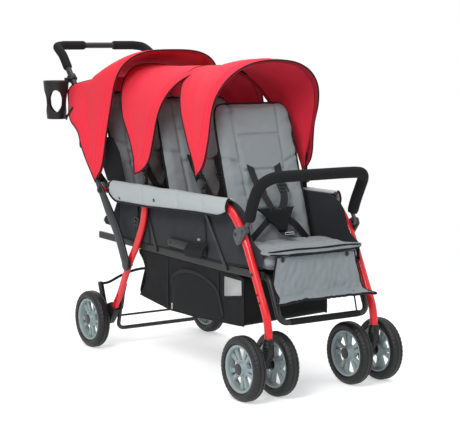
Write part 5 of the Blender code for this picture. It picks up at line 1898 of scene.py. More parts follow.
    def clear_of_handle(self, y: float, z: float) -> float:
        """Return how far out the cloth must lie at (y, z) to pass outside the handle.

        Args:
            y: the place along the stroller.
            z: the height.

        Returns:
            How far out the cloth must lie at (y, z) to pass outside the handle.
        """
        best = 0.0
        here = Vector((y, z))
        elbow = (0.482, 0.776)
        legs = ((HANDLE_PIVOT, elbow, self.handle_rear_out), (elbow, HANDLE_BEND, self.tube_out))
        for start, end, reach in legs:
            a = Vector(start)
            run = Vector(end) - a
            share = max(0.0, min(1.0, (here - a).dot(run) / run.length_squared))
            gap = (here - a - run * share).length
            best = max(best, reach - 0.3 * max(0.0, gap - 0.026))
        return best

    def cover(self, size: CanopySizes) -> None:
        """Build one canopy's cloth, its hems and its piping.

        Args:
            size: what sets this canopy.
        """
        surface = self.sheet_points(size)
        bm = bmesh.new()
        grid_into(bm, self.columns, self.rows, surface)
        bmesh.ops.recalc_face_normals(bm, faces=bm.faces)
        crown = max(bm.faces, key=lambda f: f.calc_center_median().z)
        if crown.normal.z < 0:
            bmesh.ops.reverse_faces(bm, faces=bm.faces)
        made = piece(
            f"canopy_cloth_{size.name}", bm, self.finishes.coral, "", [f"canopy_{size.name}"],
            "coral_cloth", 80.0, [self.finishes.lining]
        )
        thicken(made, self.cloth, -1.0, 1)
        self.swing(made, size, surface)
        width, length = self.flat_size(surface)
        self.area(surface)
        self.hems(size, surface)

    def flat_size(self, surface: Surface) -> tuple[float, float]:
        """Return the sheet's width over the arch and its length front to rear, as cut.

        Args:
            surface: the cloth's surface.

        Returns:
            The sheet's width over the arch and its length front to rear, as cut.
        """
        count = 60
        across = [surface(-1 + 2 * i / count, 0.0) for i in range(count + 1)]
        along = [surface(0.0, -1 + 2 * i / count) for i in range(count + 1)]
        return (
            sum((b - a).length for a, b in zip(across, across[1:])),
            sum((b - a).length for a, b in zip(along, along[1:])),
        )

    def area(self, surface: Surface) -> float:
        """Return the sheet's area.

        Args:
            surface: the cloth's surface.

        Returns:
            The sheet's area.
        """
        total = 0.0
        count = 48
        for i in range(count):
            for j in range(count):
                u, v = -1 + 2 * i / count, -1 + 2 * j / count
                step = 2 / count
                a, b, c = surface(u, v), surface(u + step, v), surface(u, v + step)
                d = surface(u + step, v + step)
                total += ((b - a).cross(c - a).length + (b - d).cross(c - d).length) / 2
        return total

    def hems(self, size: CanopySizes, surface: Surface) -> None:
        """Build the piping round the cloth and the seam bands beside its edges.

        Args:
            size: what sets this canopy.
            surface: the cloth's surface.
        """
        count = 90
        bm = bmesh.new()
        loop = [surface(-1 + 2 * i / count, -1.0) for i in range(count + 1)]
        loop += [surface(1.0, -1 + 2 * i / 8) for i in range(1, 8)]
        loop += [surface(1 - 2 * i / count, 1.0) for i in range(count + 1)]
        loop += [surface(-1.0, 1 - 2 * i / 8) for i in range(1, 8)]
        loop = [p for i, p in enumerate(loop) if (p - loop[i - 1]).length > 0.0008]
        sweep_into(bm, loop, round_section(2 * self.piping, steps=10), (0, 1, 0), closed=True)
        trim = piece(f"canopy_piping_{size.name}", bm, self.finishes.piping, "", (), "black_cloth", 80.0)
        self.swing(trim, size, surface)
        stitches = bmesh.new()
        for share in (0.88, 0.945):
            for start in (-1.0, 1.0):
                line = []
                for i in range(121):
                    u = -0.985 + 1.97 * i / 120
                    wide = (surface(u, 1.0) - surface(u, -1.0)).length
                    v = start * (1.0 - 2 * min(0.45, (1.0 - share) * 0.33 / max(wide, 0.02)))
                    point = surface(u, v)
                    outward = Vector((point.x, 0.0, point.z - self.heart_z)).normalized()
                    line.append(point + outward * 0.0004)
                line = [p for i, p in enumerate(line) if i == 0 or (p - line[i - 1]).length > 0.0006]
                sweep_into(stitches, line, round_section(0.0011, steps=6), (0, 1, 0))
        sewn = piece(
            f"canopy_stitches_{size.name}", stitches, self.finishes.coral, "", (), "coral_cloth", 80.0
        )
        self.swing(sewn, size, surface)
        for side, start, stop in (("front", -1.0, -0.8), ("rear", 1.0, 0.86)):
            band = bmesh.new()
            bulge = 0.0088 if side == "front" else 0.0006

            def on_band(u: float, v: float) -> Vector:
                """Return a point of the seam band under the cloth.

                Args:
                    u: from -1 to 1 across.
                    v: from -1 to 1 along.

                Returns:
                    A point of the seam band under the cloth.
                """
                t = (v + 1) / 2
                point = surface(u * 0.97, start + (stop - start) * (0.04 + 0.96 * t))
                inward = Vector((-point.x, 0.0, self.heart_z - point.z)).normalized()
                return point + inward * (
                    self.cloth + 0.0007 + bulge * math.sin(math.pi * min(1.0, t * 1.02)) ** 0.7
                )

            grid_into(band, 110, 8, on_band)
            bmesh.ops.recalc_face_normals(band, faces=band.faces)
            made = piece(
                f"canopy_band_{side}_{size.name}", band, self.finishes.band, "", (), "coral_cloth", 80.0
            )
            thicken(made, 0.0008)
            self.swing(made, size, surface)

    def swing(self, made: Object, size: CanopySizes, surface: Surface) -> None:
        """Bake a piece of the canopy into world space; it rides on no body."""
        tuple(surface(0.0, 1.0))
        tuple(surface(0.0, -1.0))
        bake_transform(made)

    def curtain(self) -> None:
        """Build the short cloth that closes the rear canopy behind the last seat."""
        surface = self.sheet_points(self.sizes()[2])

        def hang(u: float, v: float) -> Vector:
            """Place a point: u across, v downwards from the canopy's rear hem.

            Args:
                u: from -1 to 1 across.
                v: from -1 at the hem to 1 below.

            Returns:
                The point.
            """
            down = (v + 1) / 2
            point = surface(0.3 * u, 1.0)
            fold = 0.004 * ripple(u * 5, down * 2, 1.0)
            point.x *= 1.0 - 0.04 * down
            return point + Vector((0.0, -0.004 + (0.01 + fold) * down, -0.001 - 0.108 * down))

        bm = bmesh.new()
        grid_into(bm, 70, 16, hang)
        made = piece(
            "canopy_curtain", bm, self.finishes.coral, "chassis", (), "coral_cloth", 80.0,
            [self.finishes.lining]
        )
        thicken(made, 0.0012)
        trim = bmesh.new()
        sweep_into(
            trim, [hang(-1 + 2 * i / 70, 1.0) for i in range(71)], round_section(0.0044, steps=10),
            (0, 1, 0)
        )
        piece("curtain_piping", trim, self.finishes.piping, "chassis", (), "black_cloth")

    def bow(self, size: CanopySizes) -> None:
        """Build one bow: the wire in its sleeve and a round knob at each end.

        Args:
            size: what sets this canopy.
        """
        bm = bmesh.new()
        half = in_plane(
            arch(self.bow_x, size.straight, size.height - self.wire, size.power), size.foot, size.lean
        )
        half = [p for p in half if (p - half[0]).length > 0.055]
        low = Vector((self.bow_x, *size.knob))
        step = low + (half[0] - low) * 0.35
        route = smooth_route(resample([low, step, *half], 26), 3)
        sweep_into(bm, mirrored(route), round_section(2 * self.wire * 0.98, steps=14))
        made = piece(
            f"bow_wire_{size.name}", bm, self.finishes.piping, f"bow_{size.name}",
            [f"canopy_bow_{size.name}"], "black_plastic",
            more=[self.finishes.band],
        )
        for face in made.data.polygons:
            if face.center.z > size.knob[1] + 0.085:
                face.material_index = 1
        knobs = bmesh.new()
        inner = FRAME_X - 0.0055 + 0.003 + GAP
        outer = ARM_X - 0.0075 - GAP
        for sign in (-1, 1):
            middle = Vector((sign * (inner + outer) / 2, *size.knob))
            disc_into(knobs, middle, 0.0168, outer - inner - 0.0004, (sign, 0, 0), 0.0016, 0.0162, 40)
            face = Vector((sign * (outer - 0.0006), *size.knob))
            disc_into(knobs, face, 0.0102, 0.002, (sign, 0, 0), 0.0007, steps=32)
            for turn in range(16):
                angle = 2 * math.pi * turn / 16
                spot = middle + Vector((0, 0.0165 * math.cos(angle), 0.0165 * math.sin(angle)))
                disc_into(knobs, spot, 0.0014, (outer - inner) * 0.7, (1, 0, 0), steps=8)
        piece(f"bow_knobs_{size.name}", knobs, self.finishes.cap, f"bow_{size.name}", (), "black_plastic")

    def tie(self) -> None:
        """Build the black tie strap that holds the hood to the handle tube on each side."""
        for side, sign in SIDES:
            bm = bmesh.new()
            x = sign * 0.227
            points = [Vector((x, 0.549, 0.8)), Vector((x + sign * 0.002, 0.536, 0.812))]
            points += [Vector((x + sign * 0.001, 0.521, 0.826)), Vector((x - sign * 0.002, 0.508, 0.84))]
            sweep_into(bm, smooth_route(points, 6), soft_section(0.003, 0.009, 4.0, 16), (1, 0, 0))
            knot = [
                Vector((x, 0.538, 0.812)), Vector((x + sign * 0.0025, 0.549, 0.806)),
                Vector((x, 0.552, 0.794))
            ]
            sweep_into(bm, smooth_route(knot, 5), soft_section(0.003, 0.008, 4.0, 16), (1, 0, 0))
            piece(f"hood_tie_{side}", bm, self.finishes.webbing, "chassis", (), "webbing")

    def build(self) -> None:
        """Build all three canopies."""
        for size in self.sizes():
            self.bow(size)
            self.cover(size)
        self.curtain()
        self.tie()


# Upholstery


@dataclass
class Upholstery:
    """Makes padded pieces: a closed form that is blown up as cloth, then sewn along its seams."""

    voxel: float = 0.0055
    pressure: float = 4.0
    frames: int = 20

    def form(
        self, place: Matrix, half_width: float, half_length: float, up: float, down: float, edge: float
    ) -> BMesh:
        """Build the starting form of a pad.

        Args:
            place: turns (across, along, above) into the row frame.
            half_width: across.
            half_length: along.
            up: height above the middle plane.
            down: depth below it.
            edge: the share of the half width over which the rim falls away.

        Returns:
            The closed mesh.
        """
        bm = bmesh.new()
        bmesh.ops.create_cube(bm, size=2.0)
        bmesh.ops.subdivide_edges(bm, edges=bm.edges[:], cuts=26, use_grid_fill=True)
        for vert in bm.verts:
            u, v, w = vert.co
            size = max(abs(u), abs(v), 0.001)
            pull = size / (abs(u) ** 9 + abs(v) ** 9) ** (1 / 9) if size > 0.5 else 1.0
            away = 1.0 - max(abs(u), abs(v))
            lift = 0.3 + 0.7 * math.sqrt(max(0.0, 1.0 - (1.0 - min(away / edge, 1.0)) ** 2))
            crown = 1.0 - 0.12 * (u * u + v * v) / 2
            height = (up if w > 0 else down) * lift * crown * w
            vert.co = Vector((half_width * u * pull, half_length * v * pull, height))
        bmesh.ops.transform(bm, matrix=place, verts=bm.verts)
        bmesh.ops.recalc_face_normals(bm, faces=bm.faces)
        return bm

    def inflate(self, made: Object, cap: float, pinned: Callable[[Vector], bool] | None = None) -> None:
        """Blow a piece up as cloth and keep the result in its mesh.

        Args:
            made: the piece.
            cap: the furthest that a point may move.
            pinned: tells which points stay where they are.
        """
        remesh = made.modifiers.new("Remesh", "REMESH")
        remesh.mode = "VOXEL"
        remesh.voxel_size = self.voxel
        self.apply(made)
        start = [v.co.copy() for v in made.data.vertices]
        group = made.vertex_groups.new(name="held")
        if pinned:
            group.add([i for i, p in enumerate(start) if pinned(p)], 1.0, "REPLACE")
        cloth = made.modifiers.new("Cloth", "CLOTH")
        settings = cloth.settings
        settings.quality = 5
        settings.use_pressure = True
        settings.uniform_pressure_force = self.pressure
        settings.effector_weights.gravity = 0.0
        settings.tension_stiffness = 18.0
        settings.compression_stiffness = 10.0
        settings.bending_stiffness = 0.6
        if pinned:
            settings.vertex_group_mass = "held"
        scene = bpy.context.scene
        scene.frame_start = 1
        scene.frame_end = self.frames
        for step in range(1, self.frames + 1):
            scene.frame_set(step)
        self.apply(made)
        scene.frame_set(1)
        for vert, before in zip(made.data.vertices, start):
            move = vert.co - before
            if move.length > cap:
                vert.co = before + move.normalized() * cap
        made.vertex_groups.clear()

    def fit(self, made: Object, place: Matrix, half_width: float, half_length: float) -> None:
        """Bring a blown-up pad back to its width and length, which the cloth has drawn in.

        Args:
            made: the piece.
            place: its frame.
            half_width: across.
            half_length: along.
        """
        back = place.inverted()
        flat = [back @ v.co for v in made.data.vertices]
        wide = half_width / max(abs(p.x) for p in flat)
        long = half_length / max(abs(p.y) for p in flat)
        for vert, local in zip(made.data.vertices, flat):
            vert.co = place @ Vector((local.x * wide, local.y * long, local.z))

    def apply(self, made: Object) -> None:
        """Keep a piece's modifiers in its mesh.

        Args:
            made: the piece.
        """
        graph = bpy.context.evaluated_depsgraph_get()
        graph.update()
        mesh = bpy.data.meshes.new_from_object(made.evaluated_get(graph))
        made.modifiers.clear()
        old = made.data
        made.data = mesh
        bpy.data.meshes.remove(old)
        mesh.shade_smooth()

    def sew(
        self, made: Object, place: Matrix, seams: Sequence[tuple[Pair, Pair]], depth: float, width: float
    ) -> None:
        """Draw the top of a pad down along its seams.

        Args:
            made: the pad.
            place: its frame, as in form.
            seams: lines from (across, along) to (across, along).
            depth: how deep the channels are.
            width: how wide they are.
        """
        back = place.inverted()
        above = (place.to_3x3() @ Vector((0, 0, 1))).normalized()
        for vert in made.data.vertices:
            local = back @ vert.co
            if local.z < 0.0:
                continue
            flat = Vector((local.x, local.y))
            pull = 0.0
            for first, last in seams:
                a = Vector(first)
                run = Vector(last) - a
                t = max(0.0, min(1.0, (flat - a).dot(run) / run.length_squared))
                gap = (flat - a - run * t).length
                pucker = 1.0 + 0.35 * noise.noise(vert.co * 70.0)
                pull = max(pull, depth * pucker * math.exp(-((gap / width) ** 2)))
            vert.co -= above * pull

    def crease(self, made: Object, place: Matrix, amount: float, scale: float) -> None:
        """Add soft creases to the top of a pad.

        Args:
            made: the piece.
            place: its frame.
            amount: how deep the creases are.
            scale: how close together they lie.
        """
        back = place.inverted()
        above = (place.to_3x3() @ Vector((0, 0, 1))).normalized()
        for vert in made.data.vertices:
            local = back @ vert.co
            if local.z < 0.0:
                continue
            wave = ripple(local.x * scale, local.y * scale * 2.2, 3.0 + place.translation.y * 9)
            wave += 0.5 * ripple(local.x * scale * 2.3, local.y * scale * 4.0, 9.0)
            vert.co += above * amount * min(0.0, wave)


@dataclass
class Seats(Assembly):
    """Three seats in line: cushion, reclining backrest and five-point harness."""

    pitch: float = 0.35
    cushion_half: float = 0.1835
    cushion_front: float = -0.6245
    cushion_back: float = -0.4385
    back_half: float = 0.15
    back_length: float = 0.52
    back_half_depth: float = 0.012
    recline: float = 17.0
    pivot_y: float = -0.4276
    pivot_gap: float = 0.0083
    rail_half: float = 0.0123
    cushion_rise: float = 0.0265
    strap: float = 0.026

    def cushion_frame(self, shift: float) -> Matrix:
        """Return the frame of a cushion: across, along to the rear, above.

        Args:
            shift: how far it stands behind the first one.

        Returns:
            The frame of a cushion.
        """
        middle = (self.cushion_front + self.cushion_back) / 2 + shift
        rise = math.radians(2.6)
        turn = Matrix.Rotation(rise, 4, "X")
        return Matrix.Translation(
            (0.0, middle, rail_height(middle) + self.rail_half + self.cushion_rise)
        ) @ turn

    def back_frame(self, shift: float) -> Matrix:
        """Return the frame of a backrest: across, up along it, ahead; its origin is the pivot.

        Args:
            shift: how far it stands behind the first one.

        Returns:
            The frame of a backrest.
        """
        turn = math.radians(self.recline)
        y = self.pivot_y + shift
        across = Vector((1, 0, 0))
        up = Vector((0, math.sin(turn), math.cos(turn)))
        ahead = Vector((0, -math.cos(turn), math.sin(turn)))
        made = Matrix((across, up, ahead)).transposed().to_4x4()
        return Matrix.Translation((0, y, rail_height(y))) @ made

    def cushion(self, sewing: Upholstery, name: str, shift: float) -> None:
        """Build one cushion with its sewn channels and its piped front lip.

        Args:
            sewing: makes the padded pieces.
            name: front, middle or rear.
            shift: how far it stands behind the first one.
        """
        place = self.cushion_frame(shift)
        half_length = (self.cushion_back - self.cushion_front) / 2
        bm = sewing.form(place, self.cushion_half - 0.006, half_length - 0.003, 0.038, 0.024, 0.26)
        made = piece(
            f"cushion_{name}", bm, self.finishes.seat, "chassis", [f"seat_cushion_{name}"], "grey_cloth",
            80.0
        )
        floor = rail_height(self.cushion_front + shift) + 0.0125
        sewing.inflate(made, 0.007, lambda p: p.z < floor + 0.004)
        sewing.fit(made, place, self.cushion_half - 0.0005, half_length - 0.001)
        seams = [((-0.096, -0.08), (-0.088, 0.085)), ((0.096, -0.08), (0.088, 0.085))]
        seams += [
            ((-0.088, -0.012), (0.088, -0.012)), ((-0.18, -0.052), (-0.096, -0.06)),
            ((0.18, -0.052), (0.096, -0.06))
        ]
        sewing.sew(made, place, seams, 0.008, 0.0052)
        sewing.crease(made, place, 0.006, 13.0)
        for vert in made.data.vertices:
            vert.co.z = max(vert.co.z, floor)
            vert.co.y = max(vert.co.y, self.cushion_front + shift)
            vert.co.y = min(vert.co.y, self.cushion_back + shift)
            vert.co.x = max(-self.cushion_half, min(self.cushion_half, vert.co.x))
        subdivide(made, 1)
        self.lip(name, shift)

    def lip(self, name: str, shift: float) -> None:
        """Build the soft lip that overhangs a cushion's front, between two runs of piping.

        Args:
            name: front, middle or rear.
            shift: how far it stands behind the first one.
        """
        y = self.cushion_front + shift - 0.0225
        z = rail_height(y) + 0.0695
        bm = bmesh.new()
        half = self.cushion_half + 0.0015
        route = [Vector((half * (-1 + i / 40), y + 0.03, z)) for i in range(81)]
        for i, point in enumerate(route):
            point.z += 0.0016 * ripple(point.x * 14, shift, 4.0)
            point.y += 0.018 * max(0.0, (abs(i / 40 - 1) - 0.86) / 0.14) ** 2
        ends = [min(1.0, 0.34 + 0.66 * math.sqrt(min(i, 80 - i) / 14)) for i in range(81)]
        sweep_into(bm, route, soft_section(0.06, 0.0215, 3.4, 36), (0, 1, 0), ends)
        for vert in bm.verts:
            vert.co.z += 0.0022 * ripple(vert.co.x * 24 + vert.co.y * 30, vert.co.y * 40, 7.0)
        made = piece(f"cushion_lip_{name}", bm, self.finishes.seat, "chassis", (), "grey_cloth", 80.0)
        subdivide(made, 1)
        trim = bmesh.new()
        for drop, reach in ((-0.0075, 0.002), (0.0075, 0.0016)):
            low = z - drop
            points = [(-half - 0.001, y + 0.036, z - 0.15 * drop), (-half + 0.01, y + 0.017, z - 0.35 * drop)]
            points += [
                (-half + 0.04, y + 0.004 + reach, z - 0.8 * drop), (-0.08, y + reach - 0.0008, low + 0.001)
            ]
            points += [(0.0, y + reach, low - 0.001), (0.09, y + reach - 0.0008, low + 0.001)]
            points += [
                (half - 0.04, y + 0.004 + reach, z - 0.8 * drop), (half - 0.01, y + 0.017, z - 0.35 * drop)
            ]
            points.append((half + 0.001, y + 0.036, z - 0.15 * drop))
            sweep_into(trim, smooth_route(points, 8), round_section(0.0062, steps=12), (0, 1, 0))
        piece(f"cushion_piping_{name}", trim, self.finishes.piping, "chassis", (), "black_cloth")

    def backrest(self, sewing: Upholstery, name: str, shift: float) -> None:
        """Build one backrest: its padded front, its channels, its piped edge and its dark rear cover.

        Args:
            sewing: makes the padded pieces.
            name: front, middle or rear.
            shift: how far it stands behind the first one.
        """
        base = self.back_frame(shift)
        middle = base @ Matrix.Translation((0.0, self.pivot_gap + self.back_length / 2, 0.0))
        body = f"backrest_{name}"
        half = self.back_length / 2
        bm = sewing.form(middle, self.back_half - 0.005, half - 0.004, 0.0155, 0.009, 0.16)
        made = piece(
            f"backrest_pad_{name}", bm, self.finishes.seat, body, [f"seat_back_{name}"], "grey_cloth", 80.0,
            [self.finishes.dark]
        )
        sewing.inflate(made, 0.0065)
        sewing.fit(made, middle, self.back_half - 0.001, half - 0.001)
        seams = [
            ((-0.076, -half), (-0.09, half)),
            ((0.076, -half), (0.09, half)),
            ((-0.08, 0.035), (0.08, 0.035)),
            ((-0.084, 0.15), (0.084, 0.15)),
            ((-0.15, 0.085), (-0.084, 0.055)),
            ((0.15, 0.085), (0.084, 0.055)),
            ((-0.078, -0.095), (0.078, -0.095)),
        ]
        sewing.sew(made, middle, seams, 0.0095, 0.0048)
        sewing.crease(made, middle, 0.0075, 11.0)
        back = middle.inverted()
        ahead = middle.to_3x3() @ Vector((0, 0, 1))
        for vert in made.data.vertices:
            local = back @ vert.co
            over = abs(local.z) - (self.back_half_depth + (0.009 if local.z > 0 else 0.0))
            if over > 0:
                vert.co -= ahead * math.copysign(over, local.z)
        for face in made.data.polygons:
            if face.normal.dot(ahead) < -0.35:
                face.material_index = 1
        subdivide(made, 1)
        trim = bmesh.new()
        loop = []
        for i in range(160):
            angle = 2 * math.pi * i / 160
            c, s = math.cos(angle), math.sin(angle)
            size = (abs(c) ** 9 + abs(s) ** 9) ** (1 / 9)
            wobble = 0.001 * ripple(4 * c, 4 * s, shift)
            point = Vector(((self.back_half - 0.0005) * c / size, (half - 0.001) * s / size, 0.002 + wobble))
            if point.y > -half + 0.02:
                loop.append(middle @ point)
        first = next(i for i in range(len(loop)) if (loop[i] - loop[i - 1]).length > 0.05)
        loop = loop[first:] + loop[:first]
        sweep_into(trim, loop, round_section(0.0072, steps=12), ahead)
        piece(f"backrest_piping_{name}", trim, self.finishes.piping, body, (), "black_cloth")

    def harness(self, name: str, shift: float) -> None:
        """Build one harness: shoulder straps from their slots, waist straps, crotch strap and buckle.

        Args:
            name: front, middle or rear.
            shift: how far it stands behind the first one.
        """
        base = self.back_frame(shift)
        body = f"backrest_{name}"
        ribbon = soft_section(0.0017, self.strap, 6.0, 20)
        ahead = (base.to_3x3() @ Vector((0, 0, 1))).normalized()
        straps = bmesh.new()
        hardware = bmesh.new()
        buckle = base @ Vector((0.0, 0.15, 0.05))
        for sign in (-1, 1):
            points = [
                base @ Vector((sign * 0.055, 0.372, 0.008)), base @ Vector((sign * 0.0552, 0.366, 0.0165))
            ]
            points += [
                base @ Vector((sign * 0.054, 0.33, 0.0185)), base @ Vector((sign * 0.049, 0.265, 0.03))
            ]
            points += [
                base @ Vector((sign * 0.036, 0.205, 0.052)), buckle + Vector((sign * 0.017, 0.0, 0.012))
            ]
            sweep_into(straps, smooth_route(points, 8), ribbon, ahead)
            slot = base @ Vector((sign * 0.055, 0.372, 0.0105))
            turn = base.to_3x3().to_4x4()
            block_into(hardware, Matrix.Translation(slot) @ turn, (0.034, 0.0075, 0.003), 0.0012, 3)
            slide = base @ Vector((sign * 0.0445, 0.236, 0.0415))
            tilt = turn @ Matrix.Rotation(math.radians(-20), 4, "X")
            for high in (-0.013, 0.0, 0.013):
                bar = Matrix.Translation(slide) @ tilt @ Matrix.Translation((0, high, 0.0008))
                block_into(hardware, bar, (0.034, 0.0042, 0.0042), 0.001)
            for wide in (-0.0165, 0.0165):
                bar = Matrix.Translation(slide) @ tilt @ Matrix.Translation((wide, 0, 0.0008))
                block_into(hardware, bar, (0.0038, 0.03, 0.0042))
            waist = [buckle + Vector((sign * 0.02, 0.0, -0.002)), base @ Vector((sign * 0.07, 0.11, 0.045))]
            waist += [base @ Vector((sign * 0.125, 0.06, 0.022)), base @ Vector((sign * 0.138, 0.05, 0.01))]
            sweep_into(straps, smooth_route(waist, 8), soft_section(0.0017, 0.022, 6.0, 20), (0, -1, 0))
        shell = [
            (-0.022, -0.013), (0.022, -0.013), (0.0245, 0.006), (0.012, 0.02), (-0.012, 0.02),
            (-0.0245, 0.006)
        ]
        outline = soft_corners(shell, [0.006, 0.006, 0.006, 0.008, 0.008, 0.006])
        before = set(hardware.verts)
        plate_into(hardware, outline, -0.0065, 0.0065, 0.0028, "Z")
        disc_into(hardware, (0.0, 0.002, 0.0062), 0.0085, 0.003, (0, 0, 1), 0.001, steps=32)
        made = [v for v in hardware.verts if v not in before]
        face = base.to_3x3().to_4x4()
        bmesh.ops.transform(hardware, matrix=Matrix.Translation(buckle) @ face, verts=made)
        seat_y = buckle.y - 0.012
        crotch_z = 0.476 + 0.025 * shift
        points = [buckle + Vector((0, -0.001, -0.008)), Vector((0.0, seat_y - 0.004, buckle.z - 0.028))]
        points += [
            Vector((0.0, seat_y - 0.01, crotch_z + 0.006)), Vector((0.0, seat_y - 0.034, crotch_z - 0.004))
        ]
        points += [Vector((0.0, seat_y - 0.075, crotch_z - 0.008))]
        sweep_into(straps, smooth_route(points, 8), ribbon, (0, 1, 0))
        guard = bmesh.new()
        top = buckle + Vector((0.0, 0.004, 0.02))
        foot = Vector((0.0, seat_y - 0.018, crotch_z + 0.004))

        def lay(u: float, v: float) -> Vector:
            """Place a point of the crotch guard: u across, v downwards.

            Args:
                u: from -1 to 1 across.
                v: from -1 to 1 along.

            Returns:
                The point.
            """
            t = (v + 1) / 2
            point = top.lerp(foot, t)
            half = 0.058 * (1 - t) ** 1.3 + 0.016
            return point + Vector((u * half, 0.01 * u * u * (1 - t), 0.002 * math.sin(9 * t)))

        grid_into(guard, 24, 20, lay)
        made = piece(f"harness_guard_{name}", guard, self.finishes.dark, body, (), "webbing", 80.0)
        thicken(made, 0.006)
        loop = [
            Vector((x, seat_y - 0.052, crotch_z - 0.002 + z)) for x,
            z in ((-0.017, -0.001), (-0.017, 0.006), (0.017, 0.006), (0.017, -0.001))
        ]
        route = rounded_route(loop, 0.003, 5)
        rings = bmesh.new()
        sweep_into(rings, [*route, loop[0]], round_section(0.0026, steps=10), (0, 1, 0))
        piece(f"harness_ring_{name}", rings, self.finishes.bright, body, (), "webbing")
        piece(f"harness_straps_{name}", straps, self.finishes.webbing, body, [f"harness_{name}"], "webbing")
        piece(f"harness_buckle_{name}", hardware, self.finishes.cap, body, (), "webbing")

    def build(self, sewing: Upholstery) -> None:
        """Build all three seats.

        Args:
            sewing: makes the padded pieces.
        """
        for index, name in enumerate(SEATS):
            shift = self.pitch * index
            self.cushion(sewing, name, shift)
            self.backrest(sewing, name, shift)
            self.harness(name, shift)


# Side fabric and belly bar


@dataclass(frozen=True)
class Snap:
    """An oval snap that holds a cloth edge."""

    y: float
    z: float
    wide: float = 0.0085
    high: float = 0.007

    def add_to(self, bm: BMesh, x: float) -> None:
        """Press the snap on at x, facing outward on both sides.

        Args:
            bm: the mesh that grows.
            x: where it stands across.
        """
        turn = Matrix.Translation((x, self.y, self.z)) @ Matrix.Diagonal((1.0, self.wide, self.high, 1.0))
        for depth, share in ((0.0022, 1.0), (0.0036, 0.62)):
            bmesh.ops.create_uvsphere(
                bm, u_segments=24, v_segments=12, radius=1.0,
                matrix=turn @ Matrix.Diagonal((depth, share, share, 1.0))
            )


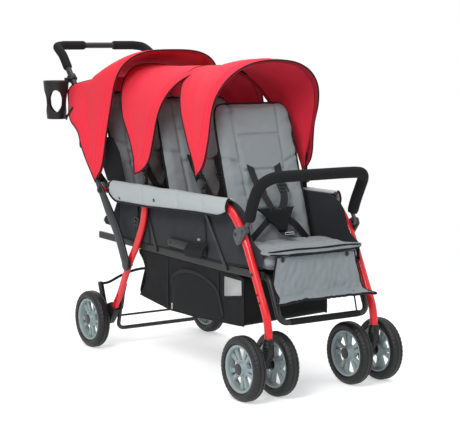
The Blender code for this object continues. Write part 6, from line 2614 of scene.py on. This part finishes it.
@dataclass
class SideFabric(Assembly):
    """The dark side panels, the pale pads folded over the armrest rails and what fastens them."""

    panel_inner: float = 0.1862
    panel_outer: float = 0.1908
    pad_rear: float = 0.255
    pad_front: float = -0.469
    pad_top: float = 0.599
    pad_outer: float = 0.2262
    strap_width: float = 0.02

    def panel_outline(self) -> list[Pair]:
        """Return the outline of a side panel.

        Returns:
            The outline of a side panel.
        """
        pairs = [
            (-0.614, 0.396), (-0.43, 0.388), (-0.271, 0.391), (-0.096, 0.395), (0.103, 0.396),
            (0.224, 0.401)
        ]
        pairs += [(0.232, 0.47), (0.236, 0.588), (-0.3, 0.588), (-0.417, 0.588), (-0.48, 0.58)]
        pairs += [(-0.53, 0.545), (-0.557, 0.48), (-0.614, 0.442)]
        return pairs

    def panel(self, side: str, sign: int) -> None:
        """Build one side panel: a hanging cloth wall with a bound lower edge.

        Args:
            side: left or right.
            sign: 1 on the left, -1 on the right.
        """
        outline = self.panel_outline()
        lower = smooth_pairs(outline[:6], 8)
        upper = smooth_pairs(outline[:6:-1], 8)
        middle = sign * (self.panel_inner + self.panel_outer) / 2

        def lay(u: float, v: float) -> Vector:
            """Place a point of the cloth between the two edges.

            Args:
                u: from -1 to 1 across.
                v: from -1 to 1 along.

            Returns:
                The point.
            """
            y = -0.613 + (u + 1) / 2 * 0.847
            low = height_on(lower, y)
            high = height_on(upper, y)
            z = low + (v + 1) / 2 * (high - low)
            folds = 0.0024 * ripple(y * 9 + z * 5, z * 7 - y * 3, 2.0 + sign)
            folds += 0.0018 * ripple(y * 26 + z * 12, z * 12, 6.0 + sign)
            fade = min(1.0, (1 - abs(v)) * 5)
            return Vector((middle + folds * fade, y, z))

        bm = bmesh.new()
        grid_into(bm, 170, 44, lay)
        made = piece(
            f"panel_cloth_{side}", bm, self.finishes.charcoal, "chassis", [f"side_panel_{side}"],
            "charcoal_cloth"
        )
        thicken(made, 0.0016)
        trim = bmesh.new()
        border = [Vector((middle, p.y, p.z)) for p in (lay(-1 + 2 * i / 60, -1) for i in range(61))]
        sweep_into(trim, border, soft_section(0.0042, 0.0075, 4.0, 14))
        for y in (-0.312, 0.037):
            low = height_on(lower, y) + 0.004
            route = [
                Vector((middle + sign * 0.0016, y + 0.02 * t, low + (0.586 - low) * t))
                for t in (i / 16 for i in range(17))
            ]
            sweep_into(trim, route, soft_section(0.0016, 0.009, 4.0, 12))
        piece(f"panel_trim_{side}", trim, self.finishes.piping, "chassis", (), "black_cloth")

    def low_edge(self, y: float) -> float:
        """Return the height of a pad's wavy lower edge at y.

        Args:
            y: the place along the stroller.

        Returns:
            The height of a pad's wavy lower edge at y.
        """
        rear = max(0.0, min(1.0, (y - 0.189) / (0.256 - 0.189)))
        front = max(0.0, min(1.0, (-0.41 - y) / 0.06))
        return 0.527 + 0.01 * max(0.0, min(1.0, -y / 0.3)) + 0.03 * rear**2 + 0.016 * front**2

    def pad(self, side: str, sign: int) -> None:
        """Build one pad folded over the rail, its piped lower edge and its snaps.

        Args:
            side: left or right.
            sign: 1 on the left, -1 on the right.
        """

        def lay(u: float, v: float) -> Vector:
            """Place a point: u runs from the rear to the front, v from the inner edge over the top and down.

            Args:
                u: from -1 to 1 across.
                v: from -1 to 1 along.

            Returns:
                The point.
            """
            y = self.pad_rear + (u + 1) / 2 * (self.pad_front - self.pad_rear)
            t = (v + 1) / 2
            low = self.low_edge(y) + 0.0035
            puff = 0.0016 * math.sin(y * 41.0) + 0.0034 * ripple(y * 14, t * 4, 3.0 + sign)
            puff += 0.0016 * ripple(y * 38, t * 6, 5.0 + sign)
            for seam in (0.03, -0.19, -0.335):
                puff -= 0.003 * math.exp(-(((y - seam) / 0.008) ** 2))
            droop = 0.0026 * ripple(y * 9, 1.0, sign) - 0.0016
            top = self.pad_top - 0.0012 + droop
            path = [(0.1925, 0.5882), (0.194, top - 0.003), (0.201, top), (0.213, top + 0.0002)]
            path += [(self.pad_outer - 0.0045, top - 0.006), (self.pad_outer - 0.001, top - 0.018)]
            path += [
                (self.pad_outer + 0.0022 + puff, (top + low) / 2 - 0.004), (self.pad_outer - 0.0015, low)
            ]
            place = t * (len(path) - 1)
            i = min(int(place), len(path) - 2)
            share = place - i
            before, start, end, after = (
                Vector(path[max(0, min(len(path) - 1, i + k))])
                for k in (-1, 0, 1, 2)
            )
            a, b = 2 * start, (end - before) * share
            c = (2 * before - 5 * start + 4 * end - after) * share**2
            d = (3 * start - before - 3 * end + after) * share**3
            x, z = (a + b + c + d) / 2
            close = min(1.0, (1 - abs(u)) * 26)
            x -= 0.0035 * (1 - close) ** 2 * min(1.0, t * 3)
            return Vector((sign * x, y, z))

        bm = bmesh.new()
        grid_into(bm, 220, 40, lay)
        made = piece(
            f"pad_cloth_{side}", bm, self.finishes.pad, "chassis", [f"side_pad_{side}"], "pale_cloth", 60.0
        )
        thicken(made, 0.0042, -1.0 if sign > 0 else 1.0)
        subdivide(made, 1)
        trim = bmesh.new()
        hem = [lay(-1 + 2 * i / 150, 1.0) + Vector((sign * 0.0004, 0, -0.001)) for i in range(151)]
        start_edge = [
            lay(-1.0, v) + Vector((sign * 0.0008, 0.0, 0.0))
            for v in (-0.1, 0.1, 0.3, 0.5, 0.7, 0.85)
        ]
        end_edge = [lay(1.0, v) + Vector((sign * 0.0008, 0.0, 0.0)) for v in (0.85, 0.7, 0.5, 0.3, 0.1, -0.1)]
        sweep_into(trim, [*start_edge, *hem, *end_edge], round_section(0.0074, steps=12))
        lines = bmesh.new()
        for y in (0.03, -0.19, -0.335):
            u = 2 * (y - self.pad_rear) / (self.pad_front - self.pad_rear) - 1
            line = [lay(u, v / 20) + Vector((sign * 0.0004, 0, 0.0003)) for v in range(-4, 20)]
            sweep_into(lines, line, round_section(0.0014, steps=6), (0, 1, 0))
        piece(f"pad_stitches_{side}", lines, self.finishes.pad, "chassis", (), "pale_cloth")
        piece(f"pad_piping_{side}", trim, self.finishes.piping, "chassis", (), "black_cloth")
        studs = bmesh.new()
        for y, z in ((0.175, 0.545), (-0.05, 0.556), (-0.278, 0.561)):
            Snap(y, z).add_to(studs, sign * (self.pad_outer + 0.0006))
        piece(f"pad_snaps_{side}", studs, self.finishes.cap, "chassis", (), "black_plastic")

    def straps(self, side: str, sign: int) -> None:
        """Build the compression strap with its ladder lock at the rear of a panel.

        Args:
            side: left or right.
            sign: 1 on the left, -1 on the right.
        """
        straps = bmesh.new()
        locks = bmesh.new()
        x = sign * (self.panel_outer + 0.003)
        ribbon = soft_section(0.0018, self.strap_width, 6.0, 18)
        route = [Vector((x, 0.128, 0.59)), Vector((x, 0.12, 0.52)), Vector((x + sign * 0.002, 0.108, 0.45))]
        route.append(Vector((x + sign * 0.001, 0.094, 0.404)))
        sweep_into(straps, smooth_route(route, 6), ribbon)
        loose = [
            Vector((x + sign * 0.003, 0.11, 0.462)), Vector((x + sign * 0.006, 0.112, 0.43)),
            Vector((x + sign * 0.004, 0.101, 0.402))
        ]
        sweep_into(straps, smooth_route(loose, 6), ribbon)
        tilt = Matrix.Rotation(math.radians(10), 4, "X")
        place = Matrix.Translation((x + sign * 0.003, 0.1115, 0.466)) @ tilt
        for along, deep in ((-0.013, 0.0045), (0.0, 0.0055), (0.013, 0.0045)):
            block_into(locks, place @ Matrix.Translation((0, 0, along)), (deep, 0.028, 0.005), 0.0012)
        for across in (-0.0125, 0.0125):
            block_into(locks, place @ Matrix.Translation((0, across, 0)), (0.0042, 0.004, 0.03))
        piece(f"panel_straps_{side}", straps, self.finishes.webbing, "chassis", (), "webbing")
        piece(f"panel_locks_{side}", locks, self.finishes.cap, "chassis", (), "black_plastic")

    def rail_flap(self, side: str, sign: int) -> None:
        """Build the cloth tab that laps over the seat rail and the bolt box behind it.

        Args:
            side: left or right.
            sign: 1 on the left, -1 on the right.
        """
        bm = bmesh.new()
        x = 0.2172

        def lay(u: float, v: float) -> Vector:
            """Place a point: u to the rear, v up.

            Args:
                u: from -1 to 1 across.
                v: from -1 to 1 along.

            Returns:
                The point.
            """
            t = (v + 1) / 2
            y = (-0.317 - 0.0215 * t) * (1 - u) / 2 + (-0.223 + 0.009 * t) * (1 + u) / 2
            z = 0.3905 + t * (0.0525 * (1 - u) / 2 + 0.039 * (1 + u) / 2)
            fold = 0.0014 * ripple(y * 30, z * 26, sign)
            return Vector((sign * (x + fold - 0.016 * max(0.0, t - 0.55) / 0.45), y, z))

        grid_into(bm, 36, 20, lay)
        made = piece(f"rail_flap_{side}", bm, self.finishes.dark, "chassis", (), "black_cloth", 60.0)
        thicken(made, 0.0016)
        tail = bmesh.new()
        around = [
            (0.225, 0.428), (0.34, 0.434), (0.354, 0.448), (0.34, 0.464), (0.29, 0.47), (0.262, 0.52),
            (0.228, 0.56)
        ]
        low, high = sorted((sign * 0.179, sign * 0.19))
        plate_into(
            tail, soft_corners(around, [0.004, 0.006, 0.008, 0.008, 0.02, 0.02, 0.004], 5), low, high, 0.004
        )
        for vert in tail.verts:
            vert.co.x += 0.004 * noise.noise(vert.co * 28.0)
        piece(f"panel_tail_{side}", tail, self.finishes.dark, "chassis", (), "black_cloth", 80.0)
        wing = bmesh.new()
        around = [(0.222, 0.584), (0.348, 0.586), (0.396, 0.66), (0.404, 0.74), (0.31, 0.742), (0.262, 0.69)]
        low, high = sorted((sign * 0.173, sign * 0.1755))
        plate_into(wing, soft_corners(around, [0.004, 0.01, 0.03, 0.012, 0.02, 0.03], 5), low, high, 0.0008)
        piece(f"rear_wing_{side}", wing, self.finishes.dark, "chassis", (), "black_cloth", 80.0)
        box = bmesh.new()
        outline = [(-0.226, 0.404), (-0.092, 0.408), (-0.09, 0.43), (-0.12, 0.434), (-0.224, 0.432)]
        low, high = sorted((sign * 0.193, sign * 0.201))
        plate_into(box, soft_corners(outline, [0.004] * 5, 4), low, high, 0.0016)
        for y in (-0.108, -0.206):
            dome_into(box, (sign * 0.2008, y, 0.42), 0.0044, 0.002, (sign, 0, 0))
        piece(f"rail_box_{side}", box, self.finishes.black, "chassis", (), "black_plastic")

    def build(self) -> None:
        """Build both sides."""
        for side, sign in SIDES:
            self.panel(side, sign)
            self.pad(side, sign)
            self.straps(side, sign)
            self.rail_flap(side, sign)


@dataclass
class BellyBar(Assembly):
    """The foam-covered bar in front of the first seat and the two brackets that it swings on."""

    pivot: Pair = (-0.554, 0.505)
    mount: Pair = (-0.518, 0.492)
    bar_x: float = 0.2
    tongue_x: float = 0.2105
    radius: float = 0.0178
    bracket_x: float = 0.2168
    bracket_depth: float = 0.007

    def build(self) -> None:
        """Build the bar and both brackets."""
        x = self.bar_x
        half = [
            (x, -0.56, 0.537), (x + 0.001, -0.574, 0.576), (x + 0.001, -0.597, 0.622),
            (x - 0.004, -0.615, 0.648)
        ]
        half += [
            (x - 0.021, -0.632, 0.665), (x - 0.047, -0.64, 0.672), (0.095, -0.6445, 0.674),
            (0.0, -0.645, 0.674)
        ]
        side_route = smooth_route(half, 8)
        bm = bmesh.new()
        route = mirrored(side_route)
        ends = [0.86, 0.95] + [1.0] * (len(route) - 4) + [0.95, 0.86]
        sweep_into(bm, route, round_section(2 * self.radius, steps=32), sizes=ends)
        piece("belly_bar_foam", bm, self.finishes.foam, "armrest_bar", ["belly_bar"], "foam")
        core = bmesh.new()
        for _, sign in SIDES:
            points = [
                (self.tongue_x, *self.pivot), (self.tongue_x, -0.556, 0.518), (x, -0.56, 0.534),
                (x, -0.568, 0.554)
            ]
            sweep_into(
                core, rounded_route([(sign * a, b, c) for a, b, c in points], 0.008, 5),
                soft_section(0.012, 0.012, 2.6, 16)
            )
            disc_into(core, (sign * self.tongue_x, *self.pivot), 0.011, 0.0118, (1, 0, 0), 0.0015)
        piece("belly_bar_core", core, self.finishes.bracket, "armrest_bar", (), "grey_plastic")
        outline = [(-0.506, 0.486), (-0.525, 0.458), (-0.542, 0.464), (-0.57, 0.5), (-0.562, 0.52)]
        outline += [(-0.535, 0.518), (-0.512, 0.506)]
        for side, sign in SIDES:
            bracket = bmesh.new()
            low, high = sorted((sign * self.bracket_x, sign * (self.bracket_x + self.bracket_depth)))
            plate_into(
                bracket, soft_corners(outline, [0.006, 0.008, 0.009, 0.009, 0.009, 0.009, 0.008], 5), low,
                high, 0.0018
            )
            ridge = [(-0.529, 0.466), (-0.54, 0.47), (-0.56, 0.497), (-0.552, 0.501)]
            outer = sign * (self.bracket_x + self.bracket_depth)
            low, high = sorted((outer - sign * 0.001, outer + sign * 0.0014))
            plate_into(bracket, soft_corners(ridge, [0.003] * 4, 4), low, high, 0.0006)
            piece(
                f"bracket_plate_{side}", bracket, self.finishes.bracket, "chassis", [f"bar_bracket_{side}"],
                "grey_plastic"
            )
            pins = bmesh.new()
            disc_into(pins, (sign * (self.tongue_x + 0.001), *self.pivot), 0.0042, 0.015, (1, 0, 0))
            dome_into(pins, (outer, *self.mount), 0.0068, 0.0026, (sign, 0, 0))
            dome_into(pins, (outer, *self.pivot), 0.0052, 0.002, (sign, 0, 0))
            piece(f"bracket_pins_{side}", pins, self.finishes.cap, "chassis", (), "black_plastic")


# Footrest and basket


@dataclass
class Footrest(Assembly):
    """The bent tube in front of the first seat and the cloth flap behind the calves."""

    tube: float = 0.0095
    half_width: float = 0.1684
    flap_half: float = 0.191
    flap_line: tuple[Pair, ...] = (
        (-0.6313, 0.427),
        (-0.634, 0.372),
        (-0.6461, 0.332),
        (-0.6601, 0.312),
        (-0.679, 0.3016),
        (-0.6975, 0.3006),
    )

    def frame_tube(self) -> None:
        """Build the tube with its broad lower sleeve and the plugs at the rails."""
        x = self.half_width
        half = [(x, -0.56, 0.369), (x, -0.62, 0.364), (x, -0.676, 0.236)]
        route = rounded_route([*half, *[(-a, b, c) for a, b, c in half[::-1]]], 0.028, 8)
        bm = bmesh.new()
        sweep_into(bm, route, round_section(2 * self.tube - 0.0004, steps=20))
        piece("footrest_tube", bm, self.finishes.steel, "chassis", ["footrest_frame"], "dark_steel")
        sleeve = bmesh.new()
        across = [Vector((-0.134 + 0.268 * i / 24, -0.676, 0.236)) for i in range(25)]
        ends = [0.92] + [1.0] * 23 + [0.92]
        sweep_into(sleeve, across, soft_section(0.0205, 0.0205, 2.4, 24), (0, 1, 0), sizes=ends)
        strap = [Vector((0.118, -0.67 - 0.004 * i, 0.308 - 0.015 * i)) for i in range(5)]
        sweep_into(sleeve, strap, soft_section(0.0052, 0.003, 4.0, 12), (1, 0, 0))
        piece("footrest_sleeve", sleeve, self.finishes.foam, "chassis", (), "foam")

    def flap(self) -> None:
        """Build the flap: a cloth lip that turns forward and flares at its corners."""
        centre = smooth_pairs(self.flap_line, 8)
        length = len(centre) - 1

        def lay(u: float, v: float) -> Vector:
            """Place a point: u runs across, v from the top to the lip.

            Args:
                u: from -1 to 1 across.
                v: from -1 to 1 along.

            Returns:
                The point.
            """
            down = (v + 1) / 2
            place = down * length
            i = min(int(place), length - 1)
            (y0, z0), (y1, z1) = centre[i], centre[i + 1]
            y = y0 + (y1 - y0) * (place - i)
            z = z0 + (z1 - z0) * (place - i)
            late = max(0.0, (down - 0.62) / 0.38)
            tip = abs(u) ** 4
            lift = 0.0095 * tip * late
            pull = 0.15 + 0.018 * min(1.0, down / 0.3) - 0.004 * max(0.0, min(1.0, (down - 0.35) / 0.3))
            pull += (self.flap_half - 0.164) * late**0.8
            round_off = 0.014 * max(0.0, (abs(u) - 0.9) / 0.1) ** 2 * late**2
            swell = 0.0062 * ripple(u * 3.4, down * 3.0, 1.0) * min(1.0, down * 3)
            swell += 0.0034 * ripple(u * 9.0 + down * 4, down * 7.0, 4.0)
            return Vector((u * pull, y - lift + swell + round_off, z - 0.5 * lift + abs(swell) * late))

        bm = bmesh.new()
        grid_into(bm, 120, 44, lay)
        made = piece("flap_cloth", bm, self.finishes.flap, "chassis", ["calf_flap"], "grey_cloth", 60.0)
        thicken(made, 0.003)
        subdivide(made, 1)
        trim = bmesh.new()
        sides = [lay(-1.0, -1 + 2 * i / 24) for i in range(24)]
        hem = [lay(-1 + 2 * i / 80, 1.0) for i in range(81)]
        back = [lay(1.0, 1 - 2 * (i + 1) / 24) for i in range(24)]
        edge = [*sides, *hem, *back]
        ends = [0.75 if i < 18 or i > len(edge) - 19 else 1.0 for i in range(len(edge))]
        sweep_into(trim, edge, round_section(0.008, steps=12), (0, 1, 0), ends)
        piece("flap_piping", trim, self.finishes.piping, "chassis", (), "black_cloth")
        studs = bmesh.new()
        for u, v in ((-0.83, -0.94), (0.79, -0.94)):
            dome_into(studs, lay(u, v) + Vector((0, -0.0022, 0)), 0.0074, 0.0026, (0, -1, 0.1))
        piece("flap_snaps", studs, self.finishes.cap, "chassis", (), "black_plastic")

    def build(self) -> None:
        """Build the footrest."""
        self.frame_tube()
        self.flap()


@dataclass
class Basket(Assembly):
    """The cloth basket slung under the seats, with its side pocket and its net window."""

    half_width: float = 0.1805
    cloth: float = 0.0016

    def outline(self) -> list[Pair]:
        """Return the basket's side outline from the top of its front, under it, to the top of its rear.

        Returns:
            The basket's side outline from the top of its front, under it, to the top of its rear.
        """
        pairs = [(-0.464, 0.362), (-0.498, 0.348), (-0.505, 0.199), (-0.203, 0.1868), (-0.08, 0.1868)]
        pairs += [(0.128, 0.2125), (0.085, 0.311), (0.114, 0.36)]
        return pairs

    def top_at(self, y: float) -> float:
        """Return the height of the basket's upper edge at y."""
        edge = [(-0.498, 0.348), (-0.464, 0.36), (-0.4135, 0.359), (0.0, 0.369), (0.114, 0.37)]
        return height_on(edge, y)

    def floor_at(self, y: float) -> float:
        """Return the height of the basket's underside at y."""
        edge = [(-0.505, 0.199), (-0.203, 0.1868), (-0.08, 0.1868), (0.128, 0.2125)]
        return height_on(edge, y)

    def slant(self, u: float, y: float) -> float:
        """Return how far back the slanting front wall stands at u across and y along."""
        return 0.045 * (u + 1) / 2 * max(0.0, min(1.0, (-0.4 - y) / 0.06))

    def in_window(self, y: float, z: float) -> bool:
        """Tell whether (y, z) lies in the net window.

        Args:
            y: the place along the stroller.
            z: the height.

        Returns:
            Whether it does.
        """
        if not -0.494 < y < -0.389:
            return False
        low = 0.292 + (y + 0.494) / 0.105 * (0.277 - 0.292)
        return low < z < 0.3475

    def shell(self) -> Object:
        """Build the cloth: a floor with front and rear walls, and one wall on each side.

        Returns:
            The piece.
        """
        run = [Vector((0.0, y, z)) for y, z in smooth_turns(self.outline(), 0.02)]
        route = resample(run, 150)

        def lay(u: float, v: float) -> Vector:
            """Place a point of the floor strip: u across, v along the outline.

            Args:
                u: from -1 to 1 across.
                v: from -1 to 1 along.

            Returns:
                The point.
            """
            place = (v + 1) / 2 * (len(route) - 1)
            i = min(int(place), len(route) - 2)
            point = route[i].lerp(route[i + 1], place - i)
            point.y += self.slant(u, point.y)
            wave = 0.001 * ripple(u * 2.5, point.y * 9, point.z * 9)
            return Vector((u * self.half_width, point.y, point.z + max(0.0, wave)))

        bm = bmesh.new()
        grid_into(bm, 40, 150, lay)
        for _, sign in SIDES:

            def wall(u: float, v: float, sign: int = sign) -> Vector:
                """Place a point of a side wall: u to the rear, v up.

                Args:
                    u: from -1 at the front to 1 at the rear.
                    v: from -1 at the foot to 1 at the top.
                    sign: 1 on the left, -1 on the right.

                Returns:
                    The point.
                """
                t = (v + 1) / 2
                y = -0.504 + (u + 1) / 2 * 0.629
                low = self.floor_at(y)
                high = self.top_at(y)
                z = low + t * max(0.0, high - low)
                y += self.slant(sign, y)
                y -= max(0.0, u) ** 3 * 0.046 * math.sin(math.pi * min(1.0, t * 1.1)) ** 0.8
                fade = min(1.0, 8 * t, 10 * (1 - t)) * min(1.0, 14 * (1 - abs(u)))
                folds = 0.003 * ripple(y * 8 + z * 5, z * 6, 3.0 * sign)
                folds += 0.0016 * ripple(y * 24 - z * 9, z * 11, 5.0 + sign)
                return Vector((sign * (self.half_width - 0.0008 - fade * max(0.0, 0.0022 + folds)), y, z))

            grid_into(bm, 170, 40, wall)
        bmesh.ops.remove_doubles(bm, verts=bm.verts, dist=0.0004)
        doomed = [f for f in bm.faces if abs(f.normal.x) > 0.5 and self.in_window(*f.calc_center_median().yz)]
        bmesh.ops.delete(bm, geom=doomed, context="FACES")
        bmesh.ops.recalc_face_normals(bm, faces=bm.faces)
        made = piece("basket_cloth", bm, self.finishes.dark, "chassis", ["basket"], "black_cloth", 50.0)
        thicken(made, self.cloth)
        return made

    def window(self) -> None:
        """Build the net windows and the binding round them."""
        net = bmesh.new()
        trim = bmesh.new()
        corners = [
            (-0.492, 0.344), (-0.391, 0.347), (-0.389, 0.278), (-0.4, 0.277), (-0.49, 0.291),
            (-0.494, 0.297)
        ]
        loop = soft_corners(corners, [0.006, 0.006, 0.008, 0.004, 0.006, 0.006], 4)
        for _, sign in SIDES:
            x = sign * (self.half_width - 0.0016)
            verts = [net.verts.new((x, y, z)) for y, z in loop]
            net.faces.new(verts)
            route = [Vector((x + sign * 0.0004, y, z)) for y, z in loop]
            sweep_into(trim, [*route, route[0]], soft_section(0.0028, 0.007, 4.0, 12))
            rim = [
                Vector((sign * (self.half_width - 0.0008), y, self.top_at(y) - 0.003))
                for y in (-0.498 + 0.612 * i / 50 for i in range(51))
            ]
            sweep_into(trim, rim, soft_section(0.003, 0.009, 4.0, 12))
        for y, low, high in ((-0.362, 0.206, 0.352), (-0.06, 0.19, 0.36)):
            for _, sign in SIDES:
                bar = [
                    Vector((sign * (self.half_width - 0.0002), y, low + (high - low) * i / 12))
                    for i in range(13)
                ]
                sweep_into(trim, bar, soft_section(0.002, 0.008, 4.0, 12))
        made = piece("basket_window", net, self.finishes.net, "chassis", (), "pale_cloth")
        thicken(made, 0.0008)
        piece("basket_trim", trim, self.finishes.piping, "chassis", (), "black_cloth")

    def pocket(self, side: str, sign: int) -> None:
        """Build one bulging pocket with an arched zip.

        Args:
            side: left or right.
            sign: 1 on the left, -1 on the right.
        """
        arch_line = [
            (-0.087, 0.212), (-0.088, 0.29), (-0.118, 0.318), (-0.174, 0.332), (-0.25, 0.33),
            (-0.318, 0.312)
        ]
        arch_line += [(-0.352, 0.292), (-0.372, 0.258), (-0.389, 0.215)]
        border = smooth_pairs(arch_line, 8)

        def top(y: float) -> float:
            """Return the arch's height at y.

            Args:
                y: the place along the stroller.

            Returns:
                The arch's height at y.
            """
            hits = []
            for (y0, z0), (y1, z1) in zip(border, border[1:]):
                low, high = sorted((y0, y1))
                if low <= y <= high and high > low:
                    hits.append(z0 + (z1 - z0) * (y - y0) / (y1 - y0))
            return max(hits) if hits else 0.215

        def lay(u: float, v: float) -> Vector:
            """Place a point of the pocket's face.

            Args:
                u: from -1 to 1 across.
                v: from -1 to 1 along.

            Returns:
                The point.
            """
            y = -0.238 - u * 0.1505
            low = self.floor_at(y) + 0.008
            z = low + (v + 1) / 2 * (top(y) - low)
            bulge = math.sqrt(max(0.0, (1 - u**6) * (1 - abs(v) ** 5)))
            folds = 0.0009 * ripple(y * 22 + z * 18, z * 20, 4.0) * bulge
            return Vector((sign * (self.half_width - 0.002 + 0.0032 * bulge + folds), y, z))

        bm = bmesh.new()
        grid_into(bm, 90, 50, lay)
        made = piece(f"basket_pocket_{side}", bm, self.finishes.dark, "chassis", (), "black_cloth", 60.0)
        thicken(made, 0.0012)
        teeth = bmesh.new()
        outer = sign * (self.half_width + 0.0004)
        tape = resample(place_at(outer, border[6:]), 90)
        sweep_into(teeth, tape, soft_section(0.0016, 0.011, 5.0, 14), (1, 0, 0))
        sweep_into(
            teeth, [p + Vector((sign * 0.0008, 0, 0)) for p in tape], round_section(0.0022, 0.0032, 8),
            (1, 0, 0)
        )
        piece(f"basket_zip_{side}", teeth, self.finishes.zip, "chassis", (), "black_cloth")
        tag = bmesh.new()
        place = Matrix.Translation((sign * (self.half_width + 0.0008), -0.087, 0.203))
        block_into(tag, place, (0.0014, 0.0045, 0.02))
        piece(f"basket_pull_{side}", tag, self.finishes.tag, "chassis", (), "pale_cloth")

    def build(self) -> None:
        """Build the basket."""
        made = self.shell()
        self.window()
        for side, sign in SIDES:
            self.pocket(side, sign)


# Studio


@dataclass(frozen=True)
class Lamp:
    """One soft area light."""

    name: str
    place: Triple
    aim: Triple
    size: float
    power: float
    tint: Triple = (1.0, 1.0, 1.0)

    def build(self) -> None:
        """Add the light to the scene."""
        data = bpy.data.lights.new(self.name, "AREA")
        data.shape = "DISK"
        data.size = self.size
        data.energy = self.power
        data.color = self.tint
        lamp = bpy.data.objects.new(self.name, data)
        lamp.location = self.place
        lamp.rotation_euler = (Vector(self.aim) - Vector(self.place)).to_track_quat("-Z", "Y").to_euler()
        bpy.context.scene.collection.objects.link(lamp)


@dataclass
class Studio:
    """A white paper floor, soft lights and the camera of the photograph."""

    eye: Triple = (-2.7714, -4.2233, 1.0812)
    tilt: Triple = (83.226, 0.0, -34.315)
    lens: float = 116.57
    sensor: float = 36.0
    floor_size: float = 14.0
    floor_glow: float = 0.47
    fade_from: float = 1.5
    fade_to: float = 2.8
    lamps: tuple[Lamp, ...] = (
        Lamp("key", (-2.6, -2.2, 3.0), (0.0, 0.0, 0.5), 1.8, 105.0),
        Lamp("overhead", (0.3, 0.2, 3.6), (0.0, 0.0, 0.4), 3.0, 62.0),
        Lamp("fill", (2.8, -2.4, 1.8), (0.0, 0.0, 0.5), 2.4, 14.0),
        Lamp("back", (0.8, 3.2, 2.4), (0.0, 0.0, 0.6), 2.2, 24.0),
    )

    def floor(self) -> None:
        """Lay the floor."""
        bm = bmesh.new()
        bmesh.ops.create_grid(bm, x_segments=1, y_segments=1, size=self.floor_size / 2)
        mesh = bpy.data.meshes.new("paper_floor")
        bm.to_mesh(mesh)
        bm.free()
        floor = bpy.data.objects.new("paper_floor", mesh)
        bpy.context.scene.collection.objects.link(floor)
        paper = bpy.data.materials.new("white paper")
        paper.use_nodes = True
        tree = paper.node_tree
        tree.nodes.clear()
        wiring = Wiring(tree)
        shader = wiring.node(
            "BsdfPrincipled",
            Roughness=0.9,
            Base_Color=(0.84, 0.84, 0.845, 1.0),
            Specular_IOR_Level=0.0,
            Emission_Color=(1.0, 1.0, 1.0, 1.0),
            Emission_Strength=self.floor_glow,
        )
        place = wiring.node("TexCoord").outputs["Object"]
        away = wiring.node("VectorMath", operation="LENGTH")
        wiring.link(place, away.inputs[0])
        fade = wiring.node(
            "MapRange", interpolation_type="SMOOTHSTEP", From_Min=self.fade_from, From_Max=self.fade_to
        )
        wiring.link(away.outputs["Value"], fade.inputs["Value"])
        clear = wiring.node("BsdfTransparent")
        mix = wiring.node("MixShader")
        wiring.link(fade.outputs["Result"], mix.inputs[0])
        wiring.link(shader.outputs[0], mix.inputs[1])
        wiring.link(clear.outputs[0], mix.inputs[2])
        wiring.link(mix.outputs[0], wiring.node("OutputMaterial").inputs["Surface"])
        mesh.materials.append(paper)

    def world(self) -> None:
        """Light the air softly and keep what lies behind the floor white."""
        world = bpy.data.worlds.new("studio air")
        world.use_nodes = True
        tree = world.node_tree
        tree.nodes.clear()
        wiring = Wiring(tree)
        path = wiring.node("LightPath")
        seen = wiring.sum("MAXIMUM", path.outputs["Is Camera Ray"], path.outputs["Is Glossy Ray"])
        seen = wiring.sum("MAXIMUM", seen, path.outputs["Is Transmission Ray"])
        soft = wiring.node("Background", Color=(0.95, 0.97, 1.0, 1.0), Strength=0.45)
        white = wiring.node("Background", Color=(1.0, 1.0, 1.0, 1.0))
        mix = wiring.node("MixShader")
        wiring.link(seen, mix.inputs[0])
        wiring.link(soft.outputs[0], mix.inputs[1])
        wiring.link(white.outputs[0], mix.inputs[2])
        output = wiring.node("OutputWorld")
        wiring.link(mix.outputs[0], output.inputs["Surface"])
        bpy.context.scene.world = world

    def camera(self) -> None:
        """Stand the camera where the photograph was taken from."""
        data = bpy.data.cameras.new("photo camera")
        data.lens = self.lens
        data.sensor_width = self.sensor
        data.clip_end = 40.0
        camera = bpy.data.objects.new("photo_camera", data)
        camera.location = self.eye
        camera.rotation_euler = [math.radians(a) for a in self.tilt]
        bpy.context.scene.collection.objects.link(camera)
        bpy.context.scene.camera = camera

    def build(self) -> None:
        """Set the studio up."""
        bpy.context.scene.view_settings.view_transform = "Standard"
        self.floor()
        self.world()
        for lamp in self.lamps:
            lamp.build()
        self.camera()


def main() -> None:
    """Build the stroller and its studio."""
    logging.basicConfig(level=logging.INFO, format="%(message)s")
    finishes = Finishes()
    Studio().build()
    for assembly in (Wheels, Casters, MainFrame, RearFrame, Handle, Canopies):
        assembly(finishes).build()
    Seats(finishes).build(Upholstery())
    for assembly in (SideFabric, BellyBar, Footrest, Basket):
        assembly(finishes).build()


if __name__ == "__main__":
    main()
